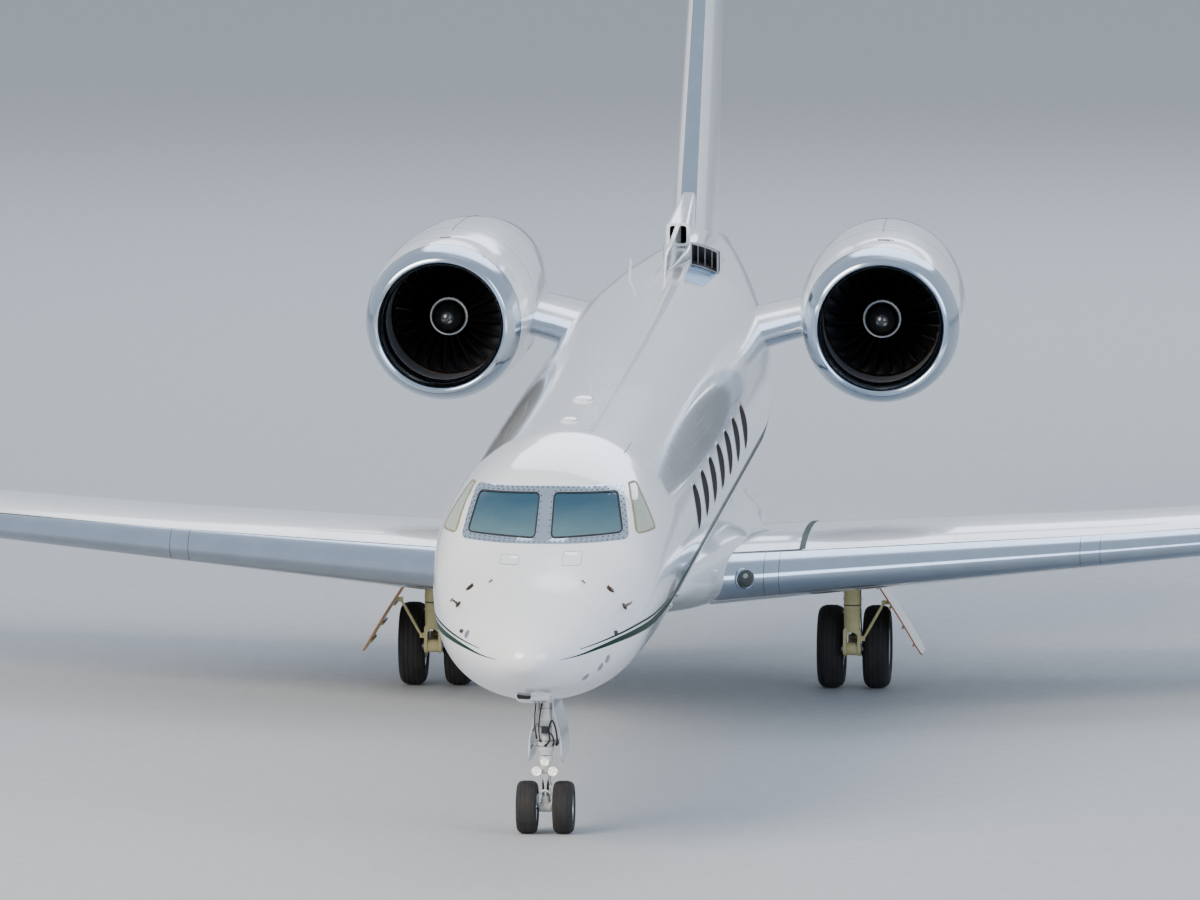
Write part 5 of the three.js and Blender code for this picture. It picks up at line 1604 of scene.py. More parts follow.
@dataclass
class EntryDoor(Assembly):
    """The entry door, which opens down on the left side: outer skin, padded liner, folded stair treads and hinge."""

    fuselage: Fuselage = field(default_factory=Fuselage)
    body: ClassVar[str] = "entry_door"
    span: ClassVar[tuple] = (4.3, 5.21, -0.5, 1.01)
    reach: ClassVar[tuple] = (3.8, 5.6)
    gap: float = 0.006
    hinge: tuple = (1.088, -0.5)
    open: float = math.radians(128)
    treads: int = 6
    first: float = 0.19
    pitch: float = 0.235

    def opening(self, by: float = 0.0) -> Shape:
        """The doorway's cutter, or the door's own inside it."""
        front, back, sill, lintel = self.span
        return AXIS.seat(block((0.35, front + by, sill + by), (1.4, back - by, lintel - by)))

    def build(self) -> None:
        """Makes and dresses the door."""
        tube_ = self.fuselage
        made = tube_.layer("entry_door_skin", self.opening(self.gap), -tube_.skin, 0, *self.reach)
        tube_.mark(made, tube_.is_inner)
        self.dress(made, WHITE, LINER, replaces=["entry_door"])
        grips = [self.tread(i) for i in range(self.treads)]
        for name, number, finish, slot in (("stair_treads", 0, STEEL, "steel"),
                                           ("stair_grips", 1, TREAD_GRIP, "cockpit_trim")):
            piece = to_object(name, together(*[grip[number] for grip in grips]))
            carve(piece, tube_.solid(*self.reach, -0.025), Carve.KEEP)
            self.dress(piece, finish, slot=slot)
        barrels = []
        front, back = self.span[:2]
        for station in (front + 0.012, back - 0.072):
            barrels.append(band(0, 0.06, 0.008, 0.018, 24).shifted(
                self.hinge[0], station, self.hinge[1]))
        self.put("hinge_barrels", AXIS.seat(*barrels), STEEL, slot="steel")
        fixed = [rod(0, 0.06, 0.018, 24).shifted(self.hinge[0], s, self.hinge[1])
                 for s in (front - 0.06, back)]
        self.put("hinge_lugs", AXIS.seat(*fixed), STEEL, body="airframe", slot="steel")
        pull = tube_.from_side([(4.75, 0.62)], Side.LEFT)
        seat = tube_.normal(pull)
        rim = lathe([(0, 0.0), (0, 0.055), (0.0012, 0.054), (0.0013, 0.0)], 32).along_z()
        bar = block((-0.045, -0.008, 0.001), (0.045, 0.008, 0.004), 0.003)
        self.put("door_latch", AXIS.seat(scattered(together(rim, bar), pull, seat)), STEEL, slot="steel")

    def tread(self, number: int) -> tuple[Shape, Shape]:
        """One folded tread and its grip: plates turned by the door's opening angle about the fuselage's axis, each at
        its arc length up the door's inner face.

        Args:
            number: the tread's number, from the sill.

        Returns:
            The seated plate, and its ribs.
        """
        inner = self.fuselage.radius - self.fuselage.skin + 0.01
        along = self.first + self.pitch * number
        angle = math.asin(self.hinge[1] / inner) + along / inner
        turn = Matrix.Translation((inner * math.cos(angle), 0, inner * math.sin(angle))) @ Matrix.Rotation(
            -self.open, 4, "Y")
        plate = block((-0.03, 4.44, -0.013), (0.16, 5.06, 0.009), 0.008)
        ribs = [block((x, 4.45, 0.0085), (x + 0.012, 5.05, 0.0125), 0.003) for x in np.arange(0.005, 0.15, 0.03)]
        return AXIS.seat(plate.moved(turn)), AXIS.seat(together(*ribs).moved(turn))


# Lifting surfaces

WICK_RADII = (0.0045, 0.004, 0.0016)


@dataclass(frozen=True)
class Foil:
    """An aerofoil's outline, whose half thickness is 5t(0.2969 u^0.5 - 0.126 u - 0.3516 u^2 + 0.2843 u^3 - 0.1036 u^4)
    plus a blunt edge, over a camber line 4cu(1-u), with u the share of chord."""

    steps: int = 32
    camber: float = 0.012
    blunt: float = 0.0022

    def half(self, thickness: Array | float, u: Array | float) -> Array | float:
        """Half the thickness as a share of chord.

        Args:
            thickness: thickness as a share of chord.
            u: share of chord.

        Returns:
            Half the thickness.
        """
        return 5 * thickness * (
            0.2969 * np.sqrt(u) - 0.126 * u - 0.3516 * u**2 + 0.2843 * u**3 - 0.1036 * u**4
        ) + self.blunt * u

    def outline(self, thickness: Array) -> Array:
        """Share along and share up of each outline point, for each thickness, from the upper trailing edge round the
        nose to the lower trailing edge: u = (1 - cos a) / 2.

        Args:
            thickness: thickness as a share of chord.

        Returns:
            One outline for each thickness.
        """
        u = 0.5 * (1 - np.cos(np.pi * np.linspace(0, 1, self.steps + 1)))
        u, sign = np.concatenate([u[::-1], u[1:]]), np.concatenate([np.ones(len(u)), -np.ones(len(u) - 1)])
        up = self.camber * 4 * u * (1 - u) + sign * self.half(np.asarray(thickness)[:, None], u)
        return joined(u, up)


def foil_rings(rows: Array, foil: Foil) -> Array:
    """The rings of a wing-like surface. Each row holds x, leading edge station, quarter-chord height, chord, thickness
    ratio, twist and cant in degrees: the foil is turned about its quarter chord by the twist and leans by the cant.

    Args:
        rows: the rows.
        foil: the outline.

    Returns:
        The rings' points.
    """
    x, leading, height, chord, _, twist, cant = (rows[:, k, None] for k in range(7))
    tilt, lean = np.radians(twist), np.radians(cant)
    outline = foil.outline(rows[:, 4])
    along, up = (outline[..., 0] - 0.25) * chord, outline[..., 1] * chord
    rise = up * np.cos(tilt) - along * np.sin(tilt)
    station = leading + 0.25 * chord + along * np.cos(tilt) + up * np.sin(tilt)
    return joined(x - rise * np.sin(lean), station, height + rise * np.cos(lean))


@dataclass(frozen=True)
class Hinged:
    """A moving surface: where it starts and ends along its surface, the share of chord where it turns, the running gap
    round its nose, the gaps at its two ends, and how far its nose lies inside the skin."""

    inner: float
    outer: float
    share: float
    gap: float
    ends: tuple[float, float]
    inset: float = 0.002


@dataclass
class Lifting(Sided):
    """A wing-like surface with moving surfaces, a bare metal leading edge and wicks on its trailing edge."""

    rows: Array = array_field([])
    foil: Foil = Foil()
    bounds: tuple = (14.0, 23.5, -2.6, 0.6)
    metal_share: float = 0.057
    metal_end: float = 13.25

    def placed(self, shape: Shape) -> Shape:
        """A shape in airframe coordinates carried to the frame."""
        return AXIS.seat(shape)

    def dense_rows(self) -> Array:
        """The planform's rows, straight from row to row.

        Returns:
            The rows, closer together.
        """
        last = len(self.rows) - 1
        along = np.linspace(0, last, 12 * last + 1)
        return at_rows(self.rows, along)

    def at(self, x: float, share: float) -> tuple[float, float, float]:
        """Station, mid height and half thickness where a share of chord lies at x, between the rows on its sides.

        Args:
            x: the distance from the middle plane.
            share: the share of chord.

        Returns:
            The three values.
        """
        k = int(np.clip(np.searchsorted(self.rows[:, 0], x, side="right") - 1, 0, len(self.rows) - 2))
        rows = self.rows[k : k + 2]
        _, leading, height, chord, thickness, twist, _ = rows.T
        tilt = np.radians(twist)
        along, middle = (share - 0.25) * chord, self.foil.camber * 4 * share * (1 - share) * chord
        station = leading + 0.25 * chord + along * np.cos(tilt) + middle * np.sin(tilt)
        up = height + middle * np.cos(tilt) - along * np.sin(tilt)
        half = self.foil.half(thickness, share) * chord
        return tuple(float(np.interp(x, rows[:, 0], column)) for column in (station, up, half))

    def behind(self, surface: Hinged) -> Shape:
        """The block of the surface aft of a hinge line.

        Args:
            surface: the moving surface.

        Returns:
            The closed block.
        """
        corners = [self.at(x, surface.share)[0] for x in (surface.inner, surface.outer)]
        _, back, low, high = self.bounds
        outline = [(surface.inner, corners[0]), (surface.outer, corners[1]), (surface.outer, back),
                   (surface.inner, back)]
        return prism(outline, 2, low, high)

    def slab(self, surface: Hinged, gaps: tuple[float, float]) -> Shape:
        """The stretch between a moving surface's two ends, less a gap at each."""
        front, back, low, high = self.bounds
        return block((surface.inner + gaps[0], front, low), (surface.outer - gaps[1], back, high))

    def nose(self, surface: Hinged, grow: float) -> Shape:
        """The round nose of a moving surface, or the hollow it turns in, carried past its ends along the hinge line.

        Args:
            surface: the moving surface.
            grow: how much wider than the surface's own nose it is.

        Returns:
            The closed round.
        """
        ends = np.array([self.at(x, surface.share) for x in (surface.inner, surface.outer)])
        line = np.array([[surface.inner, *ends[0, :2]], [surface.outer, *ends[1, :2]]])
        past = np.array([-0.04, 1.04])[:, None]
        radius = ends[0, 2] - surface.inset + past[:, 0] * (ends[1, 2] - ends[0, 2]) + grow
        return tube(line[0] + past * (line[1] - line[0]), radius, 48)

    def whole(self) -> Object:
        """The uncut surface."""
        return to_object("whole", AXIS.seat(loft(foil_rings(self.dense_rows(), self.foil))))

    def moving(self, name: str, surface: Hinged) -> Object:
        """A moving surface: what lies aft of its hinge line or in its round nose, between its ends.

        Args:
            name: the surface's name.
            surface: the moving surface.

        Returns:
            The surface as an object.
        """
        zone = to_object("zone", AXIS.seat(self.behind(surface)))
        carve(zone, AXIS.seat(self.nose(surface, 0)), Carve.ADD)
        carve(zone, AXIS.seat(self.slab(surface, surface.ends)), Carve.KEEP)
        made = self.whole()
        made.name = f"{name}_skin_{self.side.label}"
        return carve(made, taken(zone), Carve.KEEP)

    def hollow(self, surface: Hinged) -> Shape:
        """What a moving surface leaves free.

        Args:
            surface: the moving surface.

        Returns:
            The seated hollow.
        """
        zone = to_object("zone", AXIS.seat(self.behind(surface)))
        carve(zone, AXIS.seat(self.nose(surface, surface.gap)), Carve.ADD)
        carve(zone, AXIS.seat(self.slab(surface, (0, 0))), Carve.KEEP)
        return taken(zone)

    def is_leading(self, middles: Array) -> Array:
        """Tests whether places lie on the bare strip along the leading edge.

        Args:
            middles: the faces' middles in the frame.

        Returns:
            True for each such place.
        """
        x = np.abs(middles[:, 0])
        leading, chord = straight(self.rows, x, 1, 3)
        share = (AXIS.station(middles) - leading) / chord
        return (share < self.metal_share) & (x < self.metal_end)

    def surface(self, x: Array, share: Array, above: int = 1) -> Array:
        """Places on the upper or lower skin over arrays of x and share, one row for each x.

        Args:
            x: places along the span.
            share: shares of chord.
            above: 1 for the upper skin and -1 for the lower.

        Returns:
            The places.
        """
        hats = np.stack([np.interp(x, self.rows[:, 0], e) for e in np.eye(len(self.rows))], -1)
        leading, height, chord, thickness, twist = (self.rows[:, k, None] for k in range(1, 6))
        tilt = np.radians(twist)
        along = (share - 0.25) * chord
        up = (self.foil.camber * 4 * share * (1 - share) + above * self.foil.half(thickness, share)) * chord
        station = hats @ (leading + 0.25 * chord + along * np.cos(tilt) + up * np.sin(tilt))
        rise = hats @ (height + up * np.cos(tilt) - along * np.sin(tilt))
        return joined(x[:, None], station, rise)

    def plate(self, x: Array, share: Array, proud: float, above: int = 1) -> Shape:
        """A thin closed patch on the skin: at each x its outer face runs aft and its buried inner face runs back.

        Args:
            x: places along the span.
            share: shares of chord.
            proud: how far it stands out of the skin.
            above: 1 for the upper skin and -1 for the lower.

        Returns:
            The closed patch.
        """
        outer = self.surface(x, share, above) + (0, 0, above * proud)
        inner = self.surface(x, share, above) - (0, 0, above * 0.003)
        return sheet_between(outer, inner)

    def seam(self, x: float, share: float, radius: float = 0.0022) -> Shape:
        """A dark seam round the leading edge at x, from a share on the upper skin to the same on the lower.

        Args:
            x: the distance from the middle plane.
            share: the share of chord where it ends.
            radius: the radius.

        Returns:
            The closed seam.
        """
        u = share * np.linspace(0, 1, 12) ** 2
        at = np.array([x])
        path = np.concatenate([self.surface(at, u)[0][::-1], self.surface(at, u[1:], -1)[0]])
        return tube(path, radius, 6)

    def edge_lines(self, first: float, last: float, count: int) -> list[Shape]:
        """The dark line behind the bare leading edge, on the upper and the lower skin, between two places in x."""
        x, share = np.linspace(first, last, count), np.linspace(0.0588, 0.0596, 3)
        return [self.plate(x, share, 0.0006, above) for above in (1, -1)]

    def wicks(self, first: float, last: float, count: int) -> Shape:
        """Static dischargers: thin rods that trail from the trailing edge.

        Args:
            first: x of the first.
            last: x of the last.
            count: how many there are.

        Returns:
            The rods as one shape.
        """
        parts = []
        for x in np.linspace(first, last, count):
            station, up, _ = self.at(float(x), 1.0)
            parts.append(tube([(x, station - 0.012, up), (x, station + 0.05, up), (x, station + 0.13, up - 0.004)],
                              WICK_RADII, 8))
        return together(*parts)


@dataclass
class Wing(Lifting):
    """A wing with its flap, aileron, spoiler and winglet, a polished leading edge, landing light and tip light."""

    rows: Array = array_field([
        [0.9, 12.18, -1.31, 6.02, 0.122, 3.2, 0],
        [5.0, 14.6, -1.215, 4.25, 0.112, 2, 0],
        [13.25, 19.47, -0.98, 1.76, 0.1, 0.2, 0],
        [13.56, 19.72, -0.945, 1.64, 0.095, 0, 18],
        [13.8, 19.99, -0.85, 1.49, 0.09, 0, 48],
        [13.95, 20.26, -0.66, 1.33, 0.085, 0, 70],
        [14.235, 21.09, 0.3, 0.64, 0.08, 0, 76],
    ])
    flap: Hinged = Hinged(1.56, 8.6, 0.76, 0.022, (0.045, 0.025))
    aileron: Hinged = Hinged(8.9, 12.7, 0.76, 0.012, (0.016, 0.016))
    spoiler: Hinged = Hinged(5.06, 8.48, 0.62, 0.006, (0.013, 0.013))
    spoiler_back: float = 0.705
    spoiler_depth: float = 0.036
    lamp_x: float = 1.26

    def dense_rows(self) -> Array:
        """The planform's rows, straight along the wing and smooth round the winglet's bend.

        Returns:
            The rows, closer together.
        """
        number = np.arange(len(self.rows), dtype=float)[:, None]
        table = np.hstack([number, self.rows])
        along = np.concatenate([np.linspace(0, 2, 25), np.linspace(2, 6, 37)[1:]])
        curved = np.stack([smooth(table[2:], k, along) for k in range(1, 8)], -1)
        return np.where(along[:, None] <= 2, at_rows(self.rows, along), curved)

    def spoiler_panel(self, inset: float, clear: float) -> Shape:
        """The spoiler's block under the upper skin, or the recess it lies in.

        Args:
            inset: how far its two ends lie inside the spoiler's.
            clear: how much deeper and longer it is than the spoiler.

        Returns:
            The closed block.
        """
        def ring(x: float) -> list:
            """The block's four corners at x.

            Args:
                x: where along the wing.

            Returns:
                The corners.
            """
            front, low, half = self.at(x, self.spoiler.share)
            back, back_low, back_half = self.at(x, self.spoiler_back)
            top, back_top = low + half, back_low + back_half
            depth = self.spoiler_depth + clear
            return [(x, front, top - depth), (x, back + clear, back_top - depth),
                    (x, back + clear, back_top + 0.4), (x, front, top + 0.4)]

        return loft(np.array([ring(self.spoiler.inner + inset), ring(self.spoiler.outer - inset)]))

    def build(self) -> None:
        """Makes and dresses the fixed wing, its moving surfaces and its details."""
        label = self.side.label
        fixed = self.whole()
        fixed.name = f"wing_skin_{label}"
        pieces = [fixed]
        for name, surface in (("flap", self.flap), ("aileron", self.aileron)):
            carve(fixed, self.hollow(surface))
            pieces.append(self.moving(name, surface))
        carve(fixed, AXIS.seat(self.spoiler_panel(0, 0.006)))
        spoiler = self.whole()
        spoiler.name = f"spoiler_skin_{label}"
        carve(spoiler, AXIS.seat(self.spoiler_panel(self.spoiler.ends[0], 0)), Carve.KEEP)
        pieces.append(spoiler)
        for made, node in zip(pieces, ("wing", "flap", "aileron", "spoiler")):
            mirror_object(made, self.side)
            self.mark(made, self.is_leading)
            body = "airframe" if node == "wing" else f"{node}_{label}"
            self.dress(made, WING_WHITE, POLISHED, body=body, replaces=[f"{node}_{label}"])
        self.build_edge()
        self.build_lights()
        self.build_lids()

    def build_edge(self) -> None:
        """Leading-edge seams, the walkway's green outline and the wicks."""
        seams = [self.seam(x, 0.0593) for x in (1.47, 1.62, 4.62, 4.82, 7.3, 9.8, 12.3)]
        self.fit("leading_edge_seams", together(*seams, *self.edge_lines(1.0, 13.2, 90)), GASKET, slot="tyre_rubber")
        line = self.plate(np.linspace(1.12, 1.83, 10), np.linspace(0.062, 0.0665, 4), 0.0012)
        stripe = self.plate(np.linspace(1.80, 1.86, 3), np.linspace(0.0672, 0.55, 30), 0.0012)
        self.fit("walkway_outline", together(line, stripe), STRIPE_GREEN)
        self.fit("aileron_wicks", self.wicks(9.6, 12.3, 4), GASKET, body=f"aileron_{self.side.label}")

    def build_lights(self) -> None:
        """The landing light behind its round glass in the root's leading edge, and the coloured tip light."""
        station, up, _ = self.at(self.lamp_x, 0.0)
        centre = (self.lamp_x, station + 0.055, up)
        swept = Matrix.Rotation(math.atan((self.rows[1, 1] - self.rows[0, 1]) / (self.rows[1, 0] - self.rows[0, 0])),
                                4, "Z")
        rim = lathe([(-0.066, 0.09), (-0.072, 0.098), (-0.06, 0.108), (0.02, 0.11), (0.02, 0.09)], 48)
        bowl = lathe([(0.0, 0.0), (-0.004, 0.03), (-0.03, 0.075), (-0.058, 0.089), (0.03, 0.089), (0.03, 0.0)], 48)
        a = np.linspace(0, 0.5 * math.pi, 9)
        lens = lathe([*zip(-0.066 - 0.036 * np.cos(a), 0.09 * np.sin(a)), (-0.06, 0.09), (-0.06, 0.0)], 48)
        bulb = lathe([(-0.03, 0), (-0.03, 0.028), (-0.004, 0.034), (-0.004, 0)], 32)
        # The lens' dark tint and the bowl's DEEP_DARK are painted shade inside the lamp.
        for name, shape, finish, slot in (
            ("landing_light_rim", rim, POLISHED, "polished_metal"), ("landing_light_bowl", bowl, DEEP_DARK, "steel"),
            ("landing_light_bulb", bulb, CHROME, "polished_metal"),
            ("landing_light_lens", lens, DARK_LENS, "window_glass"),
        ):
            self.fit(name, shape.moved(swept).shifted(*centre), finish, slot=slot)
        row = self.dense_rows()[30]
        glow = lathe([(-0.055, 0), (-0.04, 0.018), (0.0, 0.034), (0.1, 0.036), (0.2, 0.0)], 24)
        shape = glow.shifted(row[0], row[1] + 0.05, row[2] + 0.008)
        finish = RED_GLASS if self.side is Side.LEFT else GREEN_GLASS
        self.fit("tip_light", shape, finish, slot="window_glass")

    def build_lids(self) -> None:
        """Fuel tank lids under the wing, each with a ring of screws."""
        lid = lathe([(0, 0), (0, 0.11), (0.0012, 0.108), (0.0013, 0)], 32).along_z()
        down = np.array([(0.0, 0.0, -1.0)])
        ring = around(12)
        circle = joined(0.096 * np.cos(ring), 0.096 * np.sin(ring), -0.0012)
        lids, screws = [], []
        for x in np.linspace(2.6, 12.4, 13):
            spot = self.surface(np.array([x]), np.array([0.38]), -1)[0]
            lids.append(scattered(lid, spot, down))
            screws.append(scattered(dome(0.004, 0.0012, 6), spot + circle, down.repeat(len(ring), 0)))
        self.fit("tank_lids", together(*lids), TRIM_WHITE)
        self.fit("tank_lid_screws", together(*screws), STEEL, slot="steel")


@dataclass
class BellyFairing(Assembly):
    """The fairing that carries the wing under the cabin. Columns: station, half width, top and bottom."""

    rows: Array = array_field([
        [10.15, 0.380, -1.000, -1.200], [10.9, 0.800, -0.840, -1.330], [11.9, 1.020, -0.740, -1.520],
        [12.5, 1.110, -0.700, -1.600], [13.4, 1.330, -0.650, -1.640], [15.2, 1.340, -0.700, -1.660],
        [16.8, 1.240, -0.800, -1.660],
        [18.3, 1.010, -0.860, -1.610], [19.5, 0.700, -0.800, -1.260], [20.3, 0.380, -0.700, -0.900],
    ])
    power: float = 2 / 2.8

    def build(self) -> None:
        """The fairing's skin, whose rings are superellipses, its drain masts, and its lids with their seams."""
        station = np.linspace(self.rows[0, 0], self.rows[-1, 0], 84)
        half, top, bottom = straight(self.rows, station, 1, 2, 3)
        soft = np.concatenate([half, top, bottom]).reshape(3, -1)
        for _ in range(3):
            soft[:, 1:-1] = 0.25 * soft[:, :-2] + 0.5 * soft[:, 1:-1] + 0.25 * soft[:, 2:]
        across, up = squarish(*soft, self.power)
        rings = joined(across, station[:, None], up)
        made = to_object("belly_skin", AXIS.seat(loft(rings)))
        carve(made, Fuselage().solid(9.0, 21.5, -0.012))
        self.dress(made, WHITE, replaces=["belly_fairing"])
        masts = [AXIS.seat(Fuselage().blade(0.11, 0.09, 0.05).moved(UPSIDE_DOWN).shifted(
            x, s, -1.63)).outward() for x, s in ((0.35, 13.9), (-0.4, 15.2), (0.0, 16.2))]
        self.put("drain_masts", together(*masts), TRIM_WHITE)
        lids, seams = [], []
        for x, s in ((-0.55, 13.6), (0.55, 13.6), (0.0, 14.9), (-0.5, 16.1), (0.5, 16.1)):
            box = rounded([(x - 0.22, s - 0.3), (x + 0.22, s - 0.3), (x + 0.22, s + 0.3), (x - 0.22, s + 0.3)], 0.05)
            lids.append(prism(box, 2, -1.72, -1.3))
            seams.append(prism(grown(box, 0.007), 2, -1.72, -1.3))
        for name, cutters, grow, finish in (("belly_seams", seams, 0.0006, GASKET),
                                            ("belly_lids", lids, 0.0014, TRIM_WHITE)):
            across, up = squarish(soft[0] + grow, soft[1], soft[2] - grow, self.power)
            outer = to_object(name, AXIS.seat(loft(joined(across, rings[..., 1], up))))
            across, up = squarish(soft[0] - 0.004, soft[1], soft[2] + 0.004, self.power)
            carve(outer, AXIS.seat(loft(joined(across, rings[..., 1], up))))
            self.dress(carve(outer, AXIS.seat(*cutters), Carve.KEEP), finish)


@dataclass
class Stabiliser(Lifting):
    """One half of the stabiliser with its elevator."""

    rows: Array = array_field([
        [0, 25.45, 4.64, 2.95, 0.1, 0, 0], [5.15, 28.13, 4.64, 1.25, 0.09, 0, 0], [5.36, 28.42, 4.64, 0.97, 0.07, 0, 0],
    ])
    bounds: tuple = (25.0, 30.0, 4.2, 5.0)
    metal_end: float = 5.2
    elevator: Hinged = Hinged(0.33, 5.06, 0.7, 0.012, (0.016, 0.016))

    def build(self) -> None:
        """Makes and dresses the half and its elevator."""
        label = self.side.label
        fixed = self.whole()
        fixed.name = f"stabiliser_skin_{label}"
        carve(fixed, self.hollow(self.elevator))
        moving = self.moving("elevator", self.elevator)
        for made, node, body in ((fixed, "stabiliser", "airframe"), (moving, f"elevator_{label}", f"elevator_{label}")):
            mirror_object(made, self.side)
            self.mark(made, self.is_leading)
            self.dress(made, WING_WHITE, POLISHED, body=body, replaces=[node])
        seams = [self.seam(x, 0.0593) for x in (0.9, 2.4, 3.9)]
        self.fit("stabiliser_seams", together(*seams, *self.edge_lines(0.2, 5.1, 30)), GASKET)
        self.fit("elevator_wicks", self.wicks(3.4, 5.0, 4), GASKET, body=f"elevator_{label}")


@dataclass
class Fin(Assembly):
    """The fin with its rudder, dorsal fairing and cooling scoops, and the bullet fairing over it.

    The fin's columns are height, leading edge station, chord and thickness ratio, the dorsal fairing's are station,
    half width and top, and the bullet's are station and radius.
    """

    foil: Foil = Foil(camber=0.0)
    rows: Array = array_field([
        [0.7, 21.85, 4.56, 0.1], [1.4, 22.47, 4.35, 0.1], [4.56, 25.17, 3.12, 0.095],
    ])
    rudder: Hinged = Hinged(1.33, 4.3, 0.7, 0.012, (0.032, 0.032), 0.003)
    metal_share: float = 0.018
    bullet: tuple = ((24.75, 0), (24.775, 0.03), (24.83, 0.06), (25.1, 0.12), (25.7, 0.175), (26.8, 0.18), (27.9, 0.14),
                     (28.7, 0.055), (28.82, 0.03), (28.85, 0))
    strake: tuple = ((19.06, 0.008, 1.19), (19.3, 0.016, 1.385), (20.3, 0.024, 1.455), (21.4, 0.03, 1.549),
                     (22.3, 0.045, 1.625), (22.9, 0.08, 1.68), (23.6, 0.12, 1.5), (24.3, 0.06, 1.15))
    dorsal: tuple = ((19.3, 0.03, 1.2), (20.2, 0.1, 1.225), (21.2, 0.175, 1.27), (22.2, 0.225, 1.33), (23.4, 0.2, 1.29),
                     (24.3, 0.08, 1.15))
    bullet_up: float = 4.64
    inlet: float = 21.1
    scoop: tuple = (20.28, 22.3, 0.185, 0.487, 0.16, 0.43)
    ramp: tuple = (18.66, 20.27, 0.225, 0.43, 0.185, 0.487)

    def whole(self) -> Object:
        """The uncut fin: foils standing up, straight between the rows.

        Returns:
            The fin as an object.
        """
        height = np.concatenate([np.linspace(0.7, 1.4, 8), np.linspace(1.4, 4.56, 30)[1:]])
        leading, chord, thickness = straight(self.rows, height, 1, 2, 3)
        outline = self.foil.outline(thickness)
        x, station = outline[..., 1] * chord[:, None], leading[:, None] + outline[..., 0] * chord[:, None]
        return to_object("whole_fin", AXIS.seat(loft(joined(x, station, height[:, None]))))

    def at(self, height: float, share: float) -> tuple[float, float]:
        """Station and half thickness at a height and share of chord, along the upper rows.

        Args:
            height: the height over the axis.
            share: the share of chord.

        Returns:
            The two values.
        """
        rows = self.rows[1:]
        half = self.foil.half(rows[:, 3], share) * rows[:, 2]
        station = rows[:, 1] + share * rows[:, 2]
        t = (height - rows[0, 0]) / (rows[1, 0] - rows[0, 0])
        return tuple(float(v[0] + t * (v[1] - v[0])) for v in (station, half))

    def zone(self, grow: float, gap: float) -> Shape:
        """What belongs to the rudder: aft of the hinge line or in its round nose, between its two ends.

        Args:
            grow: how much wider than the rudder's own nose it is.
            gap: how far its two ends lie inside the rudder's.

        Returns:
            The seated closed shape.
        """
        r = self.rudder
        far = [r.inner - 0.4, r.outer + 0.4]
        line = [self.at(h, r.share)[0] for h in far]
        made = to_object("zone", AXIS.seat(prism([(line[0], far[0]), (30, far[0]), (30, far[1]), (line[1], far[1])], 0,
                                                 -0.6, 0.6)))
        heights = [r.inner - 0.12, r.outer + 0.12]
        path = [(0, self.at(h, r.share)[0], h) for h in heights]
        radius = np.array([self.at(h, r.share)[1] for h in heights]) - r.inset + grow
        carve(made, AXIS.seat(tube(path, radius, 48)), Carve.ADD)
        carve(made, AXIS.seat(block((-0.6, 22, r.inner + gap), (0.6, 30, r.outer - gap))), Carve.KEEP)
        return taken(made)

    def is_leading(self, middles: Array) -> Array:
        """Tests whether places lie on the bare strip along the leading edge.

        Args:
            middles: the faces' middles in the frame.

        Returns:
            True for each such place.
        """
        station = AXIS.station(middles)
        up = AXIS.up(middles)
        leading, chord = straight(self.rows, up, 1, 2)
        return (station - leading) / chord < self.metal_share

    def build(self) -> None:
        """Makes and dresses the fin, rudder, dorsal fairing, scoops and bullet."""
        fixed = carve(self.whole(), self.zone(self.rudder.gap, 0))
        fixed.name = "fin_skin"
        carve(fixed, Fuselage().solid(19.0, 26.7, -0.02))
        rudder = carve(self.whole(), self.zone(0, self.rudder.ends[0]), Carve.KEEP)
        rudder.name = "rudder_skin"
        for made, node, body in ((fixed, "fin", "airframe"), (rudder, "rudder", "rudder")):
            self.mark(made, self.is_leading)
            self.dress(made, WHITE, POLISHED, body=body, replaces=[node])
        for name, table in (("dorsal_fairing", self.dorsal), ("dorsal_strake", self.strake)):
            rows = np.array(table)
            station = np.linspace(rows[0, 0], rows[-1, 0], 60)
            half, top = (smooth(rows, k, station)[:, None] for k in (1, 2))
            turn = np.linspace(0, math.pi, 25)
            across = half * np.sign(np.cos(turn)) * np.abs(np.cos(turn)) ** 0.6
            up = top - 0.9 * half * (1 - np.sin(turn) ** 0.7)
            upper = joined(across, station[:, None], up)
            base = joined(across, station[:, None], 0.9)
            made = to_object(name, AXIS.seat(sheet_between(upper, base)))
            carve(made, self.zone(self.rudder.gap, 0))
            self.dress(made, WHITE)
        self.build_scoops()
        self.put("bullet_fairing", AXIS.seat(lathe(self.smooth_bullet(), 64).shifted(0, 0, self.bullet_up)), WHITE)
        wicks = []
        for height in np.linspace(2.0, 4.1, 4):
            back = self.at(float(height), 1.0)[0]
            wicks.append(tube([(0, back - 0.012, height), (0, back + 0.06, height), (0, back + 0.14, height - 0.003)],
                              WICK_RADII, 8))
        self.put("rudder_wicks", AXIS.seat(*wicks), GASKET, body="rudder")
        lamp = lathe([(28.84, 0.028), (28.85, 0.026), (28.874, 0.016), (28.878, 0)][::-1] + [(28.80, 0)], 24)
        self.put("tail_light", AXIS.seat(lamp.shifted(0, 0, self.bullet_up)), LAMP_GLASS, slot="window_glass")
        blades = [AXIS.seat(Fuselage().blade(0.12, 0.3,
                                             0.08).moved(Matrix.Rotation(side.value * math.pi / 2, 4, "Y")).shifted(
            side.value * 0.15, 25.2, 3.55)).outward() for side in Side]
        self.put("fin_aerials", together(*blades), TRIM_WHITE)

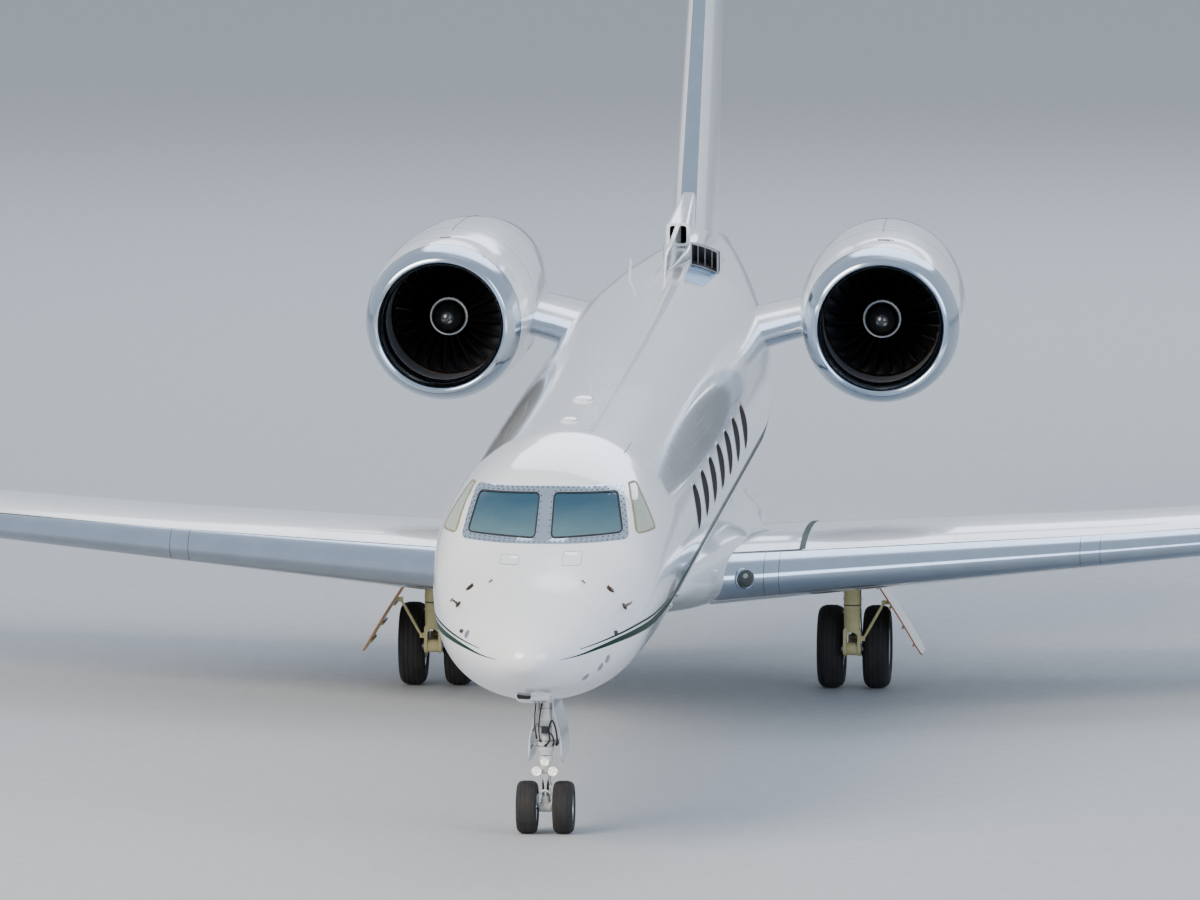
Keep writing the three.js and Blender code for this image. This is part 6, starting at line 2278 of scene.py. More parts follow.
    def smooth_bullet(self) -> list:
        """The bullet's profile, smooth between its rows and ending on the axis.

        Returns:
            Pairs of station and radius.
        """
        rows = np.array(self.bullet)
        along = np.concatenate([24.75 + np.geomspace(0.002, 0.35, 12), np.linspace(25.2, 28.6, 40),
                                28.85 - np.geomspace(0.2, 0.002, 8)])
        return [(24.75, 0), *zip(along, smooth(rows, 1, along)), (28.85, 0)]

    def build_scoops(self) -> None:
        """The ram inlet that straddles the strake, and the boxy scoop on the crown's left with its ramp."""
        front = self.inlet
        share = np.linspace(0, 1, 20)
        half, top, low = 0.128 - 0.05 * share, 1.525 + 0.17 * share, 1.275 - 0.1 * share
        across, up = squarish(half, top, low, 0.35, 48)
        rings = joined(across, front + 1.7 * share[:, None], up)
        made = to_object("fin_inlet", AXIS.seat(loft(rings)))
        across, up = squarish([0.09, 0.09], [1.495, 1.495], [1.305, 1.305], 0.3, 48)
        carve(made, AXIS.seat(loft(joined(across, np.array([[front - 0.1], [front + 0.35]]), up))))
        # The mouth's inside faces take DEEP_DARK, painted shade.
        self.mark(made, lambda m: self.in_mouth(m, front, 0.36) & (np.abs(m[:, 0]) < 0.095)
                  & (np.abs(m[:, 2] - AXIS.height(front) - 1.4) < 0.11))
        carve(made, self.zone(self.rudder.gap, 0))
        self.dress(made, WHITE, DEEP_DARK)
        front = self.scoop[0]
        made = to_object("crown_scoop", self.on_crown(self.scoop, lambda t: 0.24 * (1 - t) ** 0.8 + 0.001, -0.06))
        mouth = (front - 0.1, front + 0.4, *(self.scoop[2] + 0.018, self.scoop[3] - 0.018) * 2)
        carve(made, self.on_crown(mouth, lambda t: 0.218 + 0 * t, 0.01))
        # The scoop's mouth inside takes DEEP_DARK, painted shade.
        self.mark(made, lambda m: self.in_mouth(m, front - 0.02, 0.43) & (m[:, 0] > self.scoop[2] - 0.01)
                  & (self.over_crown(m) < 0.225))
        self.mark(made, lambda m: np.abs(AXIS.station(m) - front) < 0.002, 2)
        self.dress(made, WHITE, DEEP_DARK, STEEL)
        # The ramp's blue is a painted sky reflection.
        self.put("scoop_ramp", self.on_crown(self.ramp, lambda t: 0.0025 + 0 * t, -0.01), RAMP_METAL,
                 slot="polished_metal")
        blades = [block((x - 0.004, front + 0.12, 1.0), (x + 0.004, front + 0.2, 1.4),
                        0.002) for x in np.linspace(0.26, 0.41, 3)]
        grille = to_object("scoop_vanes", AXIS.seat(*blades))
        carve(grille, self.on_crown(mouth, lambda t: 0.218 + 0 * t, 0.01), Carve.KEEP)
        self.dress(grille, STEEL, slot="steel")

    @staticmethod
    def in_mouth(middles: Array, front: float, deep: float) -> Array:
        """Tests whether places lie inside a mouth's depth behind its front station."""
        station = AXIS.station(middles)
        return (station > front + 0.005) & (station < front + deep)

    @staticmethod
    def over_crown(middles: Array) -> Array:
        """How high places lie over the crown's skin at their x."""
        return AXIS.up(middles) - Fuselage().crown_at(middles[:, 0], AXIS.station(middles))

    def on_crown(self, patch: Sequence[float], top: Callable[[Array], Array], low: float) -> Shape:
        """A seated box that stands on the crown's skin: its height over the skin follows the share of the way aft.

        Args:
            patch: first and last station, then the two x at the front and the two at the back.
            top: height over the skin for a share.
            low: its underside over the skin.

        Returns:
            The closed box.
        """
        front, back, left, right, back_left, back_right = patch
        share = np.linspace(0, 1, 16)[:, None]
        start, end = left + (back_left - left) * share, right + (back_right - right) * share
        x = start + (end - start) * np.linspace(0, 1, 9)
        station = front + (back - front) * share + 0 * x
        skin = Fuselage().crown_at(x, station)
        upper = joined(x, station, skin + top(share))
        lower = joined(x, station, skin + low)
        return AXIS.seat(sheet_between(upper, lower))


# Engines

@dataclass
class Engine(Sided):
    """A nacelle with its polished lip, duct, fan, mixer and nozzle, toed out and tipped nose-down about its fattest
    section, and the pylon that carries it.

    Columns: distance aft of the lip and radius. A blade's are radius, angle from the disc, chord and thickness.
    """

    slot: ClassVar[str] = "engine_casing"
    x: float = 2.27
    up: float = 0.735
    lip: float = 18.35
    pivot: float = 1.5
    toe: float = math.radians(2)
    tip: float = math.radians(1)
    lip_depth: float = 0.33
    outer: Array = array_field([
        [0, 0.69], [0.012, 0.718], [0.06, 0.745], [0.16, 0.785], [0.33, 0.823], [0.8, 0.868],
        [1.5, 0.88], [2.4, 0.85], [3.3, 0.77], [4.15, 0.655], [4.65, 0.585],
    ])
    inner: Array = array_field([
        [0, 0.69], [0.012, 0.67], [0.05, 0.65], [0.14, 0.622], [0.33, 0.612], [0.7, 0.622], [1.35, 0.622],
    ])
    spinner: tuple = ((0.56, 0), (0.563, 0.018), (0.575, 0.05), (0.6, 0.085), (0.64, 0.122), (0.68, 0.15),
                      (0.73, 0.171),
                      (0.78, 0.185), (0.8, 0.186), (0.8, 0))
    blade: Array = array_field([
        [0.15, 63, 0.12, 0.022], [0.38, 46, 0.15, 0.014], [0.604, 24, 0.165, 0.007],
    ])
    blades: int = 24
    fan_at: float = 0.9
    pylon: Array = array_field([
        [0.7, 18.7, 0.43, 3.7, 0.11, 0, 0], [1.25, 19.15, 0.56, 3.25, 0.11, 0, 0], [2.0, 19.5, 0.735, 2.8, 0.11, 0, 0],
    ])

    def seat_matrix(self) -> Matrix:
        """From the engine's own axis along Y, with the lip at nought, to the frame.

        Returns:
            The matrix.
        """
        place = AXIS.place(self.x, self.lip + self.pivot, self.up)
        turn = Matrix.Rotation(self.toe, 4, "Z") @ Matrix.Rotation(math.atan(AXIS.pitch) + self.tip, 4, "X")
        return Matrix.Translation(place) @ turn @ Matrix.Translation((0, -self.pivot, 0))

    def placed(self, shape: Shape) -> Shape:
        """A shape on the engine's axis carried to the frame."""
        return shape.moved(self.seat_matrix())

    def curve(self, table: Array, start: float, end: float, count: int) -> Array:
        """Distance and radius along a profile, smooth between its rows."""
        along = np.linspace(start, end, count)
        return joined(along, smooth(table, 1, along))

    def build(self) -> None:
        """Makes and dresses the engine's pieces."""
        self.build_cowl()
        self.build_fan()
        self.build_core()
        self.build_pylon()

    def build_cowl(self) -> None:
        """The polished lip, the painted cowl with its seams, latches and vent, and the duct's liner."""
        label = self.side.label
        near = self.lip_depth * np.linspace(0, 1, 26) ** 1.8
        front = joined(near, smooth(self.outer, 1, near))
        duct = joined(near, smooth(self.inner, 1, near))[:0:-1]
        self.fit("lip_ring", lathe([*front, *duct], 128), POLISHED, replaces=[f"inlet_lip_{label}"],
                 slot="polished_metal")
        cut = self.lip_depth + 0.0015
        cowl = self.curve(self.outer, cut, 4.65, 70)
        inside = self.curve(self.inner, cut, 1.35, 16)[::-1]
        profile = [*cowl, (4.648, 0.575), (4.64, 0.565), (3.7, 0.56), (3.7, 0.47), (1.35, 0.47), *inside]
        made = to_object(f"cowl_{label}", self.placed(lathe(profile, 128)).carried(self.side))
        vent = block((-0.085, 0.62, 0.8), (0.085, 0.72, 0.99), 0.03).moved(Matrix.Rotation(0.05, 4, "Y"))
        carve(made, self.placed(vent).carried(self.side))
        self.dress(made, COWL_WHITE, replaces=[f"nacelle_{label}"], slot="white_paint")
        # The vent's slats take DEEP_DARK, painted shade in the vent.
        self.fit("vent_grille", self.louvre(), DEEP_DARK, slot="steel")
        seams = []
        for along in (0.332, 1.36, 2.95, 3.9):
            radius = float(smooth(self.outer, 1, np.array([along]))[0])
            seams.append(band(along - 0.003, along + 0.003, radius - 0.004, radius + 0.0008, 96))
        for turn in (0, math.pi / 2 + 0.5, -math.pi / 2 - 0.5, math.pi):
            path = self.curve(self.outer, 0.34, 3.9, 40)
            line = joined(path[:, 1] * math.sin(turn), path[:, 0], path[:, 1] * math.cos(turn))
            seams.append(tube(line[8:] if turn in (0, math.pi) else line[11:30], 0.003, 6))
        self.fit("cowl_seams", together(*seams), GASKET, slot="tyre_rubber")
        spots = self.curve(self.outer, 1.5, 2.85, 6)
        places = joined(0, spots[:, 0], -spots[:, 1])
        latch = block((-0.05, -0.018, 0), (0.05, 0.018, 0.003), 0.008)
        self.fit("cowl_latches", scattered(latch, places, places * (1, 0, 1)), STEEL, slot="steel")
        wall = [(0.334, 0.6125), *[(a, r - 0.0012) for a, r in self.curve(self.inner, 0.34, 1.33, 12)], (1.34, 0.6215),
                *[(a, r - 0.0002) for a, r in self.curve(self.inner, 0.34, 1.33, 12)[::-1]]]
        self.fit("duct_liner", lathe(wall, 128), DUCT_LINER)
        rub = band(0.80, 1.02, 0.6175, 0.6205, 128)
        self.fit("fan_rub_strip", rub, DARK_STEEL, slot="steel")

    def louvre(self) -> Shape:
        """Slats across the vent's floor."""
        slats = [block((-0.08, y, 0.845), (0.08, y + 0.008, 0.853)) for y in np.linspace(0.63, 0.705, 4)]
        return together(block((-0.084, 0.621, 0.83), (0.084, 0.719, 0.84)), *slats)

    def build_fan(self) -> None:
        """The fan on its body: blades whose lens-shaped sections turn flatter and lean aft towards the tip, and the
        spinner with its pale ring. A section is the chord's direction times cos, and its normal times sin with a
        camber of 7 %."""
        label = self.side.label
        body = f"fan_{label}"
        radius = np.linspace(self.blade[0, 0], self.blade[-1, 0], 10)
        angle, chord, thick = (smooth(self.blade, k, radius)[:, None] for k in (1, 2, 3))
        a = np.radians(angle)
        turn = around(14)
        along = 0.5 * chord * np.cos(turn)
        off = 0.5 * thick * np.sin(turn) + 0.07 * chord * (1 - np.cos(turn) ** 2)
        lean = 0.035 * ((radius[:, None] - 0.15) / 0.454) ** 2
        x = along * np.cos(a) - off * np.sin(a)
        y = self.fan_at + along * np.sin(a) + off * np.cos(a) - 0.05 + lean
        z = np.sqrt(np.maximum(radius[:, None] ** 2 - x**2, 0))
        # The blades' dark metal is painted shade inside the inlet.
        self.fit("fan_blades", spun(loft(joined(x, y, z)), self.blades), FAN_METAL, body=body, slot="fan_titanium",
                 replaces=[body])
        self.fit("spinner", lathe(self.spinner, 64), SPINNER_BLACK, body=body, slot="fan_titanium")
        ring = [(0.792, 0.0), (0.792, 0.187), (0.795, 0.199), (0.83, 0.203), (1.05, 0.19), (1.06, 0.0)]
        self.fit("spinner_ring", lathe(ring, 64), PALE_RING, body=body, slot="fan_titanium")
        spots = np.array([(0, 0.79, 0.187)])
        rivets = spun(scattered(dome(0.005, 0.002, 8), spots, spots * (1, 0, 1)), 12)
        self.fit("spinner_screws", rivets, STEEL, body=body, slot="steel")

    def build_core(self) -> None:
        """The fixed vanes behind the fan, the core, its lobed mixer, the plug and the nozzle's hot wall. The mixer's
        radius swings by the cosine of twelve lobes, more towards its end."""
        label = self.side.label
        core = [(1.09, 0), (1.09, 0.22), (1.14, 0.33), (1.2, 0.42), (1.3, 0.466), (3.5, 0.468), (3.505, 0.44),
                (3.505, 0)]
        # The core behind the fan takes DEEP_DARK, painted shade deep in the nacelle.
        self.fit("core_casing", lathe(core, 96), DEEP_DARK, replaces=[f"engine_{label}"])
        radius = np.linspace(0.40, 0.62, 4)[:, None]
        turn = around(10)
        vane = joined(0.006 * np.sin(turn), 1.24 + 0.055 * np.cos(turn), radius)
        self.fit("guide_vanes", spun(loft(vane), 44), DARK_STEEL)
        turn = around(144)
        share = np.linspace(0, 1, 12)[:, None]
        outer = 0.45 - 0.10 * share + 0.085 * share**1.2 * np.cos(12 * turn)
        layers = [joined((outer - t) * np.sin(turn), 3.5 + 0.5 * share, (outer - t) * np.cos(turn))
                  for t in (0, 0.004)]
        mixer = grid(np.concatenate([layers[0], layers[1][::-1]]), wrap_rows=True, wrap_columns=True).outward()
        self.fit("lobed_mixer", mixer, HOT_METAL)
        plug = [(3.5, 0), (3.5, 0.2), (3.7, 0.21), (3.9, 0.19), (4.15, 0.12), (4.3, 0.05), (4.35, 0)]
        self.fit("exhaust_plug", lathe(plug, 64), HOT_METAL)
        wall = [(3.71, 0.5585), (4.64, 0.5635), (4.655, 0.572), (4.655, 0.5695), (4.645, 0.5615), (3.71, 0.5565)]
        self.fit("nozzle_wall", lathe(wall, 96), HOT_METAL)

    def build_pylon(self) -> None:
        """The pylon between fuselage and nacelle, with its bare leading edge."""
        rows = at_rows(self.pylon, np.linspace(0, 2, 25))
        made = to_object(f"pylon_skin_{self.side.label}", AXIS.seat(loft(foil_rings(rows, Foil()))))
        carve(made, Fuselage().solid(16.8, 25.0, -0.01))
        profile = [(0, 0), *self.curve(self.outer, 0.0, 4.65, 60) - (0, 0.004), (4.65, 0)]
        carve(made, lathe(profile, 96).moved(self.seat_matrix()))
        mirror_object(made, self.side)

        def leading(middles: Array) -> Array:
            """Tests whether places lie on the bare strip along the leading edge.

            Args:
                middles: the faces' middles in the frame.

            Returns:
                True for each such place.
            """
            x = np.abs(middles[:, 0])
            front, chord = straight(self.pylon, x, 1, 3)
            return (AXIS.station(middles) - front) / chord < 0.09

        self.mark(made, leading)
        self.dress(made, WHITE, POLISHED, replaces=[f"pylon_{self.side.label}"], slot="white_paint")


# Landing gear

def hull(a: Sequence[float], ra: float, b: Sequence[float], rb: float) -> Array:
    """The outline of a link between two discs: the half circle of each that faces away from the other.

    Args:
        a: the first disc's middle.
        ra: its radius.
        b: the second disc's middle.
        rb: its radius.

    Returns:
        The outline's points.
    """
    a, b = np.array(a, float), np.array(b, float)
    way = math.atan2(*(b - a)[::-1])
    t = np.linspace(-math.pi / 2, math.pi / 2, 17)
    far = b + rb * joined(np.cos(way + t), np.sin(way + t))
    near = a + ra * joined(np.cos(way + math.pi + t), np.sin(way + math.pi + t))
    return np.concatenate([far, near])


def hose(points: Sequence, radius: float) -> Shape:
    """A fixed hose on a smooth path with a crimped ferrule at each end: the ferrule is a short wider tube.

    Args:
        points: the points that it passes.
        radius: the radius.

    Returns:
        The hose and its ferrules.
    """
    path = bend(points, 12)
    ends = [tube(path[:4], radius * 1.5, 10), tube(path[-4:], radius * 1.5, 10)]
    return together(tube(path, radius, 10), *ends)


@dataclass(frozen=True)
class TwinWheel:
    """A pair of wheels: tyre radius, tyre width, rim radius, distance between the tyres' middles, sides of the plain
    model's tyre, and the number of lightening holes and of tread grooves."""

    radius: float
    width: float
    rim: float
    spacing: float
    sides: int
    holes: int
    grooves: int

    @property
    def axle(self) -> float:
        """The axle's height, which is also the tyre's radius here."""
        return self.radius * math.cos(math.pi / self.sides)

    def tyre(self, x: float, y: float) -> Shape:
        """A tyre: a superellipse round the bead's middle, cut off at the beads, with narrow grooves round its crown.

        Args:
            x: x of its middle.
            y: y of its middle.

        Returns:
            The tyre in its place.
        """
        wall = self.axle - self.rim
        turn = np.linspace(-0.30 * math.pi, 1.30 * math.pi, 181)
        c, s = np.cos(turn), np.sin(turn)
        w = 0.5 * self.width * signed(c, 0.66)
        r = self.rim + 0.46 * wall + np.where(s > 0, 0.54, 0.56) * wall * signed(s, 0.84)
        places = np.linspace(-0.27, 0.27, self.grooves) * self.width
        near = np.abs(w[:, None] - places).min(1) < 0.014 * self.width
        r = r - np.where(near & (s > 0.5), 0.028 * wall, 0)
        r = np.maximum(r, self.rim + 0.0015)
        inside = [(w[-1], self.rim), (w[0], self.rim)]
        profile = [*zip(w, r), *inside]
        return lathe(profile, 96).along_x(x, y, self.axle)

    def rim_shape(self, outward: int) -> Shape:
        """One rim about the X axis: flanges, a dished web and a hub. Its holes are cut later.

        Args:
            outward: 1 where its face looks along x, and -1 where it looks back.

        Returns:
            The rim on the origin.
        """
        w, r = self.width, self.rim
        rows = [(-0.40, 1.0), (-0.42, 1.05), (-0.405, 1.07), (-0.375, 1.05), (-0.36, 0.995), (0.36, 0.995),
                (0.375, 1.05),
                (0.405, 1.07), (0.42, 1.05), (0.40, 0.97), (0.36, 0.93), (0.15, 0.90), (0.08, 0.84), (0.08, 0.60),
                (0.14, 0.44), (0.30, 0.36), (0.335, 0.32), (0.335, 0.16), (-0.10, 0.16), (-0.10, 0.36), (-0.02, 0.52),
                (-0.02, 0.84), (-0.10, 0.90), (-0.38, 0.92)]
        profile = [(outward * a * w, b * r) for a, b in rows]
        return lathe(profile, 96).along_x().outward()


MAIN = TwinWheel(0.437, 0.279, 0.235, 0.477, 24, 9, 4)
NOSE = TwinWheel(0.262, 0.2, 0.15, 0.355, 18, 8, 3)


@dataclass
class Wheels(Assembly):
    """A twin wheel: both tyres and rims, bolts, caps and the axle, all on the body that turns."""

    slot: ClassVar[str] = "steel"
    name: str = "nose"
    kind: TwinWheel = NOSE
    x: float = 0.0
    y: float = -12.245
    turns: str = "nose_wheels"
    node: str = "nose_wheels"
    tyres: tuple = ("nose_tyre_left", "nose_tyre_right")

    def build(self) -> None:
        """Makes and dresses the pair; tyres are named in the order of x, positive first."""
        k = self.kind
        for node, sign in zip(self.tyres, (1, -1)):
            x = self.x + sign * k.spacing / 2
            self.put(f"{node}_tread", k.tyre(x, self.y), TYRE_RUBBER, body=self.turns, replaces=[node],
                     slot="tyre_rubber")
            made = to_object(f"{self.name}_rim_{'p' if sign > 0 else 'm'}", k.rim_shape(sign))
            radius = 0.70 * k.rim
            hole = rod(-0.2 * k.width, 0.2 * k.width, 0.10 * k.rim, 20)
            holes = spun(hole.shifted(0, 0, radius), k.holes).along_x()
            carve(made, holes)
            made.data.transform(Matrix.Translation((x, self.y, k.axle)))
            self.dress(made, STEEL, body=self.turns, replaces=[self.node] if sign > 0 else ())
            ring = half_steps(k.holes)
            face = np.full(k.holes, sign * 0.08 * k.width)
            spots = joined(face, 0.70 * k.rim * np.sin(ring), 0.70 * k.rim * np.cos(ring))
            out = np.tile((float(sign), 0.0, 0.0), (k.holes, 1))
            cap = lathe([(0, 0), (0, 0.30 * k.rim), (0.02 * k.width, 0.30 * k.rim), (0.05 * k.width, 0.22 * k.rim),
                         (0.055 * k.width, 0)], 32).along_z()
            middle = np.array([(sign * 0.335 * k.width, 0.0, 0.0)])
            rim_ring = joined(np.full(k.holes, sign * 0.335 * k.width), 0.255 * k.rim * np.sin(ring),
                                 0.255 * k.rim * np.cos(ring))
            parts = together(scattered(bolt(0.042 * k.rim, 0.05 * k.rim), spots, out), scattered(cap, middle, out[:1]),
                             scattered(bolt(0.028 * k.rim, 0.05 * k.rim), rim_ring + (sign * 0.02 * k.width, 0, 0),
                                       out))
            self.put(f"{self.name}_rim_bolts_{'p' if sign > 0 else 'm'}", parts.shifted(x, self.y, k.axle), DARK_STEEL,
                     body=self.turns)
        reach = k.spacing / 2 + 0.1 * k.width
        axle = rod(-reach, reach, 0.16 * k.rim, 32).along_x()
        self.put(f"{self.name}_axle", axle.shifted(self.x, self.y, k.axle), CHROME, body=self.turns)


@dataclass
class MainGear(Sided):
    """A main gear: leg, trailing link, shock strut, brakes, hoses, and the door with its rod."""

    slot: ClassVar[str] = "gear_enamel"
    x: float = 2.185
    axle_y: float = 1.505
    pivot: tuple = (1.065, 0.45)

    def build(self) -> None:
        """Makes and dresses the gear's pieces."""
        self.build_leg()
        self.build_link()
        self.build_strut()
        self.build_brakes()
        self.build_lines()
        self.build_door()
        x, label = self.x, self.side.label
        names = [f"main_tyre_{label}_outer", f"main_tyre_{label}_inner"][:: self.side.value]
        Wheels(f"main_{label}", MAIN, x * self.side.value, self.axle_y, f"main_wheel_{label}", f"main_wheel_{label}",
               tuple(names)).build()

    def wing_cutter(self) -> Shape:
        """The wing as a closed solid, to cut what reaches into it."""
        return AXIS.seat(loft(foil_rings(Wing().dense_rows()[:25], Foil())))

    def build_leg(self) -> None:
        """The leg: a forged column whose radius is a profile up its height, two rounded cheeks and a bridge."""
        x, (y, z) = self.x, self.pivot
        profile = [(z + 0.165, 0), (z + 0.165, 0.07), (z + 0.19, 0.078), (z + 0.24, 0.084), (z + 0.42, 0.086),
                   (z + 0.425, 0.0885), (z + 0.45, 0.0885), (z + 0.455, 0.086), (z + 0.60, 0.086), (z + 0.78, 0.088),
                   (z + 0.86, 0.11), (1.36, 0.12), (1.36, 0)]
        column = lathe(profile, 40).along_z().shifted(x, y, 0)
        t = np.linspace(math.pi, 2 * math.pi, 19)
        outline = np.concatenate([
            joined(y + 0.074 * np.cos(t), z + 0.074 * np.sin(t)),
            [(y + 0.07, z + 0.10), (y + 0.058, z + 0.19), (y - 0.058, z + 0.19), (y - 0.07, z + 0.10)],
        ])
        cheeks = [prism(outline, 0, x + a, x + a + 0.032) for a in (0.058, -0.090)]
        bridge = prism(rounded([(x - 0.09, z + 0.15), (x + 0.09, z + 0.15), (x + 0.09, z + 0.20), (x + 0.06, z + 0.235),
                                (x - 0.06, z + 0.235), (x - 0.09, z + 0.20)], 0.012), 1, y - 0.06, y + 0.06)
        top = (y + 0.15, z + 0.6)
        lug = np.array([(y + 0.04, top[1] - 0.05), (y + 0.15, top[1] - 0.045), (y + 0.195, top[1]),
                        (y + 0.15, top[1] + 0.045), (y + 0.04, top[1] + 0.09)])
        lugs = [prism(rounded(lug, 0.03), 0, x + a, x + a + 0.028) for a in (0.034, -0.062)]
        bracket = block((x + 0.08, y - 0.07, z + 0.09), (x + 0.108, y - 0.03, z + 0.14), 0.008)
        foot = prism(rounded([(x - 0.11, y - 0.09), (x + 0.11, y - 0.09), (x + 0.11, y + 0.09), (x - 0.11, y + 0.09)],
                             0.03),
                     2, 1.17, 1.36)
        made = to_object(f"leg_{self.side.label}", column)
        for part in (*cheeks, bridge, *lugs, bracket, foot):
            carve(made, part, Carve.ADD)
        arch = rod(-0.1, 0.1, 0.054, 32).shifted(x, y, z + 0.125)
        carve(made, arch)
        carve(made, self.wing_cutter())
        mirror_object(made, self.side)
        self.dress(made, PRIMER, replaces=[f"main_leg_{self.side.label}"])
        pins = []
        for sign in (1, -1):
            for r, across, (py, pz) in ((0.05, 0.090, (y, z)), (0.03, 0.062, top)):
                head = together(lathe([(0, 0), (0, r), (0.008, r), (0.012, 0.8 * r), (0.012, 0)], 32),
                                rod(0.01, 0.026, 0.45 * r, 6))
                turn = Matrix.Rotation(sign * math.pi / 2, 4, "Y")
                pins.append(head.along_z().moved(turn).shifted(x + sign * across, py, pz))
        self.fit("leg_pins", together(*[p.outward() for p in pins]), STEEL, slot="steel")
        ring = band(z + 0.455, z + 0.466, 0.083, 0.0875, 40)
        self.fit("leg_band", ring.along_z().shifted(x, y, 0), GASKET, slot="tyre_rubber")

    def build_link(self) -> None:
        """The trailing link: an I-shaped beam between two hubs, with a fork for the strut."""
        x, (y, z), ay, az = self.x, self.pivot, self.axle_y, MAIN.axle
        made = to_object(f"link_{self.side.label}",
                         prism(hull((y, z), 0.062, (ay, az), 0.064), 0, x - 0.052, x + 0.052))
        for a in (0.032, -0.06):
            pocket = hull((y + 0.11, z - 0.004), 0.036, (ay - 0.13, az + 0.004), 0.038)
            carve(made, prism(pocket, 0, x + a, x + a + 0.028))
        drum = spool(0.0577, 0.062, 0.05, 0.066, 40)
        boss = spool(0.06, 0.078, 0.05, 0.084, 48)
        carve(made, drum.along_x(x, y, z), Carve.ADD)
        carve(made, boss.along_x(x, ay, az), Carve.ADD)
        by, bz = ay - 0.11, az + 0.105
        for a in (0.034, -0.058):
            ear = hull((by, bz), 0.034, (by, az + 0.03), 0.042)
            carve(made, prism(ear, 0, x + a, x + a + 0.024), Carve.ADD)
        bore = rod(-0.1, 0.1, 0.0475, 40).along_x()
        carve(made, bore.shifted(x, ay, az))
        mirror_object(made, self.side)
        self.dress(made, PRIMER, replaces=[f"trailing_link_{self.side.label}"])

    def build_strut(self) -> None:
        """The shock strut: a cylinder with gland rings, chromed rods and an eye at each end, along its own line."""
        x, (y, z) = self.x, self.pivot
        top, bottom = Vector((x, y + 0.15, z + 0.6)), Vector((x, self.axle_y - 0.11, MAIN.axle + 0.105))
        way = bottom - top
        place = Matrix.Translation(top) @ way.to_track_quat("Y", "Z").to_matrix().to_4x4()
        run = way.length
        barrel = [(0.12 * run, 0), (0.12 * run, 0.036), (0.14 * run, 0.052), (0.17 * run, 0.056), (0.19 * run, 0.052),
                  (0.52 * run, 0.052), (0.53 * run, 0.058), (0.565 * run, 0.058), (0.575 * run, 0.05),
                  (0.61 * run, 0.046),
                  (0.61 * run, 0)]
        eyes = [rod(-0.0337, 0.0337, r, 32).along_x(0, at, 0)
                for at, r in ((0, 0.04), (run, 0.034))]
        neck = lathe([(0.01, 0), (0.01, 0.028), (0.14 * run, 0.03), (0.14 * run, 0)], 24)
        shape = together(lathe(barrel, 40), neck, *eyes)
        self.fit("shock_barrel", shape.moved(place), PRIMER, replaces=[f"shock_strut_{self.side.label}"])
        piston = rod(0.6 * run, run - 0.02, 0.029, 32)
        self.fit("shock_rod", piston.moved(place), CHROME, slot="steel")

    def build_brakes(self) -> None:
        """A brake in each wheel: a stack of grooved discs with a ring of piston housings towards the link."""
        k, parts, pistons = MAIN, [], []
        for sign in (1, -1):
            rows = []
            for a in np.linspace(-0.36, -0.165, 8):
                rows += [(sign * a * k.width, 0.80 * k.rim), (sign * (a + 0.02) * k.width, 0.80 * k.rim),
                         (sign * (a + 0.021) * k.width, 0.75 * k.rim), (sign * (a + 0.03) * k.width, 0.75 * k.rim)]
            stack = lathe([(sign * -0.361 * k.width, 0.22 * k.rim), *rows, (sign * -0.13 * k.width, 0.22 * k.rim)],
                          48).outward()
            parts.append(stack.along_x(self.x + sign * k.spacing / 2, self.axle_y, k.axle))
            cup = lathe([(0, 0), (0, 0.030), (0.022, 0.030), (0.03, 0.02), (0.03, 0)], 16).shifted(0, 0, 0.56 * k.rim)
            ring = band(-0.012, 0.002, 0.30 * k.rim, 0.74 * k.rim, 48)
            face = together(spun(cup, 7), ring).moved(Matrix.Diagonal((1, -sign, 1, 1))).outward().along_x()
            pistons.append(face.shifted(self.x + sign * (k.spacing / 2 - 0.375 * k.width), self.axle_y, k.axle))
        self.fit("brake_discs", together(*parts), DARK_STEEL, slot="steel")
        self.fit("brake_pistons", together(*pistons), GEAR_WHITE)

    def build_lines(self) -> None:
        """Hydraulic hoses down the leg and out to the brakes, with their clips and junction block."""
        x, (y, z) = self.x, self.pivot
        lines = [
            hose([(x + s * 0.085, y + 0.06, 1.16), (x + s * 0.085, y + 0.06, z + 0.50),
                  (x + s * 0.09, y + 0.055, z + 0.30),
                  (x + s * 0.104, y + 0.03, z + 0.10), (x + s * 0.104, y + 0.10, z - 0.075),
                  (x + s * 0.085, y + 0.28, z - 0.05),
                  (x + s * 0.115, self.axle_y - 0.03, MAIN.axle + 0.118)], 0.0075) for s in (1, -1)
        ]
        lines.append(hose([(x - 0.02, y + 0.1, 1.16), (x - 0.03, y + 0.105, z + 0.5), (x - 0.02, y + 0.12, z + 0.42)],
                          0.006))
        self.fit("brake_hoses", together(*lines), HOSE_RUBBER, slot="tyre_rubber")
        tabs = [block((x - 0.1, y + 0.05, h - 0.008), (x + 0.1, y + 0.072, h + 0.008),
                      0.004) for h in (z + 0.38, z + 0.52)]
        junction = block((x - 0.04, y + 0.08, z + 0.345), (x + 0.04, y + 0.125, z + 0.43), 0.006)
        self.fit("hose_clips", together(*tabs, junction), STEEL, slot="steel")

    def build_door(self) -> None:
        """The splayed door: a sheet bowed by the sine of the way down it, rounded at its lower corners, with ribs on
        its inner face, an orange edge, and the rod that holds it."""
        x, (y, z) = self.x, self.pivot
        down, across = np.linspace(0, 1, 30), np.linspace(0, 1, 25)
        start, end = np.array([x + 0.1605, z + 0.85]), np.array([x + 0.7275, z - 0.05])
        way = (end - start) / np.linalg.norm(end - start)
        out = np.array([-way[1], way[0]])
        corner = 0.11 * np.clip((down - 0.88) / 0.12, 0, 1)
        trim = corner.max() - np.sqrt(np.maximum(corner.max() ** 2 - corner**2, 0))
        low, high = y - 0.13 + trim, y + 0.56 - trim
        long = low[:, None] + (high - low)[:, None] * across

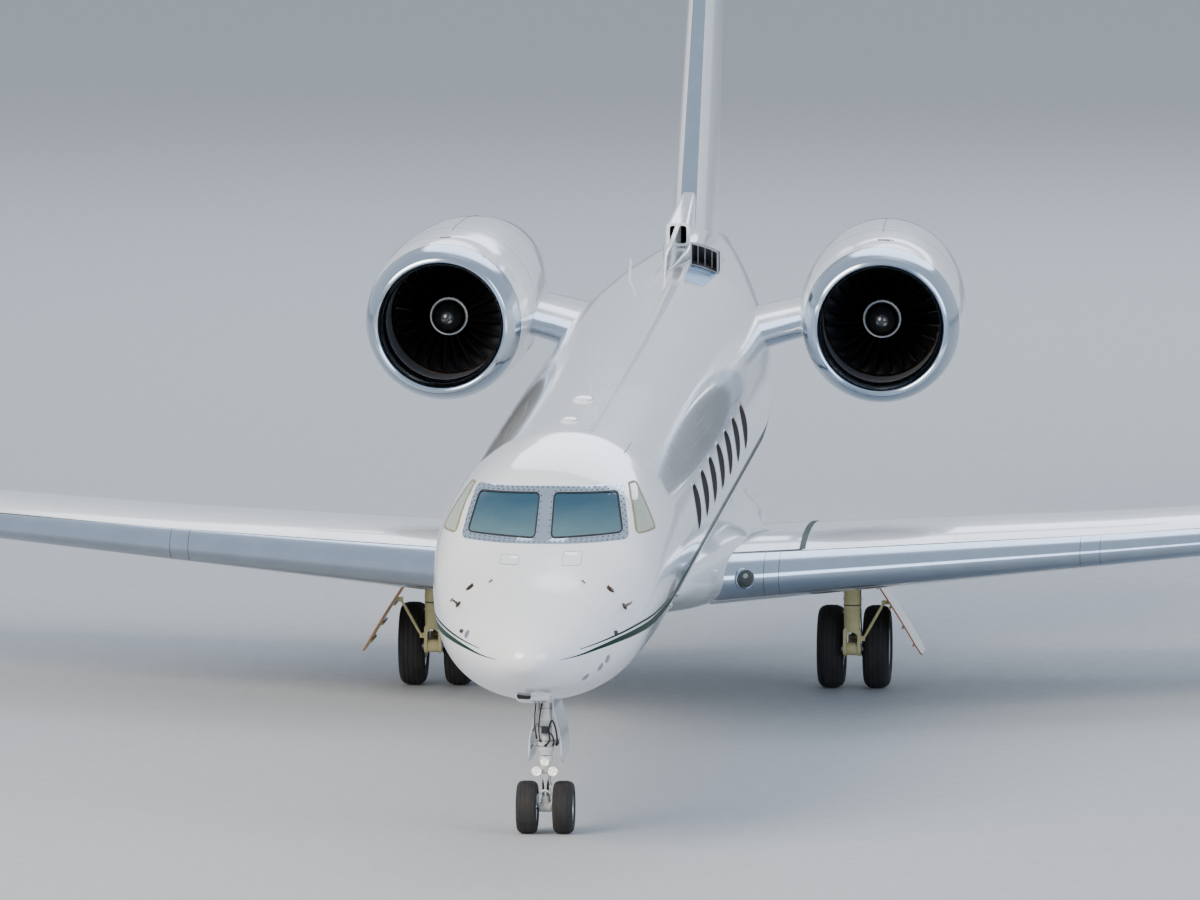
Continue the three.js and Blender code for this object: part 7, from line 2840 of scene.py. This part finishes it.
        def sheet(lift: float) -> Array:
            """Places on the door's bowed sheet, lifted off it by a distance."""
            line = start + down[:, None] * (end - start) + (lift + 0.012 * np.sin(math.pi * down))[:, None] * out
            return joined(line[:, None, 0], long, line[:, None, 1])

        made = to_object(f"gear_door_{self.side.label}", sheet_between(sheet(0.009), sheet(-0.009)))
        cutter = self.wing_cutter()
        carve(made, cutter)
        mirror_object(made, self.side)
        self.dress(made, TRIM_WHITE, replaces=[f"main_gear_door_{self.side.label}"])
        inner = to_object(f"gear_door_lining_{self.side.label}", sheet_between(
            sheet(-0.0085)[:, 1:-1], sheet(-0.012)[:, 1:-1]))
        for share in (0.22, 0.45, 0.68, 0.88):
            rib = block((-0.012, y - 0.09, -0.010), (0.008, y + 0.52, 0.012), 0.006)
            across_at, up_at = start + share * (end - start) - 0.02 * out
            carve(inner, rib.shifted(across_at, 0, up_at), Carve.ADD)
        carve(inner, cutter)
        mirror_object(inner, self.side)
        self.dress(inner, PRIMER)
        edge = []
        middle = sheet(0.0)
        for rows, shift in ((middle[:, 0], (0, -0.002, 0)), (middle[:, -1], (0, 0.002, 0)),
                            (middle[-1], (0, 0, -0.002))):
            edge.append(tube(rows + shift, 0.0075, 8))
        seal = to_object(f"gear_door_edge_{self.side.label}", together(*edge))
        mirror_object(seal, self.side)
        self.dress(seal, DOOR_EDGE)
        a, b = (x + 0.122, y - 0.05, z + 0.115), (x + 0.333, y - 0.05, z + 0.49)
        bar = tube(np.linspace(a, b, 8), [0.010, 0.014, 0.015, 0.015, 0.015, 0.015, 0.014, 0.010], 20)
        eye = rod(-0.02, 0.02, 0.026, 24)
        clevis = block((x + 0.109, y - 0.07, z + 0.09), (x + 0.136, y - 0.03, z + 0.14), 0.006)
        plate = block((x + 0.315, y - 0.028, z + 0.47), (x + 0.395, y - 0.008, z + 0.51), 0.006)
        self.fit("door_link_rod", together(bar, eye.shifted(x + 0.333, y - 0.05, z + 0.49), clevis, plate), PRIMER,
                 replaces=[f"door_rod_{self.side.label}"])


@dataclass
class NoseGear(Assembly):
    """The nose gear: leg with drag brace and hoses, steered piston with torque links and lamps, wheels and doors."""

    slot: ClassVar[str] = "gear_enamel"
    y: float = -12.245
    lamps: tuple = ((-0.079, 0.62, 0.05, 0.13), (0.079, 0.62, 0.05, 0.13), (0, 0.712, 0.045, 0.115))
    door: tuple = ((0.155, 0.702), (0.146, 0.935), (0.072, 1.24), (0.072, 1.33))

    def upright(self, profile: Sequence, segments: int = 40) -> Shape:
        """A shape turned about the leg's axis, from pairs of height and radius."""
        return lathe(profile, segments).along_z().outward().shifted(0, self.y, 0)

    def build(self) -> None:
        """Makes and dresses the gear's pieces."""
        self.build_leg()
        self.build_steering()
        self.build_lamps()
        self.build_lines()
        self.build_doors()
        Wheels().build()

    def build_leg(self) -> None:
        """The leg's stepped barrel, its trunnion, drag brace and cross bar."""
        y = self.y
        leg = self.upright([(0.772, 0), (0.772, 0.062), (0.80, 0.066), (0.82, 0.078), (0.84, 0.08), (0.94, 0.08),
                            (0.96, 0.074),
                            (0.975, 0.062), (1.10, 0.060), (1.11, 0.066), (1.14, 0.066), (1.15, 0.060), (1.60, 0.062),
                            (1.68, 0.07), (1.78, 0.07), (1.79, 0.06), (1.79, 0)])
        bar = spool(0.2895, 0.034, 0.26, 0.04, 32)
        brace = tube(np.linspace((0, y + 0.02, 1.18), (0, y + 0.76, 1.83), 9),
                     [0.03, 0.034, 0.034, 0.028, 0.026, 0.028, 0.034, 0.034, 0.03], 24)
        cross = spool(0.2895, 0.03, 0.26, 0.034, 32)
        made = to_object("nose_leg_barrel", leg)
        for part in (bar.along_x(0, y, 1.73), brace, cross.along_x(0, y + 0.76, 1.83),
                     block((-0.1455, y - 0.02, 0.91), (0.1455, y + 0.02, 0.925), 0.004),
                     block((-0.07, y - 0.075, 1.285), (0.07, y - 0.03, 1.335), 0.01)):
            carve(made, part, Carve.ADD)
        self.dress(made, GEAR_WHITE, replaces=["nose_leg"])
        rings = [self.upright([(h, r - 0.004), (h, r + 0.004), (h + 0.012, r + 0.004), (h + 0.012, r - 0.004)])
                 for h, r in ((0.852, 0.08), (0.905, 0.08), (1.04, 0.06), (1.22, 0.06))]
        self.put("nose_leg_bands", together(*rings), STEEL, slot="steel")

    def build_steering(self) -> None:
        """What the steering turns: chromed piston, steering collar, axle barrel and the torque links behind."""
        y, az = self.y, NOSE.axle
        collar = self.upright([(0.585, 0), (0.585, 0.046), (0.60, 0.052), (0.69, 0.052), (0.70, 0.066), (0.71, 0.07),
                               (0.75, 0.07), (0.76, 0.064), (0.76, 0)])
        barrel = spool(0.06, 0.042, 0.052, 0.048, 40)
        yoke = self.upright([(az - 0.01, 0), (az - 0.01, 0.042), (az + 0.05, 0.04), (az + 0.11, 0.038), (az + 0.12, 0)])
        made = to_object("steering_collar", collar)
        lower = to_object("nose_fork", barrel.along_x(0, y, az))
        carve(lower, yoke, Carve.ADD)
        bore = rod(-0.1, 0.1, 0.0298, 32).along_x()
        carve(lower, bore.shifted(0, y, az))
        links = []
        for lo, hi in (((y + 0.045, az + 0.06), (y + 0.18, 0.46)), ((y + 0.05, 0.66), (y + 0.18, 0.46))):
            links += [prism(hull(lo, 0.018, hi, 0.013), 0, a, a + 0.012) for a in (0.030, -0.042)]
            links.append(prism(hull(lo, 0.014, tuple(0.35 * np.array(lo) + 0.65 * np.array(hi)), 0.009), 0, -0.032,
                               0.032))
        pins = [rod(-0.05, 0.05, 0.011, 16).along_x(0, *p)
                for p in ((y + 0.18, 0.46), (y + 0.05, 0.66), (y + 0.045, az + 0.06))]
        arch = tube(bend([(-0.058, y - 0.03, az + 0.02), (-0.075, y - 0.06, az + 0.11), (0.0, y - 0.075, az + 0.17),
                          (0.075, y - 0.06, az + 0.11), (0.058, y - 0.03, az + 0.02)], 10), 0.011, 12)
        self.dress(made, GEAR_WHITE, body="nose_steering", replaces=["nose_steering"])
        self.dress(lower, GEAR_WHITE, body="nose_steering")
        self.put("torque_links", together(*links, arch), GEAR_WHITE, body="nose_steering")
        piston = self.upright([(az + 0.1, 0), (az + 0.1, 0.034), (0.59, 0.034), (0.59, 0)])
        self.put("nose_piston", piston, CHROME, body="nose_steering", slot="steel")
        shaft = self.upright([(0.755, 0), (0.755, 0.02), (0.80, 0.02), (0.80, 0)])
        self.put("steering_pins", together(*pins, shaft), STEEL, body="nose_steering", slot="steel")

    def build_lamps(self) -> None:
        """Three taxi lamps on the steered part: a housing, a bright reflector and a domed glass each."""
        housings, bowls, glasses = [], [], []
        a = np.linspace(0, 0.5 * math.pi, 7)
        for x, z, r, reach in self.lamps:
            shell = lathe([(0.012, 0), (0.008, 0.55 * r), (0.0, 0.9 * r), (-0.002, 0.98 * r), (0.002, r), (0.03, r),
                           (0.055, 0.75 * r), (0.075, 0.5 * r), (0.08, 0)], 40)
            arm = tube(np.linspace((x, self.y - reach + 0.07, z), (0, self.y - 0.03, z + 0.02), 4), 0.018, 16)
            housings += [shell.shifted(x, self.y - reach, z), arm]
            bowls.append(lathe([(0.006, 0), (0.0, 0.55 * r), (-0.004, 0.86 * r), (-0.002, 0.86 * r), (0.008, 0.5 * r),
                                (0.01, 0)], 40).shifted(x, self.y - reach, z))
            glasses.append(lathe([*zip(-0.004 - 0.014 * np.cos(a), 0.92 * r * np.sin(a)), (-0.002, 0.9 * r),
                                  (-0.002, 0)],
                                 40).shifted(x, self.y - reach, z))
        for name, parts, finish, slot in (("lamp_housings", housings, GEAR_WHITE, "gear_enamel"),
                                          ("lamp_reflectors", bowls, LAMP, "polished_metal"),
                                          ("lamp_glasses", glasses, LAMP_GLASS, "window_glass")):
            self.put(name, together(*parts), finish, body="nose_steering", slot=slot)

    def build_lines(self) -> None:
        """Looping black hoses and a small junction box on the leg's front, and a steering motor on each side."""
        y = self.y
        lines = [
            hose([(0.0, y - 0.088, 0.86), (0.045, y - 0.10, 0.92), (0.04, y - 0.10, 1.03), (0.068, y - 0.105, 1.115),
                  (0.102, y - 0.10, 1.05), (0.12, y - 0.09, 0.93), (0.112, y - 0.06, 0.87)], 0.009),
            hose([(0.035, y - 0.075, 1.0), (0.07, y - 0.10, 0.97), (0.088, y - 0.10, 0.92), (0.08, y - 0.085, 0.87)],
                 0.007),
            hose([(-0.03, y - 0.068, 1.28), (-0.05, y - 0.085, 1.16), (-0.06, y - 0.09, 1.02),
                  (-0.045, y - 0.085, 0.9)], 0.006),
        ]
        lines.append(hose([(0.05, y - 0.05, 1.55), (0.07, y - 0.06, 1.42), (0.065, y - 0.07, 1.33)], 0.007))
        lines.append(hose([(-0.045, y - 0.05, 1.50), (-0.085, y - 0.07, 1.30), (-0.1, y - 0.09, 1.10),
                           (-0.08, y - 0.08, 0.93)],
                          0.006))
        self.put("nose_gear_hoses", together(*lines), HOSE_RUBBER, slot="tyre_rubber")
        box = block((-0.035, y - 0.098, 0.985), (0.03, y - 0.062, 1.055), 0.006)
        self.put("nose_junction_box", box, PANEL_GREY, slot="steel")
        motors = [spool(0.05, 0.026, 0.04, 0.03, 24).shifted(
            s * 0.1, y + 0.02, 0.885) for s in (1, -1)]
        self.put("steering_motors", together(*motors), STEEL, slot="steel")

    def build_doors(self) -> None:
        """Two side doors: sheets through the inner face's outline, 14 mm thick, with rounded lower corners and two ribs
        each."""
        rows = np.array(self.door)
        height = np.linspace(rows[0, 1], rows[-1, 1], 26)
        inner = np.interp(height, rows[:, 1], rows[:, 0])
        inner[1:-1] = 0.25 * inner[:-2] + 0.5 * inner[1:-1] + 0.25 * inner[2:]
        share = np.clip((height[0] + 0.12 - height) / 0.12, 0, 1)
        trim = 0.12 * (1 - np.sqrt(np.maximum(1 - share**2, 0.02)))
        low, high = self.y - 0.07 + trim, self.y + 0.90 - trim
        long = low[:, None] + (high - low)[:, None] * np.linspace(0, 1, 20)
        sheets = [joined((inner + t)[:, None], long, height[:, None]) for t in (0.0005, 0.0135)]
        door = sheet_between(sheets[1], sheets[0])
        ribs = [block((x - 0.012, self.y - 0.03, h - 0.008), (x + 0.001, self.y + 0.84, h + 0.008), 0.004)
                for x, h in ((float(np.interp(h, height, inner)), h) for h in (0.82, 0.99))]
        for side in Side:
            label = side.label
            made = to_object(f"nose_door_skin_{label}", door.carried(side))
            self.mark(made, lambda m: np.abs(m[:, 0]) < np.interp(m[:, 2], height, inner) + 0.005)
            self.dress(made, TRIM_WHITE, GEAR_WHITE, replaces=[f"nose_door_{label}"], slot="white_paint")
            self.put(f"nose_door_ribs_{label}", together(*ribs).carried(side), GEAR_WHITE)


@dataclass
class Sensor(Assembly):
    """The chin fairing of the infrared sensor. Columns: station, half width, top and bottom."""

    rows: Array = array_field([
        [0.68, 0.150, -0.80, -0.962], [0.72, 0.172, -0.80, -0.985], [1.0, 0.172, -0.85, -1.042],
        [1.32, 0.12, -0.90, -1.072],
    ])

    def build(self) -> None:
        """A pod of superellipse rings with a dark window on the right half of its front and a bezel round it."""
        station = np.concatenate([0.68 + 0.04 * np.linspace(0, 1, 6) ** 2, np.linspace(0.74, 1.32, 16)])
        half, top, bottom = straight(self.rows, station, 1, 2, 3)
        across, up = squarish(half, top, bottom, 2 / 4.5, 64)
        rings = joined(across, station[:, None], up)
        made = to_object("sensor_pod", AXIS.seat(loft(rings)))
        carve(made, Fuselage().solid(0, 5.65, -0.008))
        self.dress(made, WHITE, replaces=["sensor_fairing"])
        pane = rounded([(-0.135, -0.952), (-0.015, -0.957), (-0.015, -0.875), (-0.135, -0.87)], 0.016)
        for name, grow, start, finish in (("sensor_bezel", 0.008, 0.6782, GASKET),
                                          ("sensor_window", 0.0, 0.6765, DISPLAY)):
            self.put(name, AXIS.seat(prism(grown(pane, grow), 1, start, 0.70)), finish, slot="window_glass")


@dataclass
class Cockpit(Assembly):
    """The cockpit's furniture on its floor: panel, glare shield, pedestal, control wheels, seats and bulkheads. Places
    are x, station and height over the floor."""

    slot: ClassVar[str] = "cockpit_trim"
    floor: float = -0.5

    def seat(self, shape: Shape) -> Shape:
        """A shape with heights over the floor carried to the frame."""
        return AXIS.seat(shape.shifted(0, 0, self.floor))

    def inside(self, name: str, shape: Shape, *finishes: Finish, **ways) -> Object:
        """A piece cut to the cockpit's room.

        Args:
            name: the piece's name.
            shape: the shape.
            finishes: one finish for each material slot, in order.
            ways: those of dress.

        Returns:
            The piece.
        """
        made = to_object(name, self.seat(shape))
        carve(made, Fuselage().solid(1.46, 5.56, -0.085), Carve.KEEP)
        return self.dress(made, *finishes, **ways)

    def build(self) -> None:
        """Makes and dresses the furniture."""
        self.inside("cockpit_floor", block((-0.64, 1.9, 0.003), (0.64, 4.15, 0.025)), TREAD_GRIP,
                    replaces=["cockpit_interior"])
        face = prism([(2.03, 0.38), (2.16, 0.38), (2.20, 0.42), (2.17, 0.76), (2.03, 0.76)], 0, -0.8, 0.8)
        self.inside("instrument_panel", face, PANEL_GREY)
        screens = [block((x - 0.125, 2.165, 0.49), (x + 0.125, 2.186, 0.69), 0.012) for x in (-0.55, -0.2, 0.2, 0.55)]
        self.inside("flight_displays", together(*screens), DISPLAY)
        shield = prism(rounded([(1.96, 0.758), (2.33, 0.738), (2.345, 0.755), (2.32, 0.775), (2.1, 0.84),
                                (1.96, 0.85)], 0.012),
                       0, -0.76, 0.76)
        self.inside("glare_shield", shield, TRIM)
        knobs = [block((x - 0.05, 2.325, 0.744), (x + 0.05, 2.348, 0.768), 0.004) for x in np.linspace(-0.35, 0.35, 6)]
        self.inside("guidance_panel", together(*knobs), PANEL_GREY)
        pedestal = prism(rounded([(2.15, 0.02), (3.05, 0.02), (3.05, 0.36), (2.95, 0.42), (2.35, 0.50), (2.15, 0.52)],
                                 0.03),
                         0, -0.14, 0.14)
        self.inside("centre_pedestal", pedestal, PANEL_GREY)
        levers = [tube([(x, 2.42, 0.48), (x, 2.40, 0.56), (x, 2.42, 0.60)], [0.008, 0.008, 0.018],
                       12) for x in (-0.03, 0.03)]
        levers += [tube([(x, 2.62, 0.46), (x, 2.63, 0.54)], [0.007, 0.014], 12) for x in (-0.09, 0.09)]
        self.put("power_levers", self.seat(together(*levers)), TRIM)
        for side in Side:
            self.build_station(side)

    def build_station(self, side: Side) -> None:
        """One pilot's seat with its padded cushions, control wheel and side bulkhead.

        Args:
            side: the side of the jet.
        """
        label, x = side.label, 0.36
        column = tube(bend([(x, 2.19, 0.47), (x, 2.4, 0.50), (x, 2.55, 0.56)], 8), 0.018, 16)
        wheel = tube(bend([(x - 0.12, 2.53, 0.66), (x - 0.13, 2.56, 0.58), (x - 0.06, 2.57, 0.545), (x, 2.565, 0.56),
                           (x + 0.06, 2.57, 0.545), (x + 0.13, 2.56, 0.58), (x + 0.12, 2.53, 0.66)], 8), 0.014, 12)
        self.put(f"control_wheel_{label}", self.seat(together(column, wheel)).carried(side), TRIM)
        bulkhead = prism(rounded([(0.33, 0.02), (0.9, 0.02), (0.9, 1.25), (0.33, 1.25)], 0.04), 1, 4.08, 4.13)
        self.inside(f"rear_bulkhead_{label}", bulkhead.carried(side), LINER)
        base = prism(rounded([(2.98, 0.02), (3.22, 0.02), (3.25, 0.3), (2.95, 0.3)], 0.03), 0, x - 0.12, x + 0.12)
        pan = block((x - 0.22, 2.80, 0.295), (x + 0.22, 3.30, 0.33), 0.03)
        shell = prism(rounded([(3.30, 0.33), (3.37, 0.33), (3.52, 1.06), (3.46, 1.07)], 0.02), 0, x - 0.2, x + 0.2)
        arms = [block((x + s * 0.245 - 0.02, 2.92, 0.55), (x + s * 0.245 + 0.02, 3.28, 0.58), 0.012) for s in (1, -1)]
        self.put(f"seat_frame_{label}", self.seat(together(base, pan, shell, *arms)).carried(side), SEAT_SHELL)
        lean = Matrix.Rotation(math.radians(-78), 4, "X")
        for name, size, place, turn, channels in (
            ("seat_cushion", (0.225, 0.25, 0.062), (x, 3.05, 0.385), Matrix.Identity(4), 3),
            ("back_cushion", (0.205, 0.335, 0.055), (x, 3.355, 0.755), lean, 4),
            ("headrest_pad", (0.11, 0.08, 0.035), (x, 3.44, 1.165), lean, 0),
        ):
            shape = self.pad(size, channels).moved(Matrix.Translation(place) @ turn)
            made = self.put(f"{name}_{label}", self.seat(shape).carried(side), SEAT_LEATHER)

    @staticmethod
    def pad(half: Sequence[float], channels: int) -> Shape:
        """A crowned pad: rings that grow from the bottom's middle to the piped edge and shrink to the top's middle. The
        outline is a squarish superellipse pulled in by 3 % between its corners, the height follows (1 - share^3), the
        edge has a raised welt, and each sewn channel dips the top by a bell curve across y.

        Args:
            half: half its size along each axis.
            channels: number of sewn channels.

        Returns:
            The closed pad.
        """
        turn = half_steps(72)
        c, s = np.cos(turn), np.sin(turn)
        share = np.concatenate([np.linspace(0.03, 1, 12), np.linspace(1, 0.03, 30)[1:]])[:, None]
        upper = (np.arange(len(share)) >= 12)[:, None]
        pull = 1 - 0.03 * (1 - np.abs(np.sin(2 * turn)))
        x = half[0] * share * pull * signed(c, 0.5)
        y = half[1] * share * pull * signed(s, 0.5)
        z = np.where(upper, 1.0, -0.75) * half[2] * np.sqrt(np.clip(1 - share**6, 0, 1)) + 0 * x
        z += np.where(np.abs(share - 0.985) < 0.02, 0.08 * half[2], 0)
        for middle in np.linspace(-0.75, 0.75, channels) * half[1] if channels else ():
            z -= np.where(upper, 0.22 * half[2] * np.exp(-(((y - middle) / 0.007) ** 2)) * (1 - share**4), 0)
        return loft(joined(x, y, z))


# The stage

@dataclass(frozen=True)
class Studio:
    """A pale floor, soft lights, and the photograph's far camera: its azimuth from ahead, elevation, distance and
    focal length, and the point it looks at."""

    azimuth: float = math.radians(4.186)
    elevation: float = math.radians(5.303)
    distance: float = 200.0
    lens: float = 580.1
    target: tuple = (-0.366, 0.0, 2.608)
    floor: float = 220.0

    def build(self) -> None:
        """Makes the floor, the world's light, the lamps and the camera."""
        self.build_floor()
        self.build_light()
        self.build_camera()

    def build_floor(self) -> None:
        """A flat pale floor."""
        size = self.floor
        corners = np.array([[[-size, -size, 0], [size, -size, 0]], [[-size, size, 0], [size, size, 0]]], float)
        made = to_object("floor", grid(corners))
        made.data.materials.append(Worn("pale_floor", "#AFB3B7", 0.8, contrast=0.08).material())

    def build_light(self) -> None:
        """A soft cool surround and three large soft lamps, the warm key from the image's left."""
        world = bpy.data.worlds.new("studio")
        world.use_nodes = True
        world.node_tree.nodes.clear()
        shade = add_node(world.node_tree, "Background", {"Color": linear("#D5DFEB"), "Strength": 1.02})
        add_node(world.node_tree, "OutputWorld", {"Surface": shade.outputs[0]})
        bpy.context.scene.world = world
        for name, place, size, power, colour in (
            ("key", (-40, -60, 45), 50, 76000, "#FFF0DC"),
            ("fill", (50, -45, 25), 45, 20000, "#DCE8FF"),
            ("rim", (6, 55, 40), 50, 20000, "#E6EEFF"),
        ):
            lamp = bpy.data.lights.new(name, "AREA")
            lamp.shape = "DISK"
            lamp.size = size
            lamp.energy = power
            lamp.color = linear(colour)[:3]
            made = bpy.data.objects.new(name, lamp)
            made.location = place
            made.rotation_euler = (Vector((0, 0, 2)) - Vector(place)).to_track_quat("-Z", "Y").to_euler()
            bpy.context.scene.collection.objects.link(made)

    def build_camera(self) -> None:
        """The camera looks from the target's front, a little to the jet's left and above."""
        az, el = self.azimuth, self.elevation
        back = Vector((math.sin(az) * math.cos(el), -math.cos(az) * math.cos(el), math.sin(el)))
        data = bpy.data.cameras.new("camera")
        data.lens = self.lens
        data.sensor_width = 36.0
        data.clip_end = 600.0
        made = bpy.data.objects.new("camera", data)
        made.location = Vector(self.target) + self.distance * back
        made.rotation_euler = (-back).to_track_quat("-Z", "Y").to_euler()
        bpy.context.scene.collection.objects.link(made)
        bpy.context.scene.camera = made


def main() -> None:
    """Builds the jet's assemblies in order, then the stage."""
    logging.basicConfig(level=logging.INFO, format="%(name)s %(message)s")
    fuselage = Fuselage()
    fuselage.build()
    EntryDoor(fuselage).build()
    Cockpit().build()
    Sensor().build()
    BellyFairing().build()
    for side in Side:
        Wing(side=side).build()
        Engine(side=side).build()
        Stabiliser(side=side).build()
        MainGear(side=side).build()
    Fin().build()
    NoseGear().build()
    Studio().build()


if __name__ == "__main__":
    main()
